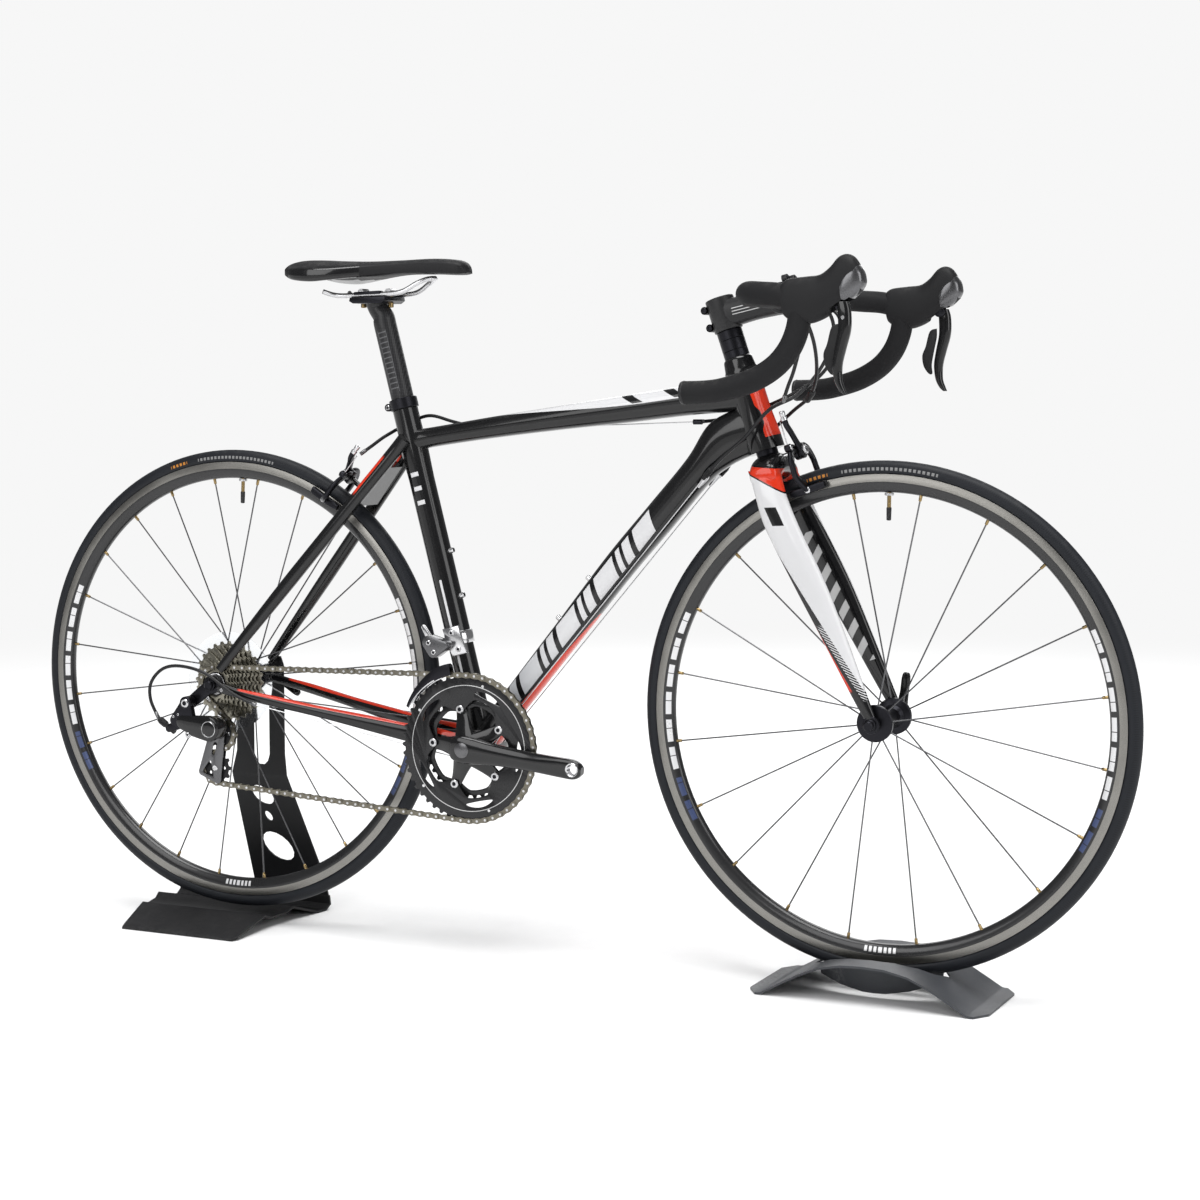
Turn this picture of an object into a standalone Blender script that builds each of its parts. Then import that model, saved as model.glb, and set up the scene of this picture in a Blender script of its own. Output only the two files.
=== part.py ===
"""Road racing bicycle held upright by a two-piece display stand.

Metres, +X forward, +Y to the rider's left, +Z up. The origin is on the floor, in the
middle plane, half way between the wheels. Outlines are given as seen from the side,
forward of the rear axle and above it, and side_point() turns them into world points.
"""

import math

import bmesh
import bpy
from mathutils import Matrix, Vector

# ---- driving dimensions ---------------------------------------------------------
WHEELBASE = 0.987
AXLE_HEIGHT = 0.358
GAP = 0.0003  # between two pieces that sit against each other

TYRE_RADIUS = 0.334
TYRE_HALF_WIDTH = 0.0118
RIM_RADIUS = 0.317
RIM_HALF_WIDTH = 0.0104
RIM_DEPTH = 0.024
RIM_WALL = 0.0016
RIM_CHANNEL = 0.005
WHEEL_SIDES = 40
TREAD_POINTS = 7
SPOKE_RADIUS = 0.001
SKEWER_RADIUS = 0.0025
VALVE_RADIUS = 0.003
VALVE_LENGTH = 0.036

FRONT_HUB_HALF = 0.050
FRONT_SPOKES = 20
REAR_HUB_HALF = 0.065
REAR_SPOKES = 24
FREEHUB_RADIUS = 0.0165
COG_TEETH = (12, 13, 14, 15, 17, 19, 21, 23, 25, 28)
COG_PITCH = 0.00395
COG_THICKNESS = 0.0016
FIRST_COG_Y = -0.0592
GUARD_RADIUS = 0.072

HEAD_ANGLE = math.radians(71.0)
FORK_RAKE = 0.044
FORK_LENGTH = 0.378
STEERER_RADIUS = 0.0143
HEAD_TUBE_LENGTH = 0.102
HEAD_TUBE_LOW_RADIUS = 0.0245
HEAD_TUBE_TOP_RADIUS = 0.0225
SPACER_RADIUS = 0.0168
COVER_HEIGHT = 0.026
SPACER_HEIGHT = 0.0375
STEM_CLAMP_HEIGHT = 0.044
STEM_LENGTH = 0.090
STEM_RISE = math.radians(13.0)
BAR_CLAMP_RADIUS = 0.0159
BAR_HALF_WIDTH = 0.197
TAPE_RADIUS = 0.0145

CHAINSTAY = 0.410
BB_DROP = 0.069
BB_SHELL_RADIUS = 0.023
BB_HALF_WIDTH = 0.034
BB_CUP_RADIUS = 0.0205
BB_CUP_END = 0.0392
CRANK_AXLE_RADIUS = 0.012
CRANK_LENGTH = 0.170
CRANK_ANGLE = math.radians(-5.0)
PEDAL_HOLE_RADIUS = 0.0071
BIG_RING_TEETH = 50
SMALL_RING_TEETH = 34
BOLT_CIRCLE = 0.055
BIG_RING_Y = -0.0473
SMALL_RING_Y = -0.0405
RING_THICKNESS = 0.0024
CHAIN_PITCH = 0.0127
CHAIN_HALF_WIDTH = 0.0029
CHAIN_HALF_HEIGHT = 0.0042
JOCKEY_TEETH = 11
CHAIN_CLEAR_RUN = 0.040  # straight along the smallest cog before it heads for the ring

SEAT_ANGLE = math.radians(75.2)
SEAT_TUBE_RADIUS = 0.01775
SEAT_TUBE_LENGTH = 0.479
SEATPOST_RADIUS = 0.0158
SEATPOST_END = 0.604
SEATPOST_DEPTH = 0.115
SEAT_CLAMP_HEIGHT = 0.015
SEAT_BORE_DEPTH = 0.185

STAND_SHEET = 0.003
UPRIGHT_Y = 0.0737
BEND_HEIGHT = 0.207

# ---- places worked out from them ----------------------------------------------------
REAR_X = -WHEELBASE / 2
FRONT_AXLE = Vector((WHEELBASE / 2, 0, AXLE_HEIGHT))
REAR_AXLE = Vector((REAR_X, 0, AXLE_HEIGHT))
BB_FORWARD = math.sqrt(CHAINSTAY**2 - BB_DROP**2)
RIGHT, LEFT = -1, 1
Y_AXIS = Vector((0, 1, 0))


def side_point(forward, up, y=0.0):
    """A world point from its place forward of the rear axle and above it."""
    return Vector((REAR_X + forward, y, AXLE_HEIGHT + up))


BOTTOM_BRACKET = side_point(BB_FORWARD, -BB_DROP)
STEER_UP = Vector((-math.cos(HEAD_ANGLE), 0, math.sin(HEAD_ANGLE)))
STEER_AHEAD = Vector((math.sin(HEAD_ANGLE), 0, math.cos(HEAD_ANGLE)))
CROWN_SEAT = FRONT_AXLE - STEER_AHEAD * FORK_RAKE + STEER_UP * FORK_LENGTH
SEAT_UP = Vector((-math.cos(SEAT_ANGLE), 0, math.sin(SEAT_ANGLE)))
SEAT_AHEAD = Vector((math.sin(SEAT_ANGLE), 0, math.cos(SEAT_ANGLE)))
STACK_TOP = HEAD_TUBE_LENGTH + GAP + COVER_HEIGHT + SPACER_HEIGHT
STEM_MIDDLE = STACK_TOP + GAP + STEM_CLAMP_HEIGHT / 2
STEM_AHEAD = Vector((math.cos(STEM_RISE), 0, math.sin(STEM_RISE)))
BAR_CENTRE = CROWN_SEAT + STEER_UP * STEM_MIDDLE + STEM_AHEAD * STEM_LENGTH
STAY_FOOT = Vector((0.002, 0.010))
STAY_HEAD = Vector((0.284, 0.344))


def steer_point(along, ahead=0.0, y=0.0):
    """A world point by its distance up the steering axis from the crown seat."""
    return CROWN_SEAT + STEER_UP * along + STEER_AHEAD * ahead + Y_AXIS * y


def seat_point(along, ahead=0.0, y=0.0):
    """A world point by its distance up the seat tube from the bottom bracket."""
    return BOTTOM_BRACKET + SEAT_UP * along + SEAT_AHEAD * ahead + Y_AXIS * y


def pitch_radius(teeth):
    """The radius that a chain's pins follow round a sprocket."""
    return CHAIN_PITCH / (2 * math.sin(math.pi / teeth))


# ---- scene and materials ----------------------------------------------------------
def clear_scene():
    for obj in list(bpy.data.objects):
        bpy.data.objects.remove(obj, do_unlink=True)


def make_material(name, colour, roughness, metallic=0.0):
    material = bpy.data.materials.new(name)
    material.use_nodes = True
    shader = material.node_tree.nodes["Principled BSDF"]
    shader.inputs["Base Color"].default_value = (*colour, 1)
    shader.inputs["Roughness"].default_value = roughness
    shader.inputs["Metallic"].default_value = metallic
    material.diffuse_color = (*colour, 1)
    return material


def make_materials():
    return {
        "carbon": make_material("carbon", (0.012, 0.012, 0.013), 0.18),
        "black_metal": make_material("black_metal", (0.02, 0.02, 0.022), 0.3, 0.8),
        "alloy": make_material("alloy", (0.62, 0.62, 0.63), 0.28, 1.0),
        "dark_steel": make_material("dark_steel", (0.19, 0.17, 0.15), 0.35, 1.0),
        "tyre": make_material("tyre", (0.014, 0.015, 0.018), 0.62),
        "rim": make_material("rim", (0.03, 0.03, 0.032), 0.4, 0.5),
        "tape": make_material("tape", (0.018, 0.018, 0.019), 0.7),
        "hood": make_material("hood", (0.02, 0.02, 0.021), 0.6),
        "saddle": make_material("saddle", (0.02, 0.02, 0.021), 0.55),
        "plastic": make_material("plastic", (0.02, 0.02, 0.021), 0.4),
        "clear": make_material("clear", (0.55, 0.58, 0.62), 0.15),
        "sheet": make_material("sheet", (0.07, 0.072, 0.078), 0.45, 0.3),
        "fork": make_material("fork", (0.75, 0.75, 0.76), 0.2),
    }


# ---- modelling helpers ------------------------------------------------------------
def add_object(name, mesh_data, material):
    """Names, shades and links a finished mesh."""
    mesh = bpy.data.meshes.new(name)
    mesh_data.to_mesh(mesh)
    mesh_data.free()
    obj = bpy.data.objects.new(name, mesh)
    bpy.context.scene.collection.objects.link(obj)
    mesh.materials.append(material)
    return obj


def skin(name, rings, material, closed=False):
    """A closed solid through rings of points; the last ring joins the first if closed."""
    mesh_data = bmesh.new()
    rows = [[mesh_data.verts.new(point) for point in ring] for ring in rings]
    count = len(rings[0])
    pairs = list(zip(rows, rows[1:]))
    if closed:
        pairs.append((rows[-1], rows[0]))
    for first, second in pairs:
        for i in range(count):
            j = (i + 1) % count
            mesh_data.faces.new((first[i], first[j], second[j], second[i]))
    if not closed:
        mesh_data.faces.new(rows[0])
        mesh_data.faces.new(rows[-1])
    bmesh.ops.remove_doubles(mesh_data, verts=mesh_data.verts, dist=1e-6)
    bmesh.ops.recalc_face_normals(mesh_data, faces=mesh_data.faces)
    return add_object(name, mesh_data, material)


def round_the(axis):
    """Two unit vectors that span the plane across an axis."""
    across = axis.cross(Vector((0, 0, 1)))
    if across.length < 0.5:
        across = axis.cross(Vector((1, 0, 0)))
    across.normalize()
    return across, across.cross(axis).normalized()


def revolve(name, profile, origin, axis, sides, material, start=0.0):
    """A solid of revolution; the profile is a closed outline of (radius, along) pairs."""
    across, over = round_the(axis)
    rings = []
    for i in range(sides):
        turn = start + 2 * math.pi * i / sides
        out = across * math.cos(turn) + over * math.sin(turn)
        rings.append([origin + out * radius + axis * along for radius, along in profile])
    return skin(name, rings, material, closed=True)


def tube(name, inner, outer, start, end, origin, axis, sides, material):
    """A plain ring from start to end along an axis; inner 0 makes it a solid rod."""
    profile = [(inner, start), (outer, start), (outer, end), (inner, end)]
    if inner > 0:
        return revolve(name, profile, origin, axis, sides, material)
    across, over = round_the(axis)
    rings = []
    for along in (start, end):
        turns = [2 * math.pi * i / sides for i in range(sides)]
        rings.append(
            [origin + axis * along + (across * math.cos(t) + over * math.sin(t)) * outer for t in turns]
        )
    return skin(name, rings, material)


def super_ring(centre, first, second, sides, power):
    """A superellipse with the half-axes first and second; power 2 is an ellipse."""
    ring = []
    for i in range(sides):
        turn = 2 * math.pi * (i + 0.5) / sides
        cos, sin = math.cos(turn), math.sin(turn)
        a = math.copysign(abs(cos) ** (2 / power), cos)
        b = math.copysign(abs(sin) ** (2 / power), sin)
        ring.append(centre + first * a + second * b)
    return ring


def blade(name, stations, material, sides=12, power=2.0):
    """A limb seen from the side: each station is (upper edge, lower edge, y, half width)."""
    rings = []
    for upper, lower, y, half_width in stations:
        top, bottom = side_point(*upper, y), side_point(*lower, y)
        half = (top - bottom) / 2
        rings.append(super_ring((top + bottom) / 2, half, Y_AXIS * half_width, sides, power))
    return skin(name, rings, material)


def sweep(name, points, radii, material, sides=8):
    """A round rod along points, with one radius for all of them or one for each."""
    if not isinstance(radii, (list, tuple)):
        radii = [radii] * len(points)
    tangents = []
    for i, point in enumerate(points):
        before, after = points[max(i - 1, 0)], points[min(i + 1, len(points) - 1)]
        tangents.append((after - before).normalized())
    across, _ = round_the(tangents[0])
    rings = []
    for point, tangent, radius in zip(points, tangents, radii):
        across = (across - tangent * across.dot(tangent)).normalized()
        over = tangent.cross(across)
        rings.append(super_ring(point, across * radius, over * radius, sides, 2.0))
    return skin(name, rings, material)


def smooth_route(points, spacing):
    """A Catmull-Rom curve through the points, read about every spacing metres."""
    padded = [points[0] * 2 - points[1], *points, points[-1] * 2 - points[-2]]
    route = [points[0]]
    for a, b, c, d in zip(padded, padded[1:], padded[2:], padded[3:]):
        steps = max(1, round((c - b).length / spacing))
        for step in range(1, steps + 1):
            t = step / steps
            route.append(
                (b * 2 + (c - a) * t + (a * 2 - b * 5 + c * 4 - d) * t**2 + (b * 3 - a - c * 3 + d) * t**3) / 2
            )
    return route


def cable(name, points, radius, spacing, material):
    """A cable as a curve with a round bevel and filled caps."""
    data = bpy.data.curves.new(name, "CURVE")
    data.dimensions = "3D"
    data.bevel_depth = radius
    data.bevel_resolution = 2
    data.use_fill_caps = True
    route = smooth_route(points, spacing)
    spline = data.splines.new("POLY")
    spline.points.add(len(route) - 1)
    for spot, point in zip(spline.points, route):
        spot.co = (*point, 1)
    obj = bpy.data.objects.new(name, data)
    bpy.context.scene.collection.objects.link(obj)
    data.materials.append(material)
    return obj


def prism(name, outline, low, high, material, axis="y"):
    """A flat outline given thickness: along Y from (x, z) points, X from (y, z), Z from (x, y)."""
    place = {
        "y": lambda a, b, depth: Vector((a, depth, b)),
        "x": lambda a, b, depth: Vector((depth, a, b)),
        "z": lambda a, b, depth: Vector((a, b, depth)),
    }[axis]
    rings = [[place(a, b, depth) for a, b in outline] for depth in (low, high)]
    return skin(name, rings, material)


def box(name, low, high, material):
    outline = [(low[0], low[2]), (high[0], low[2]), (high[0], high[2]), (low[0], high[2])]
    return prism(name, outline, low[1], high[1], material)


def ellipse(centre, half_length, half_height, tilt, sides=20):
    """A tilted ellipse as (x, z) points."""
    outline = []
    for i in range(sides):
        turn = 2 * math.pi * i / sides
        a, b = half_length * math.cos(turn), half_height * math.sin(turn)
        x = centre[0] + a * math.cos(tilt) - b * math.sin(tilt)
        z = centre[1] + a * math.sin(tilt) + b * math.cos(tilt)
        outline.append((x, z))
    return outline


def shape_with(target, tool, operation):
    """Applies one Boolean to target for good, and removes the tool."""
    modifier = target.modifiers.new("shape", "BOOLEAN")
    modifier.operation = operation
    modifier.solver = "EXACT"
    modifier.object = tool
    bpy.context.view_layer.update()
    graph = bpy.context.evaluated_depsgraph_get()
    made = bpy.data.meshes.new_from_object(target.evaluated_get(graph))
    target.modifiers.clear()
    target.data = made
    bpy.data.objects.remove(tool, do_unlink=True)
    return target


def cut(target, tool):
    return shape_with(target, tool, "DIFFERENCE")


def unite(target, *tools):
    for tool in tools:
        shape_with(target, tool, "UNION")
    return target


def overlap_of(target, tool):
    return shape_with(target, tool, "INTERSECT")


def side_name(side):
    return "right" if side == RIGHT else "left"


# ---- frame --------------------------------------------------------------------------
def head_clearance(material):
    return tube(
        "head_clearance", 0, HEAD_TUBE_LOW_RADIUS + GAP, -0.05, HEAD_TUBE_LENGTH + 0.05,
        CROWN_SEAT, STEER_UP, 24, material,
    )


def seat_clearance(material):
    return tube(
        "seat_clearance", 0, SEAT_TUBE_RADIUS + GAP, 0, SEAT_TUBE_LENGTH + 0.05,
        BOTTOM_BRACKET, SEAT_UP, 20, material,
    )


def shell_clearance(material):
    return tube(
        "shell_clearance", 0, BB_SHELL_RADIUS + GAP, -0.06, 0.06,
        BOTTOM_BRACKET, Y_AXIS, 24, material,
    )


def make_main_tubes(materials):
    carbon = materials["carbon"]
    bore = STEERER_RADIUS + GAP
    revolve(
        "head_tube",
        [
            (bore, GAP), (HEAD_TUBE_LOW_RADIUS, GAP), (HEAD_TUBE_LOW_RADIUS, 0.02),
            (HEAD_TUBE_TOP_RADIUS, 0.05), (HEAD_TUBE_TOP_RADIUS, HEAD_TUBE_LENGTH),
            (bore, HEAD_TUBE_LENGTH),
        ],
        CROWN_SEAT, STEER_UP, 24, carbon,
    )
    top = blade(
        "top_tube",
        [
            ((0.290, 0.365), (0.290, 0.338), 0, 0.0150),
            ((0.330, 0.3715), (0.330, 0.344), 0, 0.0155),
            ((0.526, 0.401), (0.530, 0.3685), 0, 0.0175),
            ((0.700, 0.427), (0.705, 0.388), 0, 0.0200),
            ((0.795, 0.4385), (0.800, 0.3990), 0, 0.0195),
        ],
        carbon, 14, 2.4,
    )
    cut(cut(top, head_clearance(carbon)), seat_clearance(carbon))
    down = blade(
        "down_tube",
        [
            ((0.400, -0.040), (0.428, -0.066), 0, 0.0200),
            ((0.444, 0.013), (0.471, -0.015), 0, 0.0200),
            ((0.595, 0.200), (0.627, 0.172), 0, 0.0210),
            ((0.711, 0.332), (0.741, 0.300), 0, 0.0210),
            ((0.750, 0.387), (0.778, 0.3275), 0, 0.0200),
            ((0.815, 0.398), (0.820, 0.3460), 0, 0.0195),
        ],
        carbon, 14, 2.4,
    )
    cut(cut(cut(down, head_clearance(carbon)), shell_clearance(carbon)), seat_clearance(carbon))
    bore = SEATPOST_RADIUS + GAP
    bottom = SEAT_TUBE_LENGTH - SEAT_BORE_DEPTH
    seat = revolve(
        "seat_tube",
        [
            (0, 0.01), (SEAT_TUBE_RADIUS, 0.01), (SEAT_TUBE_RADIUS, SEAT_TUBE_LENGTH),
            (bore, SEAT_TUBE_LENGTH), (bore, bottom), (0, bottom),
        ],
        BOTTOM_BRACKET, SEAT_UP, 20, carbon,
    )
    cut(seat, shell_clearance(carbon))
    shell_bore = CRANK_AXLE_RADIUS + GAP
    revolve(
        "bottom_bracket_shell",
        [
            (shell_bore, -BB_CUP_END), (BB_CUP_RADIUS, -BB_CUP_END), (BB_CUP_RADIUS, -BB_HALF_WIDTH),
            (BB_SHELL_RADIUS, -BB_HALF_WIDTH), (BB_SHELL_RADIUS, BB_HALF_WIDTH),
            (BB_CUP_RADIUS, BB_HALF_WIDTH), (BB_CUP_RADIUS, BB_CUP_END), (shell_bore, BB_CUP_END),
        ],
        BOTTOM_BRACKET, Y_AXIS, 20, carbon,
    )


DROPOUT_IN = REAR_HUB_HALF + 0.0005
DROPOUT_OUT = DROPOUT_IN + 0.006
DROPOUT_RADIUS = 0.0135
HANGER = Vector((-0.035, -0.027))
CHAINSTAY_STATIONS = (
    ((0.400, -0.046), (0.400, -0.088), 0.0250, 0.0080),
    ((0.350, -0.047), (0.350, -0.078), 0.0275, 0.0075),
    ((0.292, -0.042), (0.292, -0.067), 0.0315, 0.0075),
    ((0.255, -0.036), (0.255, -0.059), 0.0365, 0.0085),
    ((0.166, -0.0235), (0.166, -0.0395), 0.0500, 0.0085),
    ((0.090, -0.0105), (0.090, -0.0255), 0.0625, 0.0062),
    ((0.040, -0.003), (0.040, -0.0165), 0.0683, 0.0030),
    ((0.004, 0.006), (0.004, -0.010), 0.0685, 0.0028),
)


def make_chainstay(side, materials):
    carbon = materials["carbon"]
    stations = [(up, low, y * side, half) for up, low, y, half in CHAINSTAY_STATIONS]
    stay = blade(f"{side_name(side)}_chainstay", stations, carbon, 10)
    cut(stay, shell_clearance(carbon))
    low, high = sorted((DROPOUT_IN * side, DROPOUT_OUT * side))
    plate = tube("plate", 0, DROPOUT_RADIUS, low, high, REAR_AXLE, Y_AXIS, 16, carbon)
    unite(stay, plate)
    if side == RIGHT:
        spot = side_point(*HANGER)
        hanger = ellipse((spot.x, spot.z), 0.009, 0.009, 0, 12)
        unite(stay, prism("eye", hanger, low + 0.0003, high - 0.0003, carbon))
        neck = [(-0.010, 0.004), (-0.036, -0.019), (-0.029, -0.034), (0.004, -0.012)]
        outline = [(REAR_X + x, AXLE_HEIGHT + z) for x, z in neck]
        unite(stay, prism("neck", outline, low + 0.0006, high - 0.0006, carbon))
    return cut(stay, tube("bore", 0, SKEWER_RADIUS + GAP, -0.1, 0.1, REAR_AXLE, Y_AXIS, 10, carbon))


def stay_width(share):
    """(distance from the middle plane, half width, half depth) at a share of a seatstay."""
    y = 0.0684 + (0.0215 - 0.0684) * share**1.15
    half_width = 0.0030 + 0.0045 * min(1, share * 3)
    half_depth = 0.0060 + 0.0035 * min(1, share * 3)
    return y, half_width, half_depth


def stay_station(share, y, half_width, half_depth):
    along = (STAY_HEAD - STAY_FOOT).normalized()
    out = Vector((-along.y, along.x))
    middle = STAY_FOOT.lerp(STAY_HEAD, share)
    return (tuple(middle + out * half_depth), tuple(middle - out * half_depth), y, half_width)


def make_seatstay(side, materials):
    carbon = materials["carbon"]
    stations = []
    for share in (0.0, 0.08, 0.2, 0.4, 0.6, 0.8, 0.97):
        y, half_width, half_depth = stay_width(share)
        stations.append(stay_station(share, y * side, half_width, half_depth))
    stay = blade(f"{side_name(side)}_seatstay", stations, carbon, 10)
    cut(stay, seat_clearance(carbon))
    ring = tube(
        "ring", 0, DROPOUT_RADIUS + GAP, -0.1, 0.1, REAR_AXLE, Y_AXIS, 16, carbon,
    )
    cut(stay, ring)
    low, high = sorted((0.05 * side, 0.08 * side))
    notch = [(0.0, -0.05), (0.060, -0.05), (0.060, 0.002), (0.020, 0.0065), (0.0, 0.0085)]
    outline = [(REAR_X + x, AXLE_HEIGHT + z) for x, z in notch]
    return cut(stay, prism("notch", outline, low, high, carbon))


def stay_frame():
    """The rear brake's place and directions: on the stays, out behind them and up them."""
    along = (STAY_HEAD - STAY_FOOT).normalized()
    middle = STAY_FOOT + along * 0.343
    up = Vector((along.x, 0, along.y))
    return side_point(*middle), Vector((-along.y, 0, along.x)), up


BRAKE_BOLT_REACH = 0.0362
BRAKE_BOLT_RADIUS = 0.004


def make_brake_bridge(materials):
    """The web between the seatstays, with the rear brake's bolt."""
    carbon = materials["carbon"]
    length = (STAY_HEAD - STAY_FOOT).length
    rings = []
    for along in (0.331, 0.345, 0.365, 0.385, 0.402):
        y, half_width, _ = stay_width(along / length)
        half_depth = 0.0065
        upper, lower, _, _ = stay_station(along / length, 0, 0, half_depth)
        reach = y - half_width - 0.0006
        top, bottom = side_point(*upper), side_point(*lower)
        rings.append([
            top - Y_AXIS * reach, top + Y_AXIS * reach, bottom + Y_AXIS * reach, bottom - Y_AXIS * reach,
        ])
    bridge = skin("brake_bridge", rings, carbon)
    cut(bridge, seat_clearance(carbon))
    origin, ahead, _ = stay_frame()
    bolt = tube("bolt", 0, BRAKE_BOLT_RADIUS, 0, BRAKE_BOLT_REACH, origin, ahead, 10, carbon)
    return unite(bridge, bolt)


# ---- seat ---------------------------------------------------------------------------
RAIL_RADIUS = 0.0035
RAIL_ROUTE = (
    (0.172, 0.036, 0.5575), (0.190, 0.0235, 0.5520), (0.235, 0.0220, 0.5530),
    (0.285, 0.0220, 0.5550), (0.312, 0.0165, 0.5680), (0.324, 0.0090, 0.5735), (0.330, 0.0, 0.5745),
)


def rail_route():
    right = [side_point(x, z, -y) for x, y, z in RAIL_ROUTE]
    left = [side_point(x, z, y) for x, y, z in RAIL_ROUTE[:-1]]
    return right + left[::-1]


def make_seat(materials):
    clamp_low = SEAT_TUBE_LENGTH + GAP
    bore = SEATPOST_RADIUS + GAP
    clamp = tube(
        "seat_clamp", bore, SEAT_TUBE_RADIUS + 0.002, clamp_low, clamp_low + SEAT_CLAMP_HEIGHT,
        BOTTOM_BRACKET, SEAT_UP, 20, materials["black_metal"],
    )
    ear_low = seat_point(clamp_low + 0.0035, -SEAT_TUBE_RADIUS - 0.0035)
    ear = tube("ear", 0, 0.0052, -0.010, 0.010, ear_low + SEAT_UP * 0.004, Y_AXIS, 10, materials["alloy"])
    unite(clamp, ear)
    cut(clamp, tube(
        "bore", 0, bore, 0.2, 0.7, BOTTOM_BRACKET, SEAT_UP, 20, materials["alloy"],
    ))
    post = tube(
        "seatpost", 0, SEATPOST_RADIUS, SEAT_TUBE_LENGTH - SEATPOST_DEPTH, SEATPOST_END,
        BOTTOM_BRACKET, SEAT_UP, 20, materials["carbon"],
    )
    head = sweep(
        "head",
        [seat_point(SEATPOST_END - 0.004), seat_point(SEATPOST_END + 0.010), side_point(0.2405, 0.5330),
         side_point(0.2375, 0.5440)],
        [0.0145, 0.0145, 0.0135, 0.0150], materials["carbon"], 12,
    )
    cradle = box(
        "cradle", side_point(0.2090, 0.5405, -0.029), side_point(0.2670, 0.5530, 0.029), materials["carbon"],
    )
    unite(post, head, cradle)
    cut(post, sweep("rails", rail_route(), RAIL_RADIUS + GAP, materials["alloy"], 8))
    sweep("saddle_rails", rail_route(), RAIL_RADIUS, materials["alloy"], 8)
    stations = (
        (0.1145, 0.5960, 0.5840, 0.040), (0.1220, 0.6005, 0.5750, 0.054), (0.1400, 0.6020, 0.5650, 0.065),
        (0.1700, 0.6020, 0.5620, 0.068), (0.2000, 0.6010, 0.5665, 0.060), (0.2400, 0.6000, 0.5740, 0.040),
        (0.2800, 0.6005, 0.5795, 0.028), (0.3300, 0.6020, 0.5790, 0.021), (0.3650, 0.5990, 0.5775, 0.0185),
        (0.3840, 0.5900, 0.5810, 0.011),
    )
    blade("saddle", [((x, top), (x, low), 0, half) for x, top, low, half in stations], materials["saddle"], 14, 2.6)


# ---- wheels -------------------------------------------------------------------------
def make_wheel(prefix, axle, valve_turn, materials):
    """Tyre and rim; both are rings round the axle with the same facets."""
    seat = RIM_RADIUS - RIM_CHANNEL
    bead = RIM_HALF_WIDTH - RIM_WALL - GAP
    tread_middle = TYRE_RADIUS - TYRE_HALF_WIDTH
    tyre = [(seat + GAP, -bead), (RIM_RADIUS + GAP, -bead)]
    for i in range(TREAD_POINTS):
        turn = math.radians(-20 + 220 * i / (TREAD_POINTS - 1))
        tyre.append((tread_middle + TYRE_HALF_WIDTH * math.sin(turn), -TYRE_HALF_WIDTH * math.cos(turn)))
    tyre += [(RIM_RADIUS + GAP, bead), (seat + GAP, bead)]
    facet = math.pi / WHEEL_SIDES
    revolve(f"{prefix}_tyre", tyre, axle, Y_AXIS, WHEEL_SIDES, materials["tyre"])
    wall = RIM_HALF_WIDTH - RIM_WALL
    inner = RIM_RADIUS - RIM_DEPTH
    rim_profile = [
        (RIM_RADIUS, -RIM_HALF_WIDTH), (RIM_RADIUS, -wall), (seat, -wall), (seat, wall),
        (RIM_RADIUS, wall), (RIM_RADIUS, RIM_HALF_WIDTH), (RIM_RADIUS - 0.0102, RIM_HALF_WIDTH),
        (inner, 0), (RIM_RADIUS - 0.0102, -RIM_HALF_WIDTH),
    ]
    rim = revolve(f"{prefix}_rim", rim_profile, axle, Y_AXIS, WHEEL_SIDES, materials["rim"])
    out = Vector((math.sin(valve_turn), 0, math.cos(valve_turn)))
    valve = tube("valve", 0, VALVE_RADIUS, inner + 0.006 - VALVE_LENGTH - 0.006, inner + 0.006, axle, out, 8,
                 materials["alloy"])
    unite(rim, valve)
    return inner * math.cos(facet) - GAP


def spoke(start_radius, start_y, start_turn, end_radius, end_y, end_turn, axle, material):
    def place(radius, y, turn):
        return axle + Vector((math.sin(turn) * radius, y, math.cos(turn) * radius))

    ends = [place(start_radius, start_y, start_turn), place(end_radius, end_y, end_turn)]
    return sweep("spoke", ends, SPOKE_RADIUS, material, 3)


def make_front_hub(reach, materials):
    half = FRONT_HUB_HALF - GAP
    bore = SKEWER_RADIUS + GAP
    flange, barrel, end = 0.024, 0.011, 0.007
    side = [(bore, half), (end, half), (end, 0.0415), (flange, 0.0405), (flange, 0.0355), (barrel, 0.0300)]
    profile = side + [(radius, -along) for radius, along in reversed(side)]
    hub = revolve("front_hub", profile, FRONT_AXLE, Y_AXIS, 20, materials["black_metal"])
    for i in range(FRONT_SPOKES):
        side_y = 0.038 if i % 2 else -0.038
        turn = 2 * math.pi * (i + 0.5) / FRONT_SPOKES
        unite(hub, spoke(0.0205, side_y, turn, reach, side_y * 0.05, turn, FRONT_AXLE, materials["black_metal"]))


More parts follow.
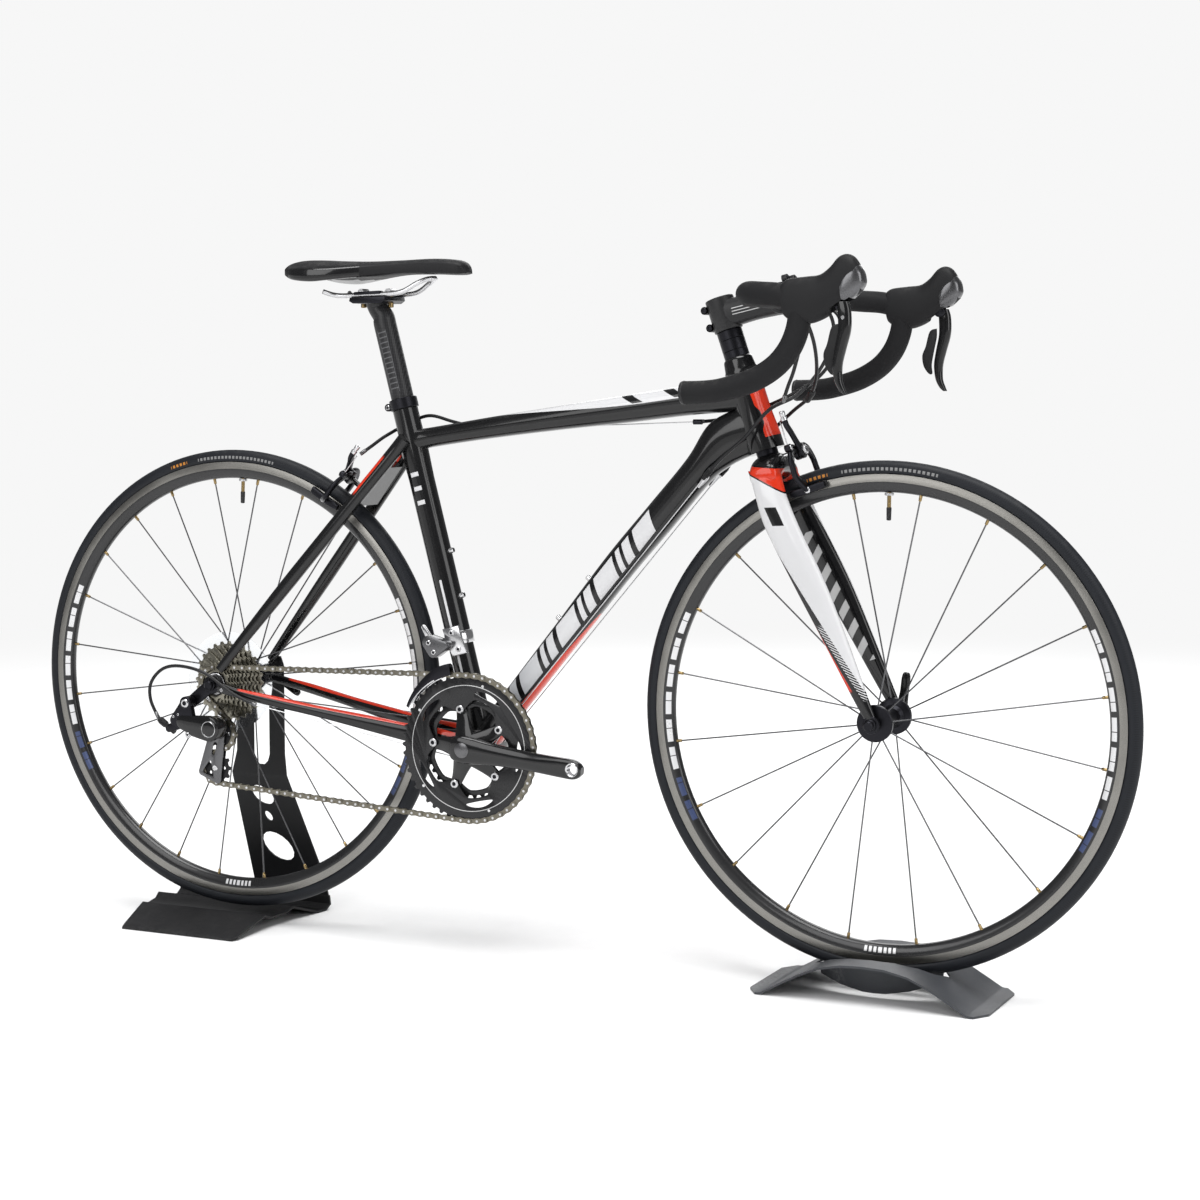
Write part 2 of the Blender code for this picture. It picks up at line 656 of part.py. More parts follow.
def make_rear_hub(reach, materials):
    half = REAR_HUB_HALF - GAP
    bore = SKEWER_RADIUS + GAP
    profile = [
        (bore, half), (0.0085, half), (0.0085, 0.0400), (0.0215, 0.0385), (0.0215, 0.0340), (0.0130, 0.0290),
        (0.0130, -0.0150), (0.0230, -0.0165), (0.0230, -0.0195), (FREEHUB_RADIUS, -0.0200),
        (FREEHUB_RADIUS, -0.0612), (0.0085, -0.0612), (0.0085, -half), (bore, -half),
    ]
    hub = revolve("rear_hub", profile, REAR_AXLE, Y_AXIS, 20, materials["black_metal"])
    per_side = REAR_SPOKES // 2
    for i in range(REAR_SPOKES):
        turn = 2 * math.pi * (i + 0.5) / REAR_SPOKES
        if i % 2:
            start_y, lean = 0.0362, 0.0
        else:
            crossing = 1 if (i // 2) % 2 else -1
            start_y, lean = -0.0180 + crossing * 0.0004, crossing * 2 * math.pi / per_side * 2
        unite(hub, spoke(0.0195, start_y, turn + lean, reach, start_y * 0.05, turn, REAR_AXLE,
                         materials["black_metal"]))
    tube(
        "spoke_guard", 0.0245, GUARD_RADIUS, -0.0222, -0.0212, REAR_AXLE, Y_AXIS, 28, materials["clear"],
    )


def make_cassette(materials):
    inner = FREEHUB_RADIUS + GAP
    first = pitch_radius(COG_TEETH[0]) - CHAIN_HALF_HEIGHT - GAP * 2
    profile = [(inner, FIRST_COG_Y - COG_THICKNESS / 2), (first, FIRST_COG_Y - COG_THICKNESS / 2)]
    radius = first
    for i, teeth in enumerate(COG_TEETH[1:], 1):
        edge = FIRST_COG_Y + COG_PITCH * i - COG_THICKNESS / 2
        profile.append((radius, edge))
        radius = pitch_radius(teeth) + 0.001
        profile.append((radius, edge))
    last = FIRST_COG_Y + COG_PITCH * (len(COG_TEETH) - 1) + COG_THICKNESS / 2
    profile += [(radius, last), (inner, last)]
    revolve("cassette", profile, REAR_AXLE, Y_AXIS, 20, materials["dark_steel"])


def make_skewer(name, axle, nut_in, nut_out, cam_in, cam_out, materials):
    metal = materials["black_metal"]
    rod = tube(name, 0, SKEWER_RADIUS, nut_out + 0.002, cam_out - 0.002, axle, Y_AXIS, 10, metal)
    nut = tube("nut", 0, 0.0080, nut_out, nut_in, axle, Y_AXIS, 12, metal)
    cam = tube("cam", 0, 0.0078, cam_in, cam_out, axle, Y_AXIS, 12, metal)
    unite(rod, nut, cam)


def make_skewer_lever(name, axle, cam_out, direction, length, materials):
    """A lever that lies along the wheel and swings out from the skewer's end."""
    y = cam_out + 0.0045
    across = Vector((-direction.z, 0, direction.x))
    spots = ((-0.0005, 0.0060, 0.0), (0.006, 0.0075, 0.0), (0.5 * length, 0.0065, 0.0035), (length, 0.0050, 0.0045))
    rings = []
    for along, half_width, out in spots:
        centre = axle + direction * along + Y_AXIS * (y + out)
        rings.append(super_ring(centre, across * half_width, Y_AXIS * 0.0038, 8, 2.6))
    return skin(name, rings, materials["black_metal"])


# ---- fork, stem and bars --------------------------------------------------------------
FORK_STATIONS = (
    ((0.858, 0.305), (0.815, 0.305), 0.0330, 0.0100),
    ((0.866, 0.285), (0.825, 0.285), 0.0390, 0.0100),
    ((0.884, 0.248), (0.838, 0.245), 0.0430, 0.0092),
    ((0.922, 0.176), (0.877, 0.176), 0.0460, 0.0085),
    ((0.955, 0.100), (0.921, 0.102), 0.0490, 0.0075),
    ((0.983, 0.032), (0.961, 0.034), 0.0520, 0.0055),
    ((0.994, 0.006), (0.979, 0.005), 0.0535, 0.0033),
)
FORK_TIP_IN = FRONT_HUB_HALF + 0.0002
FORK_TIP_OUT = FRONT_HUB_HALF + 0.0068


def make_fork(materials):
    carbon = materials["fork"]
    fork = tube("fork", 0, STEERER_RADIUS, -0.012, STACK_TOP + STEM_CLAMP_HEIGHT - 0.002, CROWN_SEAT, STEER_UP, 20,
                carbon)
    rings = []
    for y, half_ahead, half_up in ((-0.042, 0.017, 0.012), (-0.030, 0.021, 0.0165), (-0.012, 0.0235, 0.0175),
                                   (0.012, 0.0235, 0.0175), (0.030, 0.021, 0.0165), (0.042, 0.017, 0.012)):
        drop = -0.0180 - abs(y) * 0.35
        rings.append(super_ring(steer_point(drop, 0.0, y), STEER_AHEAD * half_ahead, STEER_UP * half_up, 14, 2.4))
    unite(fork, skin("crown", rings, carbon))
    for side in (RIGHT, LEFT):
        stations = [(up, low, y * side, half) for up, low, y, half in FORK_STATIONS]
        unite(fork, blade("leg", stations, carbon, 10))
        low, high = sorted((FORK_TIP_IN * side, FORK_TIP_OUT * side))
        unite(fork, tube("tip", 0, 0.0115, low, high, FRONT_AXLE, Y_AXIS, 14, carbon))
    bolt_seat = steer_point(-0.014)
    unite(fork, tube("bolt", 0, BRAKE_BOLT_RADIUS, 0.010, BRAKE_BOLT_REACH, bolt_seat, STEER_AHEAD, 10, carbon))
    cut(fork, tube("bore", 0, SKEWER_RADIUS + GAP, -0.1, 0.1, FRONT_AXLE, Y_AXIS, 10, carbon))
    bore = STEERER_RADIUS + GAP
    cover = HEAD_TUBE_LENGTH + GAP
    revolve(
        "headset_spacers",
        [
            (bore, cover), (HEAD_TUBE_TOP_RADIUS, cover), (HEAD_TUBE_TOP_RADIUS, cover + 0.010),
            (SPACER_RADIUS + 0.002, cover + COVER_HEIGHT), (SPACER_RADIUS, cover + COVER_HEIGHT),
            (SPACER_RADIUS, STACK_TOP), (bore, STACK_TOP),
        ],
        CROWN_SEAT, STEER_UP, 24, materials["black_metal"],
    )


def make_stem(materials):
    metal = materials["black_metal"]
    low = STACK_TOP + GAP
    top = low + STEM_CLAMP_HEIGHT
    stem = tube("stem", 0, 0.0190, low, top, CROWN_SEAT, STEER_UP, 20, metal)
    rings = []
    for along, half_width, half_up in ((0.004, 0.0175, 0.0190), (0.035, 0.0160, 0.0175), (0.086, 0.0165, 0.0185)):
        centre = steer_point(STEM_MIDDLE) + STEM_AHEAD * along
        rise = Vector((-STEM_AHEAD.z, 0, STEM_AHEAD.x))
        rings.append(super_ring(centre, rise * half_up, Y_AXIS * half_width, 14, 2.6))
    outer = BAR_CLAMP_RADIUS + 0.0045
    unite(stem, skin("arm", rings, metal))
    unite(stem, tube("clamp", 0, outer, -0.021, 0.021, BAR_CENTRE, Y_AXIS, 20, metal))
    steerer_bore = tube("steerer_bore", 0, STEERER_RADIUS + GAP, low - 0.01, top - 0.0015, CROWN_SEAT, STEER_UP, 20,
                        metal)
    cut(stem, steerer_bore)
    cut(stem, tube("bar_bore", 0, BAR_CLAMP_RADIUS + GAP, -0.05, 0.05, BAR_CENTRE, Y_AXIS, 20, metal))
    plate = tube("stem_faceplate", BAR_CLAMP_RADIUS + GAP, outer, -0.0205, 0.0205, BAR_CENTRE, Y_AXIS, 20, metal)
    split = 0.003
    cut(stem, half_space("ahead", split, 0.06, metal))
    cut(plate, half_space("behind", split + 2 * GAP, -0.06, metal))


def half_space(name, start, depth, material):
    """A block in front of the bar's centre or behind it, square to the stem."""
    rise = Vector((-STEM_AHEAD.z, 0, STEM_AHEAD.x))
    rings = []
    for along in (start, start + depth):
        centre = BAR_CENTRE + STEM_AHEAD * along
        rings.append([
            centre + rise * 0.05 - Y_AXIS * 0.05, centre + rise * 0.05 + Y_AXIS * 0.05,
            centre - rise * 0.05 + Y_AXIS * 0.05, centre - rise * 0.05 - Y_AXIS * 0.05,
        ])
    return skin(name, rings, material)


BAR_BENDS = (
    (0.0046, 0.150, 0.0008), (0.0190, 0.176, 0.0014), (0.0400, 0.189, 0.0000), (0.0640, 0.1955, -0.0020),
    (0.0810, 0.197, -0.0080), (0.0905, 0.197, -0.0230), (0.0885, 0.197, -0.0440), (0.0780, 0.197, -0.0680),
    (0.0590, 0.197, -0.0890), (0.0300, 0.197, -0.1055), (-0.0060, 0.197, -0.1160), (-0.0300, 0.197, -0.1195),
    (-0.0600, 0.197, -0.1205),
)


def bar_route():
    """The bar's middle line from the right drop's end to the left one's."""
    half = [(0.0, 0.0235, 0.0), (0.0, 0.030, 0.0), (0.0, 0.125, 0.0)]
    half += [(ahead, y / 0.197 * BAR_HALF_WIDTH, up) for ahead, y, up in BAR_BENDS]
    left = [BAR_CENTRE + Vector((ahead, y, up)) for ahead, y, up in half]
    return [Vector((p.x, -p.y, p.z)) for p in reversed(left)] + left


def bar_radii():
    half = [BAR_CLAMP_RADIUS, TAPE_RADIUS] + [TAPE_RADIUS] * (len(BAR_BENDS) + 1)
    return half[::-1] + half


def make_bars(materials):
    sweep("handlebar", bar_route(), bar_radii(), materials["tape"], 10)
    stations = (
        (0.926, 0.5580, 0.5080, 0.0125), (0.948, 0.5590, 0.5050, 0.0150), (0.966, 0.5600, 0.5110, 0.0155),
        (0.979, 0.5710, 0.5180, 0.0155), (0.990, 0.5830, 0.5240, 0.0155), (1.000, 0.5840, 0.5300, 0.0150),
        (1.012, 0.5790, 0.5370, 0.0140), (1.0195, 0.5690, 0.5480, 0.0095),
    )
    for side in (RIGHT, LEFT):
        y = BAR_HALF_WIDTH * side
        hood = blade(
            f"{side_name(side)}_hood",
            [((x, top), (x + 0.004, low), y, half) for x, top, low, half in stations],
            materials["hood"], 12, 2.3,
        )
        cut(hood, sweep("bar", bar_route(), [r + GAP for r in bar_radii()], materials["tape"], 10))
        make_levers(side, hood, materials)


LEVER_PIVOT = (0.9935, 0.5265)


def make_levers(side, hood, materials):
    """The brake lever under the hood, and the shift paddle behind it."""
    y = BAR_HALF_WIDTH * side
    spots = (
        (0.9960, 0.5300, 0.0075, 0.0055), (0.9985, 0.5180, 0.0080, 0.0060), (0.9985, 0.4960, 0.0078, 0.0060),
        (0.9940, 0.4740, 0.0070, 0.0058), (0.9905, 0.4550, 0.0060, 0.0055), (0.9915, 0.4370, 0.0050, 0.0052),
        (0.9990, 0.4215, 0.0036, 0.0048),
    )
    rings = []
    for x, z, half_ahead, half_width in spots:
        centre = side_point(x, z, y + 0.004 * side)
        rings.append(super_ring(centre, Vector((half_ahead, 0, 0)), Y_AXIS * half_width, 8, 2.4))
    lever = skin(f"{side_name(side)}_brake_lever", rings, materials["black_metal"])
    boss = tube("boss", 0, 0.0075, y - 0.0075, y + 0.0075, side_point(*LEVER_PIVOT), Y_AXIS, 10, materials["plastic"])
    unite(lever, boss)
    pocket = tube(
        "pocket", 0, 0.0200, *sorted((y - 0.0085 * side, y + 0.0107 * side)), side_point(0.9975, 0.5170),
        Y_AXIS, 16, materials["plastic"],
    )
    cut(hood, pocket)
    outline = [
        (0.9895, 0.5040), (0.9800, 0.5000), (0.9745, 0.4800), (0.9700, 0.4680), (0.9720, 0.4540),
        (0.9790, 0.4440), (0.9840, 0.4440), (0.9830, 0.4560), (0.9860, 0.4740), (0.9895, 0.4920),
    ]
    low, high = sorted(((BAR_HALF_WIDTH - 0.0050) * side, (BAR_HALF_WIDTH - 0.0015) * side))
    points = [(REAR_X + x, AXLE_HEIGHT + z) for x, z in outline]
    prism(f"{side_name(side)}_shift_paddle", points, low, high, materials["plastic"])


# ---- brakes ---------------------------------------------------------------------------
PAD_AHEAD = 0.045
PAD_GAP = 0.0021
PAD_THICKNESS = 0.0085
ARM_LAYERS = {RIGHT: (0.0368, 0.0428), LEFT: (0.0434, 0.0494)}
ARM_POINTS = ((0.0, 0.0), (0.019, 0.003), (0.0315, -0.012), (0.0330, -0.032))


def pad_drop(origin, ahead, up, axle):
    """How far below the brake's pivot the pads lie, so that they meet the rim's side."""
    radius = RIM_RADIUS - 0.0055
    start = origin + ahead * PAD_AHEAD - axle
    b, c = start.dot(up), start.length_squared - radius**2
    return b - math.sqrt(b * b - c)


def make_brake(prefix, origin, ahead, up, axle, materials):
    """Two arms on one bolt, each with a pad beside the rim."""
    metal = materials["black_metal"]
    drop = pad_drop(origin, ahead, up, axle)
    for side in (RIGHT, LEFT):
        start, end = ARM_LAYERS[side]
        middle = (start + end) / 2
        arm = tube(f"{prefix}_brake_{side_name(side)}_arm", 0, 0.0105, start, end, origin, ahead, 12, metal)
        path = [origin + ahead * middle + Y_AXIS * y * side + up * z for y, z in ARM_POINTS]
        pad_y = RIM_HALF_WIDTH + PAD_GAP + PAD_THICKNESS
        path.append(origin + ahead * PAD_AHEAD + Y_AXIS * (pad_y - 0.003) * side - up * drop)
        unite(arm, sweep("limb", path, [0.0029, 0.0029, 0.0029, 0.0029, 0.0045], metal, 8))
        centre = origin + ahead * PAD_AHEAD - up * drop
        tangent = (centre - axle).cross(Y_AXIS).normalized()
        out = tangent.cross(Y_AXIS).normalized()
        rings = []
        for y in (RIM_HALF_WIDTH + PAD_GAP, pad_y):
            rings.append([
                centre + Y_AXIS * y * side + tangent * a + out * b
                for a, b in ((-0.026, -0.0045), (0.026, -0.0045), (0.026, 0.0045), (-0.026, 0.0045))
            ])
        unite(arm, skin("pad", rings, materials["plastic"]))
        if side == LEFT:
            horn = [origin + ahead * middle + Y_AXIS * y + up * z
                    for y, z in ((-0.002, 0.002), (-0.014, 0.020), (-0.027, 0.034), (-0.029, 0.056))]
            unite(arm, sweep("horn", horn, [0.0029, 0.0029, 0.0029, 0.0035], metal, 8))


# ---- drivetrain -------------------------------------------------------------------------
ARM_IN, ARM_OUT = 0.0555, 0.0690


def make_crank_arm(name, side, turn, materials):
    """A crank arm that runs out from the axle at a turn from straight ahead."""
    metal = materials["black_metal"]
    direction = Vector((math.cos(turn), 0, math.sin(turn)))
    across = Vector((-math.sin(turn), 0, math.cos(turn)))
    spots = (
        (-0.018, 0.0130, 0.0600, 0.0060), (0.0, 0.0180, 0.0600, 0.0075), (0.040, 0.0155, 0.0605, 0.0070),
        (0.100, 0.0135, 0.0640, 0.0065), (0.150, 0.0135, 0.0665, 0.0062), (0.170, 0.0132, 0.0668, 0.0062),
        (0.180, 0.0095, 0.0668, 0.0060), (0.1845, 0.0040, 0.0668, 0.0055),
    )
    rings = []
    for along, half_height, y, half_width in spots:
        centre = BOTTOM_BRACKET + direction * along + Y_AXIS * y * side
        rings.append(super_ring(centre, across * half_height, Y_AXIS * half_width, 12, 3.2))
    arm = skin(name, rings, metal)
    hole = BOTTOM_BRACKET + direction * CRANK_LENGTH
    return arm, tube("pedal_hole", 0, PEDAL_HOLE_RADIUS, -0.1, 0.1, hole, Y_AXIS, 14, metal)


def make_cranks(materials):
    metal = materials["black_metal"]
    right, hole = make_crank_arm("right_crank", RIGHT, CRANK_ANGLE, materials)
    cut(right, hole)
    spider_in = SMALL_RING_Y - RING_THICKNESS / 2 - GAP
    spider_out = BIG_RING_Y + RING_THICKNESS / 2 + GAP
    unite(right, tube("axle", 0, CRANK_AXLE_RADIUS, -0.058, 0.0600, BOTTOM_BRACKET, Y_AXIS, 20, metal))
    unite(right, tube("boss", 0, 0.0185, -0.056, spider_in - 0.0006, BOTTOM_BRACKET, Y_AXIS, 20, metal))
    for i in range(5):
        turn = CRANK_ANGLE + math.radians(36 + 72 * i)
        direction = Vector((math.cos(turn), 0, math.sin(turn)))
        across = Vector((-math.sin(turn), 0, math.cos(turn)))
        outline = ((0.008, 0.0125), (0.046, 0.0085), (BOLT_CIRCLE + 0.006, 0.0060))
        corners = [(along, half) for along, half in outline] + [(along, -half) for along, half in reversed(outline)]
        ring = [BOTTOM_BRACKET + direction * along + across * off for along, off in corners]
        unite(right, prism("spider_arm", [(p.x, p.z) for p in ring], spider_out, spider_in, metal))
    left, hole = make_crank_arm("left_crank", LEFT, CRANK_ANGLE + math.pi, materials)
    unite(left, tube("boss", 0, 0.0170, BB_CUP_END + 0.0006, 0.0600, BOTTOM_BRACKET, Y_AXIS, 20, metal))
    cut(left, hole)
    cut(left, tube("axle_bore", 0, CRANK_AXLE_RADIUS + GAP, 0, 0.0603, BOTTOM_BRACKET, Y_AXIS, 20, metal))
    for name, teeth, y, inner in (
        ("big_chainring", BIG_RING_TEETH, BIG_RING_Y, BOLT_CIRCLE - 0.005),
        ("small_chainring", SMALL_RING_TEETH, SMALL_RING_Y, BOLT_CIRCLE - 0.005),
    ):
        outer = pitch_radius(teeth) - CHAIN_HALF_HEIGHT - 2 * GAP
        tube(name, inner, outer, y - RING_THICKNESS / 2, y + RING_THICKNESS / 2, BOTTOM_BRACKET, Y_AXIS, 32,
             materials["dark_steel"])


CAGE_PIVOT = (0.006, -0.062)
UPPER_JOCKEY = (0.008, -0.0715)
LOWER_JOCKEY = (0.000, -0.1215)


def wheel_tangent(first, second, first_side, second_side):
    """Where a chain leaves one sprocket and meets the next; side 1 passes it on the left."""
    (a, ra), (b, rb) = first, second
    line = b - a
    distance = line.length
    along = line / distance
    normal = Vector((-along.y, along.x))
    lean = (ra * first_side - rb * second_side) / distance
    out = along * lean + normal * math.sqrt(1 - lean * lean)
    return a + out * ra * first_side, b + out * rb * second_side


def chain_route():
    """The chain's middle line, as (forward, up, y) points round its four sprockets."""
    rear, front = FIRST_COG_Y, BIG_RING_Y
    wheels = (
        (Vector((BB_FORWARD, -BB_DROP)), pitch_radius(BIG_RING_TEETH), 1, front, 22),
        (Vector(LOWER_JOCKEY), pitch_radius(JOCKEY_TEETH), 1, rear, 6),
        (Vector(UPPER_JOCKEY), pitch_radius(JOCKEY_TEETH), -1, rear, 5),
        (Vector((0, 0)), pitch_radius(COG_TEETH[0]), 1, rear, 8),
    )
    route = []
    for i, (centre, radius, turn_side, y, steps) in enumerate(wheels):
        before, after = wheels[i - 1], wheels[(i + 1) % len(wheels)]
        _, arrive = wheel_tangent((before[0], before[1]), (centre, radius), before[2], turn_side)
        leave, _ = wheel_tangent((centre, radius), (after[0], after[1]), turn_side, after[2])
        start = math.atan2(*(arrive - centre).yx)
        end = math.atan2(*(leave - centre).yx)
        swing = (end - start) % (2 * math.pi)
        if turn_side == 1:
            swing -= 2 * math.pi
        for step in range(steps + 1):
            turn = start + swing * step / steps
            spot = centre + Vector((math.cos(turn), math.sin(turn))) * radius
            route.append((spot.x, spot.y, y))
    leave, meet = Vector(route[-1]), Vector(route[0])
    clear = leave.lerp(meet, CHAIN_CLEAR_RUN / (meet - leave).length)
    route.append((clear.x, clear.y, rear))
    return route


def make_chain(materials):
    route = [side_point(x, z, y) for x, z, y in chain_route()]
    rings = []
    for i, point in enumerate(route):
        tangent = (route[(i + 1) % len(route)] - route[i - 1]).normalized()
        out = tangent.cross(Y_AXIS).normalized() * CHAIN_HALF_HEIGHT
        wide = Y_AXIS * CHAIN_HALF_WIDTH
        rings.append([point + out + wide, point + out - wide, point - out - wide, point - out + wide])
    skin("chain", rings, materials["dark_steel"], closed=True)


CAGE_OUTER = (-0.0646, -0.0632)
CAGE_INNER = (-0.0552, -0.0538)


def plate_outline(spots):
    """The hull of circles, as (x, z) world points: (forward, up, radius) each."""
    points = []
    for x, z, radius in spots:
        points += [
            Vector((x + radius * math.cos(t), z + radius * math.sin(t)))
            for t in (2 * math.pi * i / 12 for i in range(12))
        ]
    points.sort(key=lambda p: (p.x, p.y))
    hull = []
    for run in (points, points[::-1]):
        base = len(hull)
        for point in run:
            while len(hull) - base >= 2 and (hull[-1] - hull[-2]).cross(point - hull[-1]) <= 1e-12:
                hull.pop()
            hull.append(point)
        hull.pop()
    return [(REAR_X + p.x, AXLE_HEIGHT + p.y) for p in hull]


def make_rear_derailleur(materials):
    metal, plastic = materials["black_metal"], materials["plastic"]
    start = -DROPOUT_OUT - 0.0004
    body = tube("derailleur_body", 0, 0.0095, start - 0.0150, start, side_point(*HANGER), Y_AXIS, 14, metal)
    arm = plate_outline(((HANGER.x, HANGER.y, 0.0080), (-0.054, -0.053, 0.0080), (-0.030, -0.060, 0.0100)))
    unite(body, prism("arm", arm, start - 0.0145, start - 0.0045, metal))
    link = plate_outline(((-0.040, -0.055, 0.0100), (-0.020, -0.062, 0.0130), (0.004, -0.062, 0.0190)))
    unite(body, prism("link", link, start - 0.0170, start - 0.0050, metal))
    knuckle_end = CAGE_OUTER[0] - 0.0006
    unite(body, tube("knuckle", 0, 0.0170, -0.0905, knuckle_end, side_point(*CAGE_PIVOT), Y_AXIS, 18, metal))
    barrel = [side_point(-0.0835, -0.0540, -0.0800), side_point(-0.0560, -0.0720, -0.0800)]
    unite(body, sweep("barrel", barrel, 0.0052, plastic, 10))
    stop = plate_outline(((-0.066, -0.066, 0.0055), (-0.048, -0.058, 0.0075)))
    unite(body, prism("stop", stop, -0.0840, -0.0765, metal))
    outer = plate_outline(((*CAGE_PIVOT, 0.0120), (-0.022, -0.128, 0.0060), (0.004, -0.138, 0.0060)))
    inner = plate_outline(((*UPPER_JOCKEY, 0.0090), (*LOWER_JOCKEY, 0.0090)))
    cage = prism("derailleur_cage", outer, *CAGE_OUTER, metal)
    window = plate_outline(((-0.017, -0.127, 0.0035), (-0.006, -0.131, 0.0030), (-0.0085, -0.1135, 0.0020)))
    cut(cage, prism("window", window, -0.07, -0.06, metal))
    unite(cage, tube("pin", 0, 0.0025, CAGE_OUTER[0] + 0.0005, CAGE_INNER[1] - 0.0005, side_point(*UPPER_JOCKEY),
                     Y_AXIS, 8, metal))
    unite(cage, tube("pin", 0, 0.0025, CAGE_OUTER[0] + 0.0005, CAGE_INNER[1] - 0.0005, side_point(*LOWER_JOCKEY),
                     Y_AXIS, 8, metal))
    unite(cage, prism("inner", inner, *CAGE_INNER, metal))
    radius = pitch_radius(JOCKEY_TEETH) - CHAIN_HALF_HEIGHT - 2 * GAP
    for name, spot in (("upper_jockey_wheel", UPPER_JOCKEY), ("lower_jockey_wheel", LOWER_JOCKEY)):
        tube(name, 0.0025 + GAP, radius, FIRST_COG_Y - 0.0014, FIRST_COG_Y + 0.0014, side_point(*spot), Y_AXIS, 22,
             plastic)


def arc_plate(name, inner, outer, start, end, low, high, material, steps=8):
    """A curved strip round the bottom bracket, between two turns in degrees."""
    turns = [math.radians(start + (end - start) * i / steps) for i in range(steps + 1)]
    path = [(outer, t) for t in turns] + [(inner, t) for t in reversed(turns)]
    outline = [(BOTTOM_BRACKET.x + r * math.cos(t), BOTTOM_BRACKET.z + r * math.sin(t)) for r, t in path]
    return prism(name, outline, low, high, material)


FD_BAND = (0.142, 0.160)


def make_front_derailleur(materials):
    alloy = materials["alloy"]
    band = tube(
        "front_derailleur_mount", SEAT_TUBE_RADIUS + GAP, SEAT_TUBE_RADIUS + 0.0025, *FD_BAND,
        BOTTOM_BRACKET, SEAT_UP, 20, alloy,
    )
    rings = []
    for along, back, front in ((0.128, -0.004, 0.020), (0.150, -0.008, 0.016), (0.168, -0.010, 0.016)):
        low, high = -0.0245, -0.0195
        rings.append([seat_point(along, back, low), seat_point(along, front, low), seat_point(along, front, high),
                      seat_point(along, back, high)])
    unite(band, skin("plate", rings, alloy))
    body = plate_outline(((0.338, 0.073, 0.0100), (0.345, 0.060, 0.0080), (0.362, 0.070, 0.0060)))
    unite(band, prism("body", body, -0.0400, -0.0210, alloy))
    ring = pitch_radius(BIG_RING_TEETH)
    low_radius, high_radius = ring + 0.0005, ring + 0.0185
    outer = BIG_RING_Y - CHAIN_HALF_WIDTH - 0.0030
    inner = BIG_RING_Y + CHAIN_HALF_WIDTH + 0.0014
    cage = arc_plate("front_derailleur_cage", low_radius, high_radius, 103, 150, outer - 0.0012, outer, alloy)
    unite(cage, arc_plate("inner_plate", low_radius, high_radius + 0.001, 103, 148, inner, inner + 0.0012, alloy))
    unite(cage, arc_plate("bridge", ring + 0.0128, high_radius - 0.0003, 104, 112, outer - 0.0006, inner + 0.0006,
                          alloy, 3))


# ---- stands -----------------------------------------------------------------------------
ARCH = ((0.0, 0.0500), (0.030, 0.0487), (0.060, 0.0425), (0.088, 0.0305), (0.115, 0.0155), (0.138, 0.0022),
        (0.142, 0.0015), (0.161, 0.0015))
SLOT_HALF_LENGTH = 0.093
SLOT_HALF_WIDTH = 0.042
SLOT_ROUNDNESS = 0.6


def arch_height(x):
    """The middle of the front stand's sheet at a distance from the axle."""
    x = abs(x)
    for (a, low), (b, high) in zip(ARCH, ARCH[1:]):
        if x <= b:
            return low + (high - low) * (x - a) / (b - a)
    return ARCH[-1][1]


def slot_half_width(x):
    return SLOT_HALF_WIDTH * max(0.0, 1 - (x / SLOT_HALF_LENGTH) ** 2) ** SLOT_ROUNDNESS


def make_front_stand(materials):
    sheet = materials["sheet"]
    centre = FRONT_AXLE.x
    half = STAND_SHEET / 2
    spots = [(-x, z) for x, z in reversed(ARCH[1:])] + list(ARCH)
    top = [(centre + x, z + half) for x, z in spots]
    bottom = [(centre + x, z - half) for x, z in reversed(spots)]
    arch = prism("front_stand", top + bottom, -0.080, 0.080, sheet)
    steps = 12
    stations = [SLOT_HALF_LENGTH * (2 * i / steps - 1) for i in range(steps + 1)]
    edge = [(centre + x, slot_half_width(x) + 0.0001) for x in stations]
    lens = edge + [(x, -y) for x, y in reversed(edge[1:-1])]
    cut(arch, prism("slot", lens, -0.01, 0.08, sheet, axis="z"))
    for side in (RIGHT, LEFT):
        rings = []
        for x in stations[1:-1]:
            width = slot_half_width(x)
            top_z = arch_height(x) + half * 0.4
            low_z = top_z - 0.0435 * (1 - (x / SLOT_HALF_LENGTH) ** 2) - 0.001
            low_y = width * 0.72
            rings.append([
                Vector((centre + x, (width - 0.0004) * side, top_z)),
                Vector((centre + x, (width + 0.0024) * side, top_z)),
                Vector((centre + x, (low_y + 0.0024) * side, low_z)),
                Vector((centre + x, (low_y - 0.0004) * side, low_z)),
            ])
        unite(arch, skin("flap", rings, sheet))
    for end in (-1, 1):
        corner = centre + 0.161 * end
        for side in (RIGHT, LEFT):
            wedge = [(corner + 0.001 * end, 0.0815 * side), (corner - 0.016 * end, 0.0815 * side),
                     (corner + 0.001 * end, 0.0560 * side)]
            cut(arch, prism("wedge", wedge, -0.01, 0.02, sheet, axis="z"))
    return arch


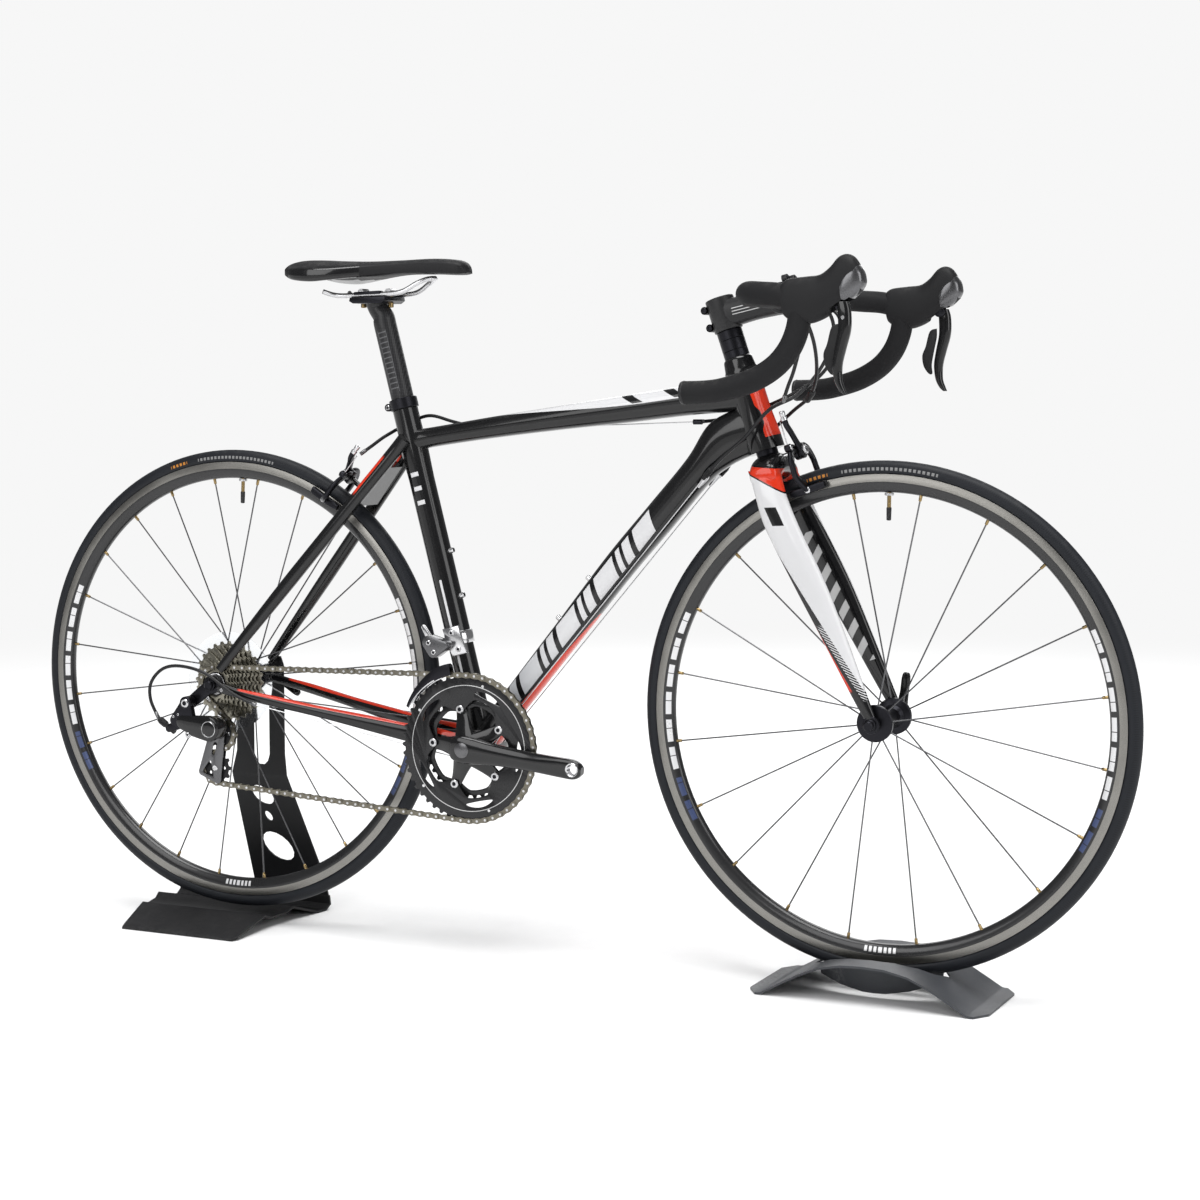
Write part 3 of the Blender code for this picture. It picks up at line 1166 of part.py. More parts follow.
STAND_SECTION = ((-0.120, 0.0015), (-0.108, 0.0050), (-0.034, 0.0195), (-0.020, 0.0135), (0.020, 0.0135),
                 (0.034, 0.0195), (0.090, 0.0015), (0.108, 0.0015), (0.118, 0.0085), (0.116, 0.0220))
STAND_PLAN = ((-0.127, -0.1215), (0.060, -0.1215), (0.066, -0.112), (0.062, 0.0), (0.080, 0.121), (-0.190, 0.121),
              (-0.190, 0.095))
UPRIGHT_OUTLINE = ((-0.054, 0.010), (-0.051, 0.040), (-0.0620, BEND_HEIGHT), (-0.0530, 0.240), (-0.0525, 0.372),
                   (-0.0470, 0.385), (-0.0290, 0.385), (-0.0235, 0.372), (-0.0235, 0.237), (-0.0205, 0.2275),
                   (-0.0145, 0.2215), (-0.0045, 0.2215), (0.0015, 0.2275), (0.0045, 0.237), (0.0045, 0.372),
                   (0.0100, 0.385), (0.0250, 0.385), (0.0300, 0.372), (0.0300, 0.240), (0.0330, BEND_HEIGHT),
                   (0.0720, 0.060), (0.0790, 0.010))
STAND_HOLES = (
    ((-0.0135, 0.1740), 0.0200, 0.0125, -28),
    ((-0.0085, 0.1410), 0.0085, 0.0055, -50),
    ((0.0010, 0.0940), 0.0290, 0.0185, -32),
)


def folded_sheet(spots):
    """A sheet's outline round its middle line of (y, z) points."""
    left, right = [], []
    half = STAND_SHEET / 2
    line = [Vector(spot) for spot in spots]
    for i, spot in enumerate(line):
        steps = [(b - a).normalized() for a, b in zip(line[max(i - 1, 0):i + 2], line[max(i - 1, 0) + 1:i + 2])]
        along = sum(steps, Vector((0, 0))).normalized()
        normal = Vector((-along.y, along.x))
        reach = half / max(0.5, normal.dot(Vector((-steps[0].y, steps[0].x))))
        left.append(spot + normal * reach)
        right.append(spot - normal * reach)
    return [tuple(p) for p in left + right[::-1]]


def make_rear_stand(materials):
    sheet = materials["sheet"]
    base = prism("rear_stand", folded_sheet(STAND_SECTION), REAR_X - 0.2, REAR_X + 0.09, sheet, axis="x")
    plan = [(REAR_X + x, y) for x, y in STAND_PLAN]
    overlap_of(base, prism("plan", plan, -0.01, 0.05, sheet, axis="z"))
    rise = ((0.1178, 0.0120), (0.1150, 0.0300), (UPRIGHT_Y + 0.0010, BEND_HEIGHT - 0.006), (UPRIGHT_Y, BEND_HEIGHT),
            (UPRIGHT_Y, 0.395))
    upright = prism("upright", folded_sheet(rise), REAR_X - 0.1, REAR_X + 0.1, sheet, axis="x")
    outline = [(REAR_X + x, z) for x, z in UPRIGHT_OUTLINE]
    overlap_of(upright, prism("outline", outline, 0.05, 0.15, sheet))
    for centre, half_length, half_height, tilt in STAND_HOLES:
        hole = ellipse((REAR_X + centre[0], centre[1]), half_length, half_height, math.radians(tilt), 16)
        cut(upright, prism("hole", hole, 0.05, 0.15, sheet))
    return unite(base, upright)


# ---- cables -----------------------------------------------------------------------------
HOUSING_RADIUS = 0.0024
HOUSING_SPACING = 0.014


def make_cables(materials):
    black = materials["plastic"]
    housings = {
        "front_brake_housing": (
            (0.8690, 0.5360, -0.0600), (0.8860, 0.5190, -0.0560), (0.8870, 0.4900, -0.0480),
            (0.8730, 0.4500, -0.0360), (0.8625, 0.4270, -0.0310), (0.8555, 0.4080, -0.0292),
        ),
        "right_shift_housing": (
            (0.8690, 0.5360, 0.0520), (0.8910, 0.5200, 0.0480), (0.8980, 0.4900, 0.0400),
            (0.8880, 0.4500, 0.0200), (0.8665, 0.4170, -0.0060), (0.8375, 0.3975, -0.0325),
            (0.8060, 0.3620, -0.0370), (0.7700, 0.3340, -0.0290), (0.7440, 0.3080, -0.0255),
        ),
        "left_shift_housing": (
            (0.8690, 0.5360, -0.0780), (0.8950, 0.5190, -0.0700), (0.9040, 0.4850, -0.0500),
            (0.8960, 0.4440, -0.0160), (0.8750, 0.4150, 0.0160), (0.8450, 0.3950, 0.0350),
            (0.8060, 0.3620, 0.0370), (0.7700, 0.3340, 0.0290), (0.7440, 0.3080, 0.0255),
        ),
        "rear_brake_housing": (
            (0.8690, 0.5360, 0.0720), (0.8970, 0.5180, 0.0640), (0.9020, 0.4800, 0.0520),
            (0.8800, 0.4420, 0.0430), (0.8450, 0.4180, 0.0360), (0.8000, 0.3980, 0.0300),
            (0.7500, 0.3840, 0.0180), (0.7220, 0.3805, 0.0060),
        ),
        "rear_derailleur_housing": (
            (0.0760, -0.0245, -0.0735), (0.0400, -0.0100, -0.0765), (-0.0040, 0.0160, -0.0775),
            (-0.0460, 0.0250, -0.0780), (-0.0770, 0.0200, -0.0790), (-0.0975, -0.0010, -0.0800),
            (-0.0990, -0.0260, -0.0800), (-0.0860, -0.0515, -0.0800),
        ),
    }
    for name, spots in housings.items():
        cable(name, [side_point(*spot) for spot in spots], HOUSING_RADIUS, HOUSING_SPACING, black)
    route = (
        (0.3950, 0.3665, 0.0194), (0.3450, 0.3770, 0.0240), (0.3050, 0.3850, 0.0258), (0.2720, 0.3720, 0.0186),
        (0.2500, 0.3560, -0.0020), (0.2365, 0.3430, -0.0150), (0.2235, 0.3320, -0.0235),
    )
    cable("rear_brake_cable", [side_point(*spot) for spot in route], HOUSING_RADIUS, HOUSING_SPACING, black)


# ---- joint axes ---------------------------------------------------------------------------
def add_empties():
    """Empties on the joint axes, each with its moving pieces as children."""
    rear_brake, stay_out, _ = stay_frame()
    groups = {
        "rear_wheel_axis": (REAR_AXLE, ("rear_tyre", "rear_rim", "rear_hub", "spoke_guard")),
        "cassette_axis": (REAR_AXLE, ("cassette",)),
        "front_wheel_axis": (FRONT_AXLE, ("front_tyre", "front_rim", "front_hub")),
        "crank_axis": (BOTTOM_BRACKET, ("right_crank", "left_crank", "big_chainring", "small_chainring")),
        "steering_axis": (CROWN_SEAT, ("fork", "headset_spacers", "stem", "stem_faceplate", "handlebar")),
        "derailleur_axis": (side_point(*HANGER), ("derailleur_body",)),
        "cage_axis": (side_point(*CAGE_PIVOT), ("derailleur_cage",)),
        "upper_jockey_axis": (side_point(*UPPER_JOCKEY), ("upper_jockey_wheel",)),
        "lower_jockey_axis": (side_point(*LOWER_JOCKEY), ("lower_jockey_wheel",)),
        "seatpost_axis": (seat_point(SEAT_TUBE_LENGTH), ("seatpost", "saddle", "saddle_rails")),
        "front_brake_axis": (steer_point(-0.014), ("front_brake_right_arm", "front_brake_left_arm")),
        "rear_brake_axis": (rear_brake, ("rear_brake_right_arm", "rear_brake_left_arm")),
    }
    for name, (place, children) in groups.items():
        empty = bpy.data.objects.new(name, None)
        empty.location = place
        empty.empty_display_size = 0.03
        bpy.context.scene.collection.objects.link(empty)
        for child in children:
            bpy.data.objects[child].parent = empty
            bpy.data.objects[child].matrix_parent_inverse = Matrix.Translation(-place)


def shade_smooth_by_angle():
    for obj in bpy.data.objects:
        if obj.type == "MESH":
            obj.data.shade_smooth()
            obj.data.set_sharp_from_angle(angle=math.radians(35))


def main():
    clear_scene()
    materials = make_materials()
    make_main_tubes(materials)
    for side in (RIGHT, LEFT):
        make_chainstay(side, materials)
        make_seatstay(side, materials)
    make_brake_bridge(materials)
    make_seat(materials)
    make_front_hub(make_wheel("front", FRONT_AXLE, math.radians(0.6), materials), materials)
    make_rear_hub(make_wheel("rear", REAR_AXLE, math.radians(2.4), materials), materials)
    make_cassette(materials)
    make_skewer("front_skewer", FRONT_AXLE, -FORK_TIP_OUT - GAP, -0.0680, FORK_TIP_OUT + GAP, 0.0640, materials)
    make_skewer("rear_skewer", REAR_AXLE, -DROPOUT_OUT - GAP, -0.0810, UPRIGHT_Y + 0.0019, 0.0810, materials)
    make_skewer_lever("front_skewer_lever", FRONT_AXLE, 0.0640, Vector((0.10, 0, 0.995)).normalized(), 0.054,
                      materials)
    make_skewer_lever("rear_skewer_lever", REAR_AXLE, 0.0810, Vector((0.84, 0, -0.54)).normalized(), 0.056,
                      materials)
    make_fork(materials)
    make_stem(materials)
    make_bars(materials)
    make_brake("front", steer_point(-0.014), STEER_AHEAD, STEER_UP, FRONT_AXLE, materials)
    origin, ahead, up = stay_frame()
    make_brake("rear", origin, ahead, up, REAR_AXLE, materials)
    make_cranks(materials)
    make_chain(materials)
    make_rear_derailleur(materials)
    make_front_derailleur(materials)
    make_front_stand(materials)
    make_rear_stand(materials)
    make_cables(materials)
    shade_smooth_by_angle()
    add_empties()


main()
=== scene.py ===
"""The looks of a road bicycle held up by a two-piece display stand, built round its CAD frame."""

from math import atan2, copysign, cos, exp, hypot, pi, radians, sin, sqrt, tau

import bmesh
import bpy
from bpy.props import FloatProperty, FloatVectorProperty, IntProperty, PointerProperty
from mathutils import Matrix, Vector


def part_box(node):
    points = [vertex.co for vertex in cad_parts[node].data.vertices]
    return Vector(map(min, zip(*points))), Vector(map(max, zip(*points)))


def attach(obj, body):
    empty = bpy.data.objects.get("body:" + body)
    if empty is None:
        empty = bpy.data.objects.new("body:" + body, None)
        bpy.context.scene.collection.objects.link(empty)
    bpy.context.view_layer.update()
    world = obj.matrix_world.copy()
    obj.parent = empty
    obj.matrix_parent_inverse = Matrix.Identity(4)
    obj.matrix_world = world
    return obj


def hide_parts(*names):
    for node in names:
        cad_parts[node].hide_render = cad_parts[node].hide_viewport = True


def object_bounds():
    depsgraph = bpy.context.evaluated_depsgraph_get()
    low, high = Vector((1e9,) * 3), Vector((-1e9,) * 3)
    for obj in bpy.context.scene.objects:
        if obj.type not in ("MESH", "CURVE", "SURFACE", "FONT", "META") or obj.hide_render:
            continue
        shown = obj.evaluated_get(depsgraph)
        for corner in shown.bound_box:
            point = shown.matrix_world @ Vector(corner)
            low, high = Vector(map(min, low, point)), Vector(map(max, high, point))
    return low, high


bl_info = {"name": "Bicycle on stand", "version": (1, 0, 0), "blender": (4, 5, 0),
    "location": "3D View > Sidebar > Bicycle",
    "description": "Builds the looks of a road bicycle on its display stand", "category": "Object"}

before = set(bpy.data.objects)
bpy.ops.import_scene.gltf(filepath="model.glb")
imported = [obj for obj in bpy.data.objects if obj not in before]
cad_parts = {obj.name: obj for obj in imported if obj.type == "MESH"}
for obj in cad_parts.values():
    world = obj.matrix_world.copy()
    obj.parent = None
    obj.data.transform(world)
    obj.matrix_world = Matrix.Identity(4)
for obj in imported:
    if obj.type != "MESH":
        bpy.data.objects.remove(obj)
CAD_BOX = [list(corner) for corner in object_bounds()]


def middle_of(node):
    """The middle of a CAD node's box."""
    low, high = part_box(node)
    return (low + high) / 2


def mm(rows):
    """Rows of measures in millimetres, turned to metres."""
    if isinstance(rows, (tuple, list)):
        return type(rows)(mm(row) for row in rows)
    return round(rows / 1000, 7)


# ---- places read from the frame, and the sizes that go with them
RIGHT, LEFT = -1, 1
SIDES = ((RIGHT, "right"), (LEFT, "left"))
ACROSS = Vector((0, 1, 0))
REAR_AXLE = middle_of("rear_tyre")
FRONT_AXLE = middle_of("front_tyre")
RING_MIDDLE = middle_of("big_chainring")
BOTTOM_BRACKET = Vector((RING_MIDDLE.x, 0, RING_MIDDLE.z))
TYRE_RADIUS = FRONT_AXLE.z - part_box("front_tyre")[0].z
TYRE_HALF_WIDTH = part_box("front_tyre")[1].y
RIM_RADIUS = FRONT_AXLE.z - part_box("front_rim")[0].z
RIM_HALF_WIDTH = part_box("front_rim")[1].y

HEAD_ANGLE = radians(71.0)
SEAT_ANGLE = radians(75.2)
STEM_RISE = radians(13.0)
STEER_UP = Vector((-cos(HEAD_ANGLE), 0, sin(HEAD_ANGLE)))
STEER_AHEAD = Vector((sin(HEAD_ANGLE), 0, cos(HEAD_ANGLE)))
SEAT_UP = Vector((-cos(SEAT_ANGLE), 0, sin(SEAT_ANGLE)))
SEAT_AHEAD = Vector((sin(SEAT_ANGLE), 0, cos(SEAT_ANGLE)))
STEM_AHEAD = Vector((cos(STEM_RISE), 0, sin(STEM_RISE)))
STEM_UP = Vector((-sin(STEM_RISE), 0, cos(STEM_RISE)))
FORK_RAKE, FORK_LENGTH = 0.044, 0.378
CROWN_SEAT = FRONT_AXLE - STEER_AHEAD * FORK_RAKE + STEER_UP * FORK_LENGTH
HEAD_TUBE_LENGTH = 0.102
STACK_TOP = 0.1658
STEM_MIDDLE = STACK_TOP + 0.0223
STEM_LENGTH = 0.09
BAR_CENTRE = CROWN_SEAT + STEER_UP * STEM_MIDDLE + STEM_AHEAD * STEM_LENGTH
BAR_HALF_WIDTH = 0.197
TAPE_RADIUS = 0.0145
SEAT_TUBE_LENGTH = 0.479
SEAT_TUBE_RADIUS = 0.01775
SEATPOST_RADIUS = 0.0158
CRANK_LENGTH = 0.17
CRANK_TURN = radians(-5.0)
BOLT_CIRCLE = 0.055
BIG_RING_Y, SMALL_RING_Y = RING_MIDDLE.y, middle_of("small_chainring").y
CHAIN_PITCH = 0.0127
COG_TEETH = (12, 13, 14, 15, 17, 19, 21, 23, 25, 28)
COG_PITCH = 0.00395
FIRST_COG_Y = -0.0592
BIG_RING_TEETH, SMALL_RING_TEETH, JOCKEY_TEETH = 50, 34, 11
HANGER = (-0.035, -0.027)
CAGE_PIVOT = (0.006, -0.062)
UPPER_JOCKEY = (0.008, -0.0715)
LOWER_JOCKEY = (0.0, -0.1215)
STAY_FOOT, STAY_HEAD = Vector((0.002, 0.01)), Vector((0.284, 0.344))
HOUSING_RADIUS = 0.0024
WIRE_RADIUS = 0.0008
FLOOR_DROP = 0.0002
FLOOR_SIDES = 96


def side_point(forward, up, y=0.0):
    """A point by its distance forward of the rear axle and above it."""
    return Vector((REAR_AXLE.x + forward, y, REAR_AXLE.z + up))


def steer_point(along, ahead=0.0, y=0.0):
    """A point by its distance up the steering axis from the crown."""
    return CROWN_SEAT + STEER_UP * along + STEER_AHEAD * ahead + ACROSS * y


def seat_point(along, ahead=0.0, y=0.0):
    """A point by its distance up the seat tube from the bottom bracket."""
    return BOTTOM_BRACKET + SEAT_UP * along + SEAT_AHEAD * ahead + ACROSS * y


def pitch_radius(teeth):
    """The radius that a chain's pins follow round a sprocket."""
    return CHAIN_PITCH / (2 * sin(pi / teeth))


# ---- what a user can change
def colour_property(name, description, default):
    return FloatVectorProperty(name=name, description=description, default=default, subtype="COLOR",
        size=3, min=0, max=1)


class BicycleColours(bpy.types.PropertyGroup):
    frame_black: colour_property("Frame black", "Gloss black of the frame", (0.006, 0.006, 0.0065))
    satin_black: colour_property("Satin black", "Satin panels, stem and levers",
        (0.013, 0.013, 0.014))
    paint_white: colour_property("Paint white", "White blocks on frame and fork",
        (0.64, 0.64, 0.65))
    paint_red: colour_property("Paint red", "Red stripes on frame and fork", (0.62, 0.035, 0.012))
    tyre_black: colour_property("Tyre black", "Rubber of both tyres", (0.011, 0.0125, 0.016))
    tape_black: colour_property("Tape black", "Bar tape, hoods and saddle", (0.011, 0.011, 0.012))
    silver: colour_property("Silver", "Polished metal", (0.62, 0.62, 0.63))
    steel: colour_property("Steel", "Cogs and rings", (0.3, 0.285, 0.235))
    bronze: colour_property("Chain bronze", "Chain links", (0.17, 0.155, 0.118))
    track_grey: colour_property("Track grey", "Machined brake tracks of the rims",
        (0.33, 0.32, 0.3))
    brass: colour_property("Brass", "Nipples, valves and clamp bolts", (0.3, 0.215, 0.1))
    graphite: colour_property("Graphite", "Grey anodised plates", (0.12, 0.12, 0.125))
    stand_grey: colour_property("Stand grey", "Front stand's powder coat", (0.055, 0.058, 0.064))
    floor: colour_property("Floor", "Floor under the stands", (0.84, 0.84, 0.84))


class BicycleSizes(bpy.types.PropertyGroup):
    spoke_radius: FloatProperty(name="Spoke radius", description="Radius of a spoke",
        default=0.00105, min=0.0005, max=0.002, unit="LENGTH")
    edge_round: FloatProperty(name="Edge rounding",
        description="Radius of the small edges of metal pieces", default=0.0004, min=0.0, max=0.002,
        unit="LENGTH")
    tread_sides: IntProperty(name="Wheel sides", description="Facets round each wheel", default=160,
        min=48, max=360)
    lens: FloatProperty(name="Lens", description="Focal length in millimetres", default=73.68,
        min=20, max=200)
    camera_place: FloatVectorProperty(name="Camera place", description="Where the camera stands",
        default=(1.4945, -2.995, 0.806), subtype="XYZ", unit="LENGTH")
    camera_aim: FloatVectorProperty(name="Camera aim",
        description="The direction that the camera looks in", default=(-0.423, 0.901, -0.093),
        subtype="XYZ")


def colours():
    return bpy.context.scene.bicycle_colours


def sizes():
    return bpy.context.scene.bicycle_sizes


def tone(name):
    """A colour that the user can change."""
    return tuple(getattr(colours(), name))


# ---- shader building
class Shading:
    """Short calls that add nodes to one node tree."""

    def __init__(self, tree):
        self.tree = tree

    def node(self, kind, inputs=(), **settings):
        made = self.tree.nodes.new(kind)
        for key, value in settings.items():
            setattr(made, key, value)
        for key, value in dict(inputs).items():
            self.feed(value, made.inputs[key])
        return made

    def feed(self, value, socket):
        """Links another node's socket, or sets a plain value."""
        if isinstance(value, bpy.types.NodeSocket):
            self.tree.links.new(value, socket)
        else:
            socket.default_value = value

    def math(self, operation, a, b=0.0):
        return self.node("ShaderNodeMath", {0: a, 1: b}, operation=operation).outputs[0]

    def plus(self, a, b):
        return self.math("ADD", a, b)

    def minus(self, a, b):
        return self.math("SUBTRACT", a, b)

    def times(self, a, b):
        return self.math("MULTIPLY", a, b)

    def below(self, value, limit):
        return self.math("LESS_THAN", value, limit)

    def above(self, value, limit):
        return self.math("GREATER_THAN", value, limit)

    def here(self):
        """The shaded point, in the object's own measures."""
        return self.node("ShaderNodeTexCoord").outputs["Object"]

    def tube(self, start, degrees):
        """Distances along, across and up from a tube's middle line."""
        return self.group(tube_group(), start=start, turn=radians(degrees))

    def wheel(self, axle):
        """Radius and turn round an axle."""
        return self.group(wheel_group(), axle=axle)

    def lines(self, axle, count):
        """Turned lines round an axle."""
        return self.group(brushed_group(), axle=axle, lines=count)["Line"]

    def group(self, tree, **inputs):
        made = self.node("ShaderNodeGroup", node_tree=tree)
        for key, value in inputs.items():
            self.feed(value, made.inputs[key.capitalize()])
        return made.outputs

    def mix(self, mask, first, second):
        made = self.node("ShaderNodeMix", data_type="RGBA")
        for socket, value in ((made.inputs[0], mask), (made.inputs[6], first),
            (made.inputs[7], second)):
            plain = isinstance(value, (float, bpy.types.NodeSocket))
            self.feed(value if plain else (*value[:3], 1), socket)
        return made.outputs[2]

    def ramp(self, value, low, high, to_low=0.0, to_high=1.0):
        inputs = {"Value": value, 1: low, 2: high, 3: to_low, 4: to_high}
        return self.node("ShaderNodeMapRange", inputs, interpolation_type="SMOOTHSTEP").outputs[0]

    def band(self, value, low, high, soft=0.0002):
        """1 between low and high, 0 outside."""
        outputs = self.group(band_group(), value=value, low=low, high=high, soft=soft)
        return outputs["Mask"]

    def all_of(self, *masks):
        made = masks[0]
        for mask in masks[1:]:
            made = self.math("MULTIPLY", made, mask)
        return made

    def either(self, *masks):
        made = masks[0]
        for mask in masks[1:]:
            made = self.math("MAXIMUM", made, mask)
        return made

    def share_of(self, value, step):
        """How far value is through its present step, 0 to 1."""
        return self.math("FRACT", self.math("DIVIDE", value, step))


def new_group(name, inputs, outputs, build):
    """A shader node group, made the first time it is asked for."""
    found = bpy.data.node_groups.get(name)
    if found:
        return found
    tree = bpy.data.node_groups.new(name, "ShaderNodeTree")
    for label, kind, default in inputs:
        socket = tree.interface.new_socket(name=label, in_out="INPUT", socket_type=kind)
        socket.default_value = default
    for label, kind in outputs:
        tree.interface.new_socket(name=label, in_out="OUTPUT", socket_type=kind)
    shading = Shading(tree)
    entry = tree.nodes.new("NodeGroupInput")
    leave = tree.nodes.new("NodeGroupOutput")
    for label, socket in build(shading, entry.outputs).items():
        tree.links.new(socket, leave.inputs[label])
    return tree


FLOAT, VECTOR, COLOUR = "NodeSocketFloat", "NodeSocketVector", "NodeSocketColor"


def new_finish(name):
    """A material, its shading calls and its main shader."""
    material = bpy.data.materials.new(name)
    material.use_nodes = True
    return material, Shading(material.node_tree), material.node_tree.nodes["Principled BSDF"]


def band_group():
    def build(s, given):
        value, soft = given["Value"], given["Soft"]
        rise = s.ramp(value, s.minus(given["Low"], soft), s.plus(given["Low"], soft))
        fall = s.ramp(value, s.minus(given["High"], soft), s.plus(given["High"], soft))
        return {"Mask": s.minus(rise, fall)}

    inputs = [("Value", FLOAT, 0.0), ("Low", FLOAT, 0.0), ("High", FLOAT, 1.0),
        ("Soft", FLOAT, 0.0002)]
    return new_group("Painted band", inputs, [("Mask", FLOAT)], build)


def tube_group():
    """Distance along a tube, up from its middle line and across it."""
    def build(s, given):
        place = s.here()
        offset = s.node("ShaderNodeVectorMath", {0: place, 1: given["Start"]},
            operation="SUBTRACT").outputs[0]
        turned = s.node("ShaderNodeVectorRotate", {"Vector": offset, "Angle": given["Turn"]},
            rotation_type="Y_AXIS").outputs[0]
        parts = s.node("ShaderNodeSeparateXYZ", {0: turned}).outputs
        return {"Along": parts[0], "Across": parts[1], "Up": parts[2]}

    inputs = [("Start", VECTOR, (0, 0, 0)), ("Turn", FLOAT, 0.0)]
    return new_group("Place on tube", inputs, [("Along", FLOAT), ("Across", FLOAT), ("Up", FLOAT)],
        build)


def wheel_group():
    """Radius and turn round an axle, from the top and forwards."""
    def build(s, given):
        place = s.here()
        offset = s.node("ShaderNodeVectorMath", {0: place, 1: given["Axle"]},
            operation="SUBTRACT").outputs[0]
        parts = s.node("ShaderNodeSeparateXYZ", {0: offset}).outputs
        flat = s.node("ShaderNodeCombineXYZ", {0: parts[0], 2: parts[2]}).outputs[0]
        radius = s.node("ShaderNodeVectorMath", {0: flat}, operation="LENGTH").outputs["Value"]
        return {"Radius": radius, "Turn": s.math("ARCTAN2", parts[0], parts[2]), "Across": parts[1]}

    outputs = [("Radius", FLOAT), ("Turn", FLOAT), ("Across", FLOAT)]
    return new_group("Place on wheel", [("Axle", VECTOR, (0, 0, 0))], outputs, build)


def grain_group():
    """Slow shade changes and a fine surface grain."""
    def build(s, given):
        place = s.here()
        coarse = s.node("ShaderNodeTexNoise", {"Vector": place, "Scale": 14.0,
            "Detail": 4.0}).outputs[0]
        fine = s.node("ShaderNodeTexNoise", {"Vector": place, "Scale": given["Scale"],
            "Detail": 3.0}).outputs[0]
        cells = s.node("ShaderNodeTexVoronoi", {"Vector": place,
            "Scale": given["Scale"]}).outputs[0]
        height = s.plus(s.times(cells, given["Pebble"]), fine)
        shade = s.plus(s.times(coarse, 0.6), s.times(fine, 0.4))
        return {"Shade": s.ramp(shade, 0.3, 0.7), "Height": height}

    inputs = [("Scale", FLOAT, 400.0), ("Pebble", FLOAT, 0.0)]
    return new_group("Surface grain", inputs, [("Shade", FLOAT), ("Height", FLOAT)], build)


def brushed_group():
    """Fine turning lines round an axle, as a lathe leaves them."""
    def build(s, given):
        wheel = s.group(wheel_group(), axle=given["Axle"])
        line = s.node("ShaderNodeTexNoise", {"W": s.times(wheel["Radius"], given["Lines"]),
            "Detail": 2.0}, noise_dimensions="1D").outputs[0]
        return {"Line": s.ramp(line, 0.3, 0.7)}

    inputs = [("Axle", VECTOR, (0, 0, 0)), ("Lines", FLOAT, 3000.0)]
    return new_group("Turned lines", inputs, [("Line", FLOAT)], build)


def weave_group():
    """A two-way fibre weave seen under clear coat."""
    def build(s, given):
        place = s.here()
        parts = s.node("ShaderNodeSeparateXYZ", {0: place}).outputs
        one = s.math("SINE", s.times(s.plus(parts[0], parts[2]), given["Scale"]))
        other = s.math("SINE", s.times(s.minus(parts[0], parts[2]), given["Scale"]))
        return {"Weave": s.ramp(s.times(one, other), -0.3, 0.3)}

    return new_group("Fibre weave", [("Scale", FLOAT, 1600.0)], [("Weave", FLOAT)], build)


def wear_group():
    """Rubbed outer edges."""
    def build(s, given):
        point = s.node("ShaderNodeNewGeometry").outputs["Pointiness"]
        place = s.here()
        speck = s.node("ShaderNodeTexNoise", {"Vector": place, "Scale": 260.0,
            "Detail": 4.0}).outputs[0]
        edge = s.ramp(point, 0.53, 0.6)
        return {"Mask": s.all_of(edge, s.ramp(speck, 0.35, 0.6), given["Amount"])}

    return new_group("Edge wear", [("Amount", FLOAT, 0.3)], [("Mask", FLOAT)], build)


def dust_group():
    """A little dust on what faces up."""
    def build(s, given):
        normal = s.node("ShaderNodeNewGeometry").outputs["Normal"]
        up = s.node("ShaderNodeSeparateXYZ", {0: normal}).outputs[2]
        place = s.here()
        speck = s.node("ShaderNodeTexNoise", {"Vector": place, "Scale": 90.0,
            "Detail": 6.0}).outputs[0]
        return {"Mask": s.all_of(s.ramp(up, 0.2, 1.0), s.ramp(speck, 0.45, 0.75), given["Amount"])}

    return new_group("Settled dust", [("Amount", FLOAT, 0.05)], [("Mask", FLOAT)], build)


# ---- graphics, each a function of the shading and the colour under it
def down_tube_paint(s, base):
    tube = s.tube(side_point(0.414, -0.053), 49.7)
    along, up = tube["Along"], tube["Up"]
    slant = s.minus(along, s.times(up, 0.55))
    share = s.share_of(slant, 0.088)
    blocks = s.either(s.band(share, 0.04, 0.52, 0.004), s.band(share, 0.6, 0.7, 0.004),
        s.band(share, 0.77, 0.94, 0.004))
    blocks = s.all_of(blocks, s.band(up, -0.01, 0.0165), s.band(slant, 0.045, 0.393))
    fade = s.mix(s.ramp(along, 0.05, 0.22), (0.42, 0.43, 0.45), tone("paint_white"))
    edge = s.ramp(along, 0.0, 0.36, -0.012, -0.019)
    strip = s.all_of(s.below(up, edge), s.above(up, -0.024), s.band(along, 0.0, 0.34, 0.01))
    painted = s.mix(blocks, base, fade)
    return s.mix(strip, painted, tone("paint_red"))


def top_tube_paint(s, base):
    tube = s.tube(side_point(0.33, 0.358), 8.0)
    along, up = tube["Along"], tube["Up"]
    low = s.ramp(along, 0.06, 0.34, 0.015, 0.0015)
    white = s.all_of(s.above(up, low), s.band(along, 0.1, 0.455))
    share = s.share_of(s.plus(along, s.times(up, 1.6)), 0.062)
    marks = s.all_of(s.band(share, 0.1, 0.36, 0.01), s.band(along, 0.285, 0.43),
        s.band(up, 0.003, 0.0165))
    painted = s.mix(white, base, tone("paint_white"))
    return s.mix(marks, painted, tone("frame_black"))


def head_tube_paint(s, base):
    tube = s.tube(CROWN_SEAT, 109.0)
    along, behind = tube["Along"], tube["Up"]
    step = s.times(s.band(along, 0.03, 0.055, 0.006), 0.004)
    edge = s.plus(behind, s.plus(step, s.times(along, -0.05)))
    red = s.all_of(s.below(edge, -0.013), s.band(along, 0.016, 0.096))
    return s.mix(red, base, tone("paint_red"))


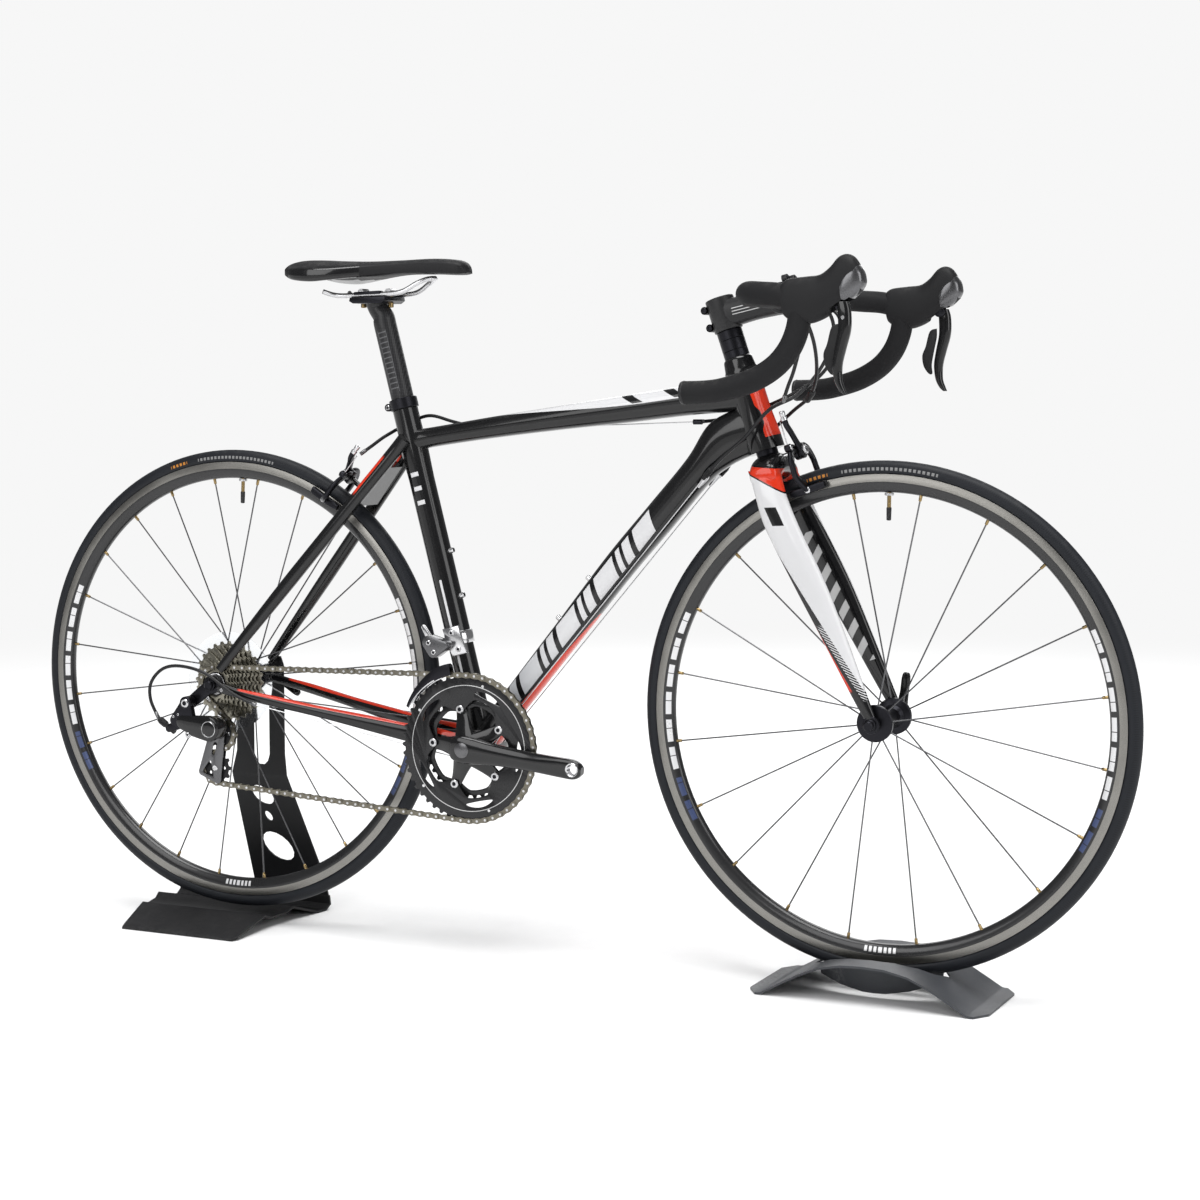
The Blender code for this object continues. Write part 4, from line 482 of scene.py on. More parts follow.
def seat_tube_paint(s, base):
    tube = s.tube(BOTTOM_BRACKET, 104.8)
    along, up = tube["Along"], tube["Up"]
    stripe = s.all_of(s.band(up, -0.003, 0.0005), s.band(along, 0.1, 0.235))
    marks = s.all_of(s.band(s.share_of(along, 0.02), 0.15, 0.45, 0.02), s.band(along, 0.335, 0.395),
        s.band(up, -0.006, 0.006))
    return s.mix(s.either(stripe, marks), base, tone("paint_white"))


def chainstay_paint(s, base):
    tube = s.tube(side_point(0.0, -0.002), -9.6)
    along, up = tube["Along"], tube["Up"]
    upper = s.all_of(s.band(up, s.ramp(along, 0.05, 0.38, 0.003, 0.0075), 0.014),
        s.band(along, 0.045, 0.4, 0.004))
    return s.mix(upper, base, tone("paint_red"))


def seatstay_paint(s, base):
    tube = s.tube(side_point(*STAY_FOOT), 49.8)
    along, up = tube["Along"], tube["Up"]
    accent = s.all_of(s.band(up, 0.004, 0.012), s.band(along, 0.345, 0.412, 0.004))
    return s.mix(accent, base, tone("paint_red"))


def fork_paint(s, base):
    """White outer faces with a red rear edge, and light bars on the inner faces."""
    tube = s.tube(CROWN_SEAT, 109.0)
    leg = s.times(tube["Along"], -1.0)
    rake = s.math("MAXIMUM", s.times(s.minus(leg, 0.065), 0.15), 0.0)
    behind = s.plus(tube["Up"], rake)
    across = s.math("ABSOLUTE", tube["Across"])
    middle = s.plus(s.ramp(leg, 0.02, 0.14, 0.028, 0.0435), s.ramp(leg, 0.14, 0.37, 0.0, 0.008))
    outside = s.above(across, middle)
    front = s.minus(0.022, behind)
    wedge_top = s.times(front, 0.4)
    wedge_low = s.times(front, 0.95)
    wedge = s.all_of(s.above(leg, s.plus(wedge_top, 0.012)), s.below(leg, s.plus(wedge_low, 0.019)),
        s.above(across, 0.016))
    edge = s.minus(0.0393, s.times(leg, 0.145))
    rear = s.minus(0.0385, s.times(leg, 0.1))
    white = s.all_of(outside, s.above(leg, s.plus(wedge_low, 0.0215)), s.below(behind, edge))
    slant = s.plus(leg, behind)
    hatch = s.all_of(outside, s.band(leg, 0.24, 0.345, 0.004), s.below(behind, s.plus(edge, 0.008)),
        s.band(s.share_of(slant, 0.0042), 0.3, 0.7, 0.05))
    red = s.all_of(outside, s.band(leg, 0.19, 0.33, 0.003), s.above(behind, rear))
    mark = s.all_of(outside, s.band(s.minus(leg, s.times(front, 0.3)), 0.068, 0.094),
        s.band(behind, -0.006, 0.009))
    bars = s.all_of(s.below(across, middle), s.above(across, 0.03), s.band(leg, 0.115, 0.3),
        s.band(s.share_of(s.minus(leg, s.times(behind, 0.8)), 0.0265), 0.25, 0.7, 0.02),
        s.band(behind, -0.006, 0.012))
    painted = s.mix(s.either(white, hatch), base, tone("paint_white"))
    painted = s.mix(bars, painted, (0.5, 0.5, 0.5))
    painted = s.mix(mark, painted, tone("frame_black"))
    return s.mix(s.either(red, wedge), painted, tone("paint_red"))


def tyre_paint(axle):
    def paint(s, base):
        wheel = s.wheel(axle)
        turn, radius = wheel["Turn"], wheel["Radius"]
        ring = s.band(radius, RIM_RADIUS + 0.0045, RIM_RADIUS + 0.0085, 0.0003)
        words = s.band(s.share_of(turn, 0.019), 0.2, 0.8, 0.04)
        grey = s.all_of(ring, words, s.band(turn, -0.18, 0.22, 0.001))
        orange = s.all_of(ring, words, s.band(turn, -0.33, -0.24, 0.001))
        # Dashes round the tread shoulder, darker than the rubber: painted shade standing for tread grooves
        # that the mesh does not cut
        tread_groove_shade = s.all_of(s.band(s.share_of(turn, 0.009), 0.42, 0.58, 0.03),
            s.band(radius, 0.3255, 0.3305, 0.0004))
        painted = s.mix(grey, base, (0.22, 0.22, 0.22))
        painted = s.mix(tread_groove_shade, painted, (0.004, 0.004, 0.005))
        return s.mix(orange, painted, (0.48, 0.19, 0.03))
    return paint


def rim_paint(axle):
    def paint(s, base):
        wheel = s.wheel(axle)
        turn, radius = wheel["Turn"], wheel["Radius"]
        size = s.math("ABSOLUTE", turn)
        ring = s.band(radius, RIM_RADIUS - 0.0205, RIM_RADIUS - 0.0135, 0.0002)
        share = s.share_of(turn, 0.124)
        dash = s.all_of(s.band(share, 0.08, 0.88, 0.01),
            s.minus(1.0, s.band(share, 0.55, 0.58, 0.006)))
        white = s.all_of(ring, dash, s.band(size, 1.12, 1.86, 0.002))
        blue = s.all_of(ring, dash, s.band(size, 1.89, 2.09, 0.002))
        small = s.all_of(ring, s.band(s.share_of(turn, 0.021), 0.2, 0.8, 0.03),
            s.band(size, 3.07, 3.3, 0.001))
        painted = s.mix(s.either(white, small), base, (0.72, 0.72, 0.73))
        return s.mix(blue, painted, (0.05, 0.07, 0.16))
    return paint


def brake_track_paint(axle):
    def paint(s, base):
        line = s.lines(axle, 9000.0)
        return s.mix(line, base, (0.2, 0.195, 0.18))
    return paint


def ring_paint(s, base):
    """A chainring's turned face with one bright line inside the teeth."""
    wheel = s.wheel(BOTTOM_BRACKET)
    line = s.lines(BOTTOM_BRACKET, 5000.0)
    painted = s.mix(s.times(line, 0.4), base, (0.05, 0.05, 0.052))
    return s.mix(s.band(wheel["Radius"], 0.0868, 0.0878), painted, (0.62, 0.62, 0.62))


def cog_paint(s, base):
    line = s.lines(REAR_AXLE, 7000.0)
    return s.mix(line, base, tuple(c * 0.62 for c in colours().steel))


def fibre_paint(s, base):
    weave = s.group(weave_group(), scale=1500.0)["Weave"]
    return s.mix(s.times(weave, 0.5), base, (0.055, 0.055, 0.058))


def seatpost_paint(s, base):
    tube = s.tube(seat_point(0.5), 104.8)
    share = s.share_of(tube["Along"], 0.0145)
    outline = s.either(s.band(share, 0.1, 0.2, 0.02), s.band(share, 0.6, 0.7, 0.02),
        s.band(tube["Up"], -0.0065, -0.0058), s.band(tube["Up"], 0.0058, 0.0065))
    mask = s.all_of(outline, s.band(tube["Along"], 0.004, 0.092),
        s.band(tube["Up"], -0.0065, 0.0065))
    return s.mix(mask, fibre_paint(s, base), (0.11, 0.11, 0.115))


def stem_paint(s, base):
    tube = s.tube(CROWN_SEAT + STEER_UP * STEM_MIDDLE, 13.0)
    line = s.either(s.band(tube["Up"], 0.003, 0.004), s.band(tube["Up"], -0.001, 0.0),
        s.band(tube["Up"], -0.005, -0.004))
    mask = s.all_of(line, s.band(tube["Along"], 0.018, 0.06))
    return s.mix(mask, base, (0.55, 0.55, 0.55))


# name: colour, roughness, metallic, coat, grain scale, pebble, bump, wear, dust, graphics
FINISHES = {"fork_gloss": ("frame_black", 0.18, 0.0, 0.5, 500, 0.0, 0.01, 0.0, 0.02, fork_paint),
    "matte_fibre": ("satin_black", 0.38, 0.0, 0.1, 900, 0.0, 0.03, 0.0, 0.03, seatpost_paint),
    "black_metal": ("satin_black", 0.26, 0.5, 0.3, 1200, 0.0, 0.03, 0.35, 0.02, None),
    "lever_gloss": ("frame_black", 0.16, 0.0, 0.6, 700, 0.0, 0.01, 0.25, 0.01, None),
    "stem_black": ("satin_black", 0.42, 0.3, 0.0, 1500, 0.1, 0.05, 0.2, 0.02, stem_paint),
    "polished": ("silver", 0.16, 1.0, 0.0, 700, 0.0, 0.02, 0.0, 0.01, None),
    "brushed": ("silver", 0.32, 1.0, 0.0, 1400, 0.0, 0.05, 0.0, 0.01, None),
    "graphite": ("graphite", 0.28, 0.9, 0.2, 900, 0.0, 0.03, 0.4, 0.01, None),
    "spoke_steel": ("graphite", 0.3, 0.9, 0.0, 900, 0.0, 0.01, 0.0, 0.0, None),
    "cog_steel": ("steel", 0.3, 1.0, 0.0, 900, 0.0, 0.02, 0.1, 0.0, cog_paint),
    "ring_black": ("satin_black", 0.28, 0.6, 0.2, 900, 0.0, 0.02, 0.4, 0.0, ring_paint),
    "chain_bronze": ("bronze", 0.33, 1.0, 0.0, 900, 0.0, 0.03, 0.2, 0.0, None),
    "brass": ("brass", 0.26, 1.0, 0.0, 900, 0.0, 0.02, 0.0, 0.0, None),
    "tape_foam": ("tape_black", 0.72, 0.0, 0.0, 1700, 0.5, 0.2, 0.0, 0.05, None),
    "hood_rubber": ("tape_black", 0.6, 0.0, 0.0, 1400, 0.3, 0.12, 0.0, 0.05, None),
    "saddle_cover": ("tape_black", 0.5, 0.0, 0.0, 1300, 0.6, 0.16, 0.0, 0.05, None),
    "saddle_gloss": ("frame_black", 0.22, 0.0, 0.6, 900, 0.2, 0.03, 0.0, 0.03, None),
    "moulded": ("satin_black", 0.46, 0.0, 0.0, 1500, 0.2, 0.08, 0.1, 0.02, None),
    "housing": ("satin_black", 0.36, 0.0, 0.1, 1500, 0.0, 0.03, 0.0, 0.02, None),
    "stand_coat": ("stand_grey", 0.4, 0.0, 0.0, 1700, 0.5, 0.1, 0.2, 0.02, None),
    "stand_black": ("satin_black", 0.42, 0.0, 0.0, 1700, 0.5, 0.1, 0.1, 0.015, None)}
GLOSS = ("frame_black", 0.2, 0.0, 0.5, 500, 0.0, 0.01, 0.0, 0.02)
FINISHES |= {"gloss_black": (*GLOSS, None), "down_tube_gloss": (*GLOSS, down_tube_paint),
    "top_tube_gloss": (*GLOSS, top_tube_paint), "head_tube_gloss": (*GLOSS, head_tube_paint),
    "seat_tube_gloss": (*GLOSS, seat_tube_paint), "chainstay_gloss": (*GLOSS, chainstay_paint),
    "seatstay_gloss": (*GLOSS, seatstay_paint)}
for end, axle in (("front", FRONT_AXLE), ("rear", REAR_AXLE)):
    FINISHES[end + "_rubber"] = ("tyre_black", 0.5, 0.0, 0.0, 1200, 0.1, 0.08, 0.0, 0.04,
        tyre_paint(axle))
    FINISHES[end + "_rim_black"] = ("satin_black", 0.3, 0.2, 0.3, 900, 0.0, 0.02, 0.1, 0.02,
        rim_paint(axle))
    FINISHES[end + "_track"] = ("track_grey", 0.4, 1.0, 0.0, 1500, 0.0, 0.02, 0.0, 0.0,
        brake_track_paint(axle))


def finish(name):
    """The finish of that name, made the first time it is asked for."""
    found = bpy.data.materials.get(name)
    if found:
        return found
    colour_name, roughness, metallic, coat, scale, pebble, bump, wear, dust, graphics = FINISHES[name]
    material, s, shader = new_finish(name)
    shader.inputs["Metallic"].default_value = metallic
    shader.inputs["Coat Weight"].default_value = coat
    shader.inputs["Specular IOR Level"].default_value = 0.5 if metallic else 0.22
    shader.inputs["Coat Roughness"].default_value = 0.04
    colour = tone(colour_name)
    grain = s.group(grain_group(), scale=float(scale), pebble=pebble)
    base = s.mix(grain["Shade"], tuple(c * 0.82 for c in colour),
        tuple(min(1.0, c * 1.15) for c in colour))
    if graphics:
        base = graphics(s, base)
    if wear:
        mask = s.group(wear_group(), amount=wear)["Mask"]
        base = s.mix(mask, base, (0.3, 0.3, 0.3))
    if dust:
        mask = s.group(dust_group(), amount=dust)["Mask"]
        base = s.mix(mask, base, (0.42, 0.41, 0.39))
    rough = s.ramp(grain["Shade"], 0.0, 1.0, roughness * 0.88, min(1.0, roughness * 1.12))
    relief = s.node("ShaderNodeBump", {"Strength": bump, "Distance": 0.0006,
        "Height": grain["Height"]})
    links = material.node_tree.links
    links.new(base, shader.inputs["Base Color"])
    links.new(rough, shader.inputs["Roughness"])
    links.new(relief.outputs["Normal"], shader.inputs["Normal"])
    material.diffuse_color = (*colour, 1)
    return material


def clear_finish():
    """The clear plastic of the spoke guard, with fine scratches."""
    found = bpy.data.materials.get("clear_plastic")
    if found:
        return found
    material, s, shader = new_finish("clear_plastic")
    shader.inputs["Transmission Weight"].default_value = 1.0
    shader.inputs["IOR"].default_value = 1.2
    line = s.lines(REAR_AXLE, 2500.0)
    links = material.node_tree.links
    links.new(s.mix(line, (0.86, 0.88, 0.9), (0.95, 0.96, 0.97)), shader.inputs["Base Color"])
    links.new(s.ramp(line, 0.0, 1.0, 0.05, 0.16), shader.inputs["Roughness"])
    return material


# ---- mesh building
def flow(rows, steps):
    """Rows of numbers, with a smooth run of steps between each two of them."""
    padded = [rows[0], *rows, rows[-1]]
    made = []
    for a, b, c, d in zip(padded, padded[1:], padded[2:], padded[3:]):
        for step in range(steps):
            t = step / steps
            made.append([(2 * q + (r - p) * t + (2 * p - 5 * q + 4 * r - v) * t**2
                + (3 * q - p - 3 * r + v) * t**3) / 2 for p, q, r, v in zip(a, b, c, d)])
    made.append(list(rows[-1]))
    return made


def flow_points(points, steps):
    return [Vector(row) for row in flow([tuple(p) for p in points], steps)]


def round_the(axis):
    """Two unit vectors that span the plane across an axis."""
    across = axis.cross(Vector((0, 0, 1)))
    if across.length < 0.5:
        across = axis.cross(Vector((1, 0, 0)))
    across.normalize()
    return across, across.cross(axis).normalized()


def oval(centre, first, second, sides, power=2.0):
    """A ring with the half-axes first and second; a power over 2 squares it."""
    ring = []
    for i in range(sides):
        turn = 2 * pi * (i + 0.5) / sides
        a, b = (copysign(abs(v) ** (2 / power), v) for v in (cos(turn), sin(turn)))
        ring.append(centre + first * a + second * b)
    return ring


def circle(centre, radius, sides=16):
    """(x, z) points of a circle."""
    turns = [2 * pi * i / sides for i in range(sides)]
    return [(centre[0] + radius * cos(t), centre[1] + radius * sin(t)) for t in turns]


def mirrored(side, shared=0):
    """A profile given on one side, carried on to the other; its last points may be shared."""
    return side + [(radius, -along) for radius, along in reversed(side[:len(side) - shared])]


def outward(turn):
    """The direction at a turn round a wheel, from ahead and upwards."""
    return Vector((cos(turn), 0, sin(turn)))


def upward(turn):
    """The direction at a right angle to outward."""
    return Vector((-sin(turn), 0, cos(turn)))


def place_round(centre, radius, turn):
    """The (x, z) point at a turn and radius round a centre."""
    return centre.x + radius * cos(turn), centre.z + radius * sin(turn)


def hull_of(spots, sides=16):
    """The hull of circles, as (x, z) points: (forward, up, radius) each."""
    points = []
    for x, z, radius in spots:
        points += [Vector(p) for p in circle((x, z), radius, sides)]
    points.sort(key=lambda p: (p.x, p.y))
    hull = []
    for run in (points, points[::-1]):
        base = len(hull)
        for point in run:
            while len(hull) - base >= 2 and (hull[-1] - hull[-2]).cross(point - hull[-1]) <= 1e-12:
                hull.pop()
            hull.append(point)
        hull.pop()
    return [(REAR_AXLE.x + p.x, REAR_AXLE.z + p.y) for p in hull]


def new_object(name, data):
    """An object in the scene with the given mesh, light or camera."""
    obj = bpy.data.objects.new(name, data)
    bpy.context.scene.collection.objects.link(obj)
    return obj


def round_edges(obj, width, degrees):
    """Rounds the edges that turn by more than a few degrees."""
    rounding = obj.modifiers.new("Rounded edges", "BEVEL")
    rounding.width = width
    rounding.segments = 2
    rounding.limit_method = "ANGLE"
    rounding.angle_limit = radians(degrees)


class Piece:
    """Gathers the closed surfaces of one piece, each with its own finish."""

    def __init__(self):
        self.mesh = bmesh.new()
        self.finishes = []

    def index(self, name):
        if name not in self.finishes:
            self.finishes.append(name)
        return self.finishes.index(name)

    def skin(self, rings, name="black_metal", closed=False):
        """A surface through rings of points, capped at its ends unless closed."""
        rows = [[self.mesh.verts.new(p) for p in ring] for ring in rings]
        pairs = list(zip(rows, rows[1:] + rows[:1])) if closed else list(zip(rows, rows[1:]))
        faces = []
        count = len(rings[0])
        for first, second in pairs:
            for i in range(count):
                j = (i + 1) % count
                faces.append(self.mesh.faces.new((first[i], first[j], second[j], second[i])))
        if not closed:
            faces += [self.mesh.faces.new(rows[0]), self.mesh.faces.new(rows[-1])]
        bmesh.ops.recalc_face_normals(self.mesh, faces=faces)
        for face in faces:
            face.material_index = self.index(name)
        return faces

    def lathe(self, profile, origin, axis, sides, name="black_metal"):
        """A ring turned round an axis from a closed outline of (radius, along)."""
        across, over = round_the(axis)
        rings = []
        for i in range(sides):
            turn = 2 * pi * i / sides
            out = across * cos(turn) + over * sin(turn)
            rings.append([origin + out * radius + axis * along for radius, along in profile])
        return self.skin(rings, name, closed=True)

    def turned(self, profile, origin, axis, sides, name="black_metal"):
        """A solid rod turned from (radius, along) steps, with flat ends."""
        across, over = round_the(axis)
        rings = []
        for radius, along in profile:
            turns = [2 * pi * i / sides for i in range(sides)]
            rings.append([origin + axis * along + (across * cos(t) + over * sin(t)) * radius
                for t in turns])
        return self.skin(rings, name)

    def bolt(self, origin, axis, radius, height, name="polished"):
        """A socket-head bolt whose head stands out along the axis."""
        chamfer = radius * 0.18
        self.lathe([(radius * 0.52, height * 0.35), (radius * 0.52, height),
            (radius - chamfer, height), (radius, height - chamfer), (radius, -0.001),
            (radius * 0.3, -0.001)], origin, axis, 20, name)
        self.turned([(radius * 0.53, 0.0), (radius * 0.53, height * 0.4)], origin, axis, 6)

    def rod(self, points, radii, name, sides=16):
        """A round rod along points, with one radius or one for each."""
        if not isinstance(radii, (list, tuple)):
            radii = [radii] * len(points)
        across = None
        rings = []
        for i, (point, radius) in enumerate(zip(points, radii)):
            before, after = points[max(i - 1, 0)], points[min(i + 1, len(points) - 1)]
            tangent = (after - before).normalized()
            if across is None:
                across = round_the(tangent)[0]
            across = (across - tangent * across.dot(tangent)).normalized()
            rings.append(oval(point, across * radius, tangent.cross(across) * radius, sides))
        return self.skin(rings, name)

    def blade(self, stations, name, sides=36, power=2.3, steps=8):
        """A limb seen from the side, through (upper edge, lower edge, y, half width)."""
        rows = flow([(*upper, *lower, y, half) for upper, lower, y, half in stations], steps)
        rings = []
        for ux, uz, lx, lz, y, half in rows:
            top, bottom = side_point(ux, uz, y), side_point(lx, lz, y)
            rings.append(oval((top + bottom) / 2, (top - bottom) / 2, ACROSS * half, sides, power))
        return self.skin(rings, name)

    def plate(self, outline, low, high, name="black_metal", round_over=0.0, holes=()):
        """An (x, z) outline with holes, given thickness along Y."""
        loops = [outline, *holes]
        flat = bmesh.new()
        edges = []
        for loop in loops:
            verts = [flat.verts.new((x, low, z)) for x, z in loop]
            edges += [flat.edges.new((a, b)) for a, b in zip(verts, verts[1:] + verts[:1])]
        bmesh.ops.triangle_fill(flat, edges=edges, use_beauty=True, use_dissolve=False)
        bmesh.ops.dissolve_limit(flat, angle_limit=0.01, verts=flat.verts, edges=flat.edges)
        made = bmesh.ops.extrude_face_region(flat, geom=flat.faces[:])
        moved = [v for v in made["geom"] if isinstance(v, bmesh.types.BMVert)]
        bmesh.ops.translate(flat, verts=moved, vec=(0, high - low, 0))
        bmesh.ops.recalc_face_normals(flat, faces=flat.faces)
        if round_over:
            rims = [e for e in flat.edges if len(e.link_faces) == 2 and e.calc_face_angle() > 0.7
                and abs(e.verts[0].co.y - e.verts[1].co.y) < 1e-7]
            bmesh.ops.bevel(flat, geom=rims, offset=round_over, segments=2, affect="EDGES",
                profile=0.5)
        lift = {v: self.mesh.verts.new(v.co) for v in flat.verts}
        for face in flat.faces:
            copy = self.mesh.faces.new([lift[v] for v in face.verts])
            copy.material_index = self.index(name)
        flat.free()

    def gear(self, centre, teeth, y, half, inner, name, holes=(), height=0.0042, width=0.5):
        """A toothed ring: inner is an outline or the radius of its bore."""
        root = pitch_radius(teeth) - height * 0.62
        tip = root + height
        outline = []
        step = 2 * pi / teeth
        for i in range(teeth):
            for share, radius in ((-0.5, root), (-0.3, root + 0.0002), (-0.13, tip), (0.13, tip),
                (0.3, root + 0.0002)):
                turn = (i + share * width * 2) * step
                outline.append(place_round(centre, radius, turn))
        bore = circle((centre.x, centre.z), inner, 48) if isinstance(inner, float) else inner
        self.plate(outline, y - half, y + half, name, 0.0002, [bore, *holes])

    def place(self, name, body, slot, *nodes, smooth=38.0, edge=None):
        """Makes the object, puts it on its CAD body and hides the nodes that it stands for."""
        mesh = bpy.data.meshes.new(name)
        self.mesh.to_mesh(mesh)
        self.mesh.free()
        obj = new_object(name, mesh)
        for made in self.finishes:
            mesh.materials.append(clear_finish() if made == "clear_plastic" else finish(made))
        mesh.shade_smooth()
        mesh.set_sharp_from_angle(angle=radians(smooth))
        if edge:
            round_edges(obj, edge, smooth)
        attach(obj, body)
        if nodes:
            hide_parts(*nodes)
        return obj


def carve(obj, *cutters):
    """Cuts the given pieces' meshes out of an object for good."""
    for piece in cutters:
        mesh = bpy.data.meshes.new("cutter")
        piece.mesh.to_mesh(mesh)
        piece.mesh.free()
        cutter = new_object("cutter", mesh)
        change = obj.modifiers.new("Cut", "BOOLEAN")
        change.object = cutter
        change.solver = "EXACT"
        change.use_self = True
        bpy.context.view_layer.update()
        graph = bpy.context.evaluated_depsgraph_get()
        made = bpy.data.meshes.new_from_object(obj.evaluated_get(graph))
        obj.modifiers.clear()
        made.name = obj.name
        obj.data = made
        bpy.data.objects.remove(cutter, do_unlink=True)
        obj.data.shade_smooth()
        obj.data.set_sharp_from_angle(angle=radians(38))


def refined(node, name, body, edge, smooth=25.0):
    """A clean copy of a CAD node with rounded edges, which stands for it."""
    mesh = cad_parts[node].data.copy()
    mesh.name = node + "_refined"
    shape = bmesh.new()
    shape.from_mesh(mesh)
    bmesh.ops.remove_doubles(shape, verts=shape.verts, dist=1e-6)
    bmesh.ops.dissolve_limit(shape, angle_limit=radians(0.05), verts=shape.verts, edges=shape.edges)
    shape.to_mesh(mesh)
    shape.free()
    mesh.materials.clear()
    mesh.materials.append(finish(name))
    obj = new_object(node + "_shown", mesh)
    if mesh.has_custom_normals:
        mesh.attributes.remove(mesh.attributes["custom_normal"])
    mesh.shade_smooth()
    mesh.set_sharp_from_angle(angle=radians(smooth))
    round_edges(obj, edge, smooth)
    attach(obj, body)
    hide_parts(node)
    return obj


class BicycleOperator:
    """Shared settings of the operators that add pieces."""
    bl_options = {"REGISTER", "UNDO"}


# ---- wheels
WHEELS = (("front", FRONT_AXLE, radians(0.6)), ("rear", REAR_AXLE, radians(2.4)))


class BICYCLE_OT_tyres(BicycleOperator, bpy.types.Operator):
    """Adds both tyres"""
    bl_idname = "bicycle.tyres"
    bl_label = "Tyres"

    def execute(self, context):
        sides = sizes().tread_sides
        seat = RIM_RADIUS - 0.005
        bead = RIM_HALF_WIDTH - 0.0019
        middle = TYRE_RADIUS - TYRE_HALF_WIDTH
        profile = [(seat, -bead), (RIM_RADIUS, -bead)]
        for i in range(27):
            turn = radians(-18 + 216 * i / 26)
            profile.append((middle + TYRE_HALF_WIDTH * sin(turn), -TYRE_HALF_WIDTH * cos(turn)))
        profile += [(RIM_RADIUS, bead), (seat, bead)]
        for prefix, axle, _ in WHEELS:
            tyre = Piece()
            tyre.lathe(profile, axle, ACROSS, sides, f"{prefix}_rubber")
            tyre.place(f"{prefix}_tyre_rubber", f"{prefix}_wheel", "tyre", f"{prefix}_tyre")
        return {"FINISHED"}


class BICYCLE_OT_rims(BicycleOperator, bpy.types.Operator):
    """Adds both rims with their brake tracks and valves"""
    bl_idname = "bicycle.rims"
    bl_label = "Rims and valves"

    def execute(self, context):
        sides = sizes().tread_sides
        wall, seat, width = RIM_HALF_WIDTH - 0.0016, RIM_RADIUS - 0.005, RIM_HALF_WIDTH
        track_low = RIM_RADIUS - 0.01
        profile = [(RIM_RADIUS, -width + 0.0003), (RIM_RADIUS, -wall), (seat, -wall), (seat, wall),
            (RIM_RADIUS, wall), (RIM_RADIUS, width - 0.0003), (RIM_RADIUS - 0.0004, width)]
        side = [(track_low, width), (track_low - 0.0003, width - 0.0004)]
        for i in range(1, 9):
            turn = pi / 2 * i / 8
            side.append((track_low - 0.0003 - 0.0137 * sin(turn) ** 1.15, (width - 0.0004)
                * cos(turn) ** 0.8))
        profile += mirrored(side, 1)
        profile.append((RIM_RADIUS - 0.0004, -width))
        for prefix, axle, turn in WHEELS:
            rim = Piece()
            for face in rim.lathe(profile, axle, ACROSS, sides, f"{prefix}_rim_black"):
                middle = face.calc_center_median() - axle
                if abs(middle.y) > width - 0.0002 and hypot(middle.x, middle.z) > track_low:
                    face.material_index = rim.index(f"{prefix}_track")
            out = Vector((sin(turn), 0, cos(turn)))
            bed = RIM_RADIUS - 0.024
            rim.turned([(0.0026, bed - 0.021), (0.0026, bed + 0.004)], axle, out, 16, "brass")
            rim.turned([(0.0055, bed - 0.004), (0.006, bed - 0.0034), (0.006, bed - 0.001),
                (0.0055, bed - 0.0004)], axle, out, 20, "brushed")
            rim.turned([(0.002, bed - 0.0358), (0.003, bed - 0.035), (0.0033, bed - 0.02),
                (0.003, bed - 0.019)], axle, out, 16, "moulded")
            rim.place(f"{prefix}_rim_shell", f"{prefix}_wheel", "rim", f"{prefix}_rim")
        return {"FINISHED"}


class BICYCLE_OT_hubs(BicycleOperator, bpy.types.Operator):
    """Adds both hubs with their spokes and nipples, and the spoke guard"""
    bl_idname = "bicycle.hubs"
    bl_label = "Hubs and spokes"

    def spoke(self, hub, axle, start, end):
        def place(radius, y, turn):
            return axle + Vector((sin(turn) * radius, y, cos(turn) * radius))

        first, last = place(*start), place(*end)
        along = (last - first).normalized()
        hub.rod([first, last], sizes().spoke_radius, "spoke_steel", 8)
        hub.rod([last - along * 0.0065, last - along * 0.0055, last - along * 0.002, last + along
            * 0.004], [0.0014, 0.0021, 0.0021, 0.0024], "brass", 8)
        hub.turned([(0.0024, -0.0012), (0.0024, 0.0012)], first, ACROSS, 10, "spoke_steel")

    def execute(self, context):
        reach = RIM_RADIUS - 0.0246
        hub = Piece()
        side = mm([(2.8, 49.7), (6.8, 49.7), (7.2, 49), (7.2, 43), (13, 42), (23.2, 41), (24, 40.2),
            (24, 35.8), (23.2, 35), (15, 33.5), (11.2, 29), (10.8, 15)])
        profile = mirrored(side)
        hub.lathe(profile, FRONT_AXLE, ACROSS, 48)
        for i in range(20):
            y = 0.038 if i % 2 else -0.038
            turn = 2 * pi * (i + 0.5) / 20
            self.spoke(hub, FRONT_AXLE, (0.0205, y, turn), (reach, y * 0.05, turn))
        hub.place("front_hub_spoked", "front_wheel", "black_metal", "front_hub")
        hub = Piece()
        profile = mm([(2.8, 64.7), (8.2, 64.7), (8.5, 64), (8.5, 40), (20, 38.8), (21.5, 38),
            (21.5, 34.6), (20.5, 33.8), (14, 31), (12.5, 26), (12.5, -12), (15, -15), (22.2, -16.3),
            (23, -17), (23, -19), (16.5, -20), (16.5, -61.2), (8.5, -61.2), (8.5, -64),
            (8.2, -64.7), (2.8, -64.7)])
        hub.lathe(profile, REAR_AXLE, ACROSS, 48)
        for i in range(24):
            turn = 2 * pi * (i + 0.5) / 24
            y, lean = 0.0362, 0.0
            if i % 2 == 0:
                crossing = 1 if (i // 2) % 2 else -1
                y, lean = -0.018 + crossing * 0.0006, crossing * pi / 3
            self.spoke(hub, REAR_AXLE, (0.0195, y, turn + lean), (reach, y * 0.05, turn))
        hub.place("rear_hub_spoked", "rear_wheel", "black_metal", "rear_hub")
        guard = Piece()
        rim = mm([(25, -22), (25, -21.4), (50, -21.3), (70.5, -21.3), (71.5, -21.6), (71.5, -21.9),
            (70.5, -22)])
        guard.lathe(rim, REAR_AXLE, ACROSS, 96, "clear_plastic")
        guard.place("spoke_guard_disc", "rear_wheel", "clear", "spoke_guard")
        return {"FINISHED"}


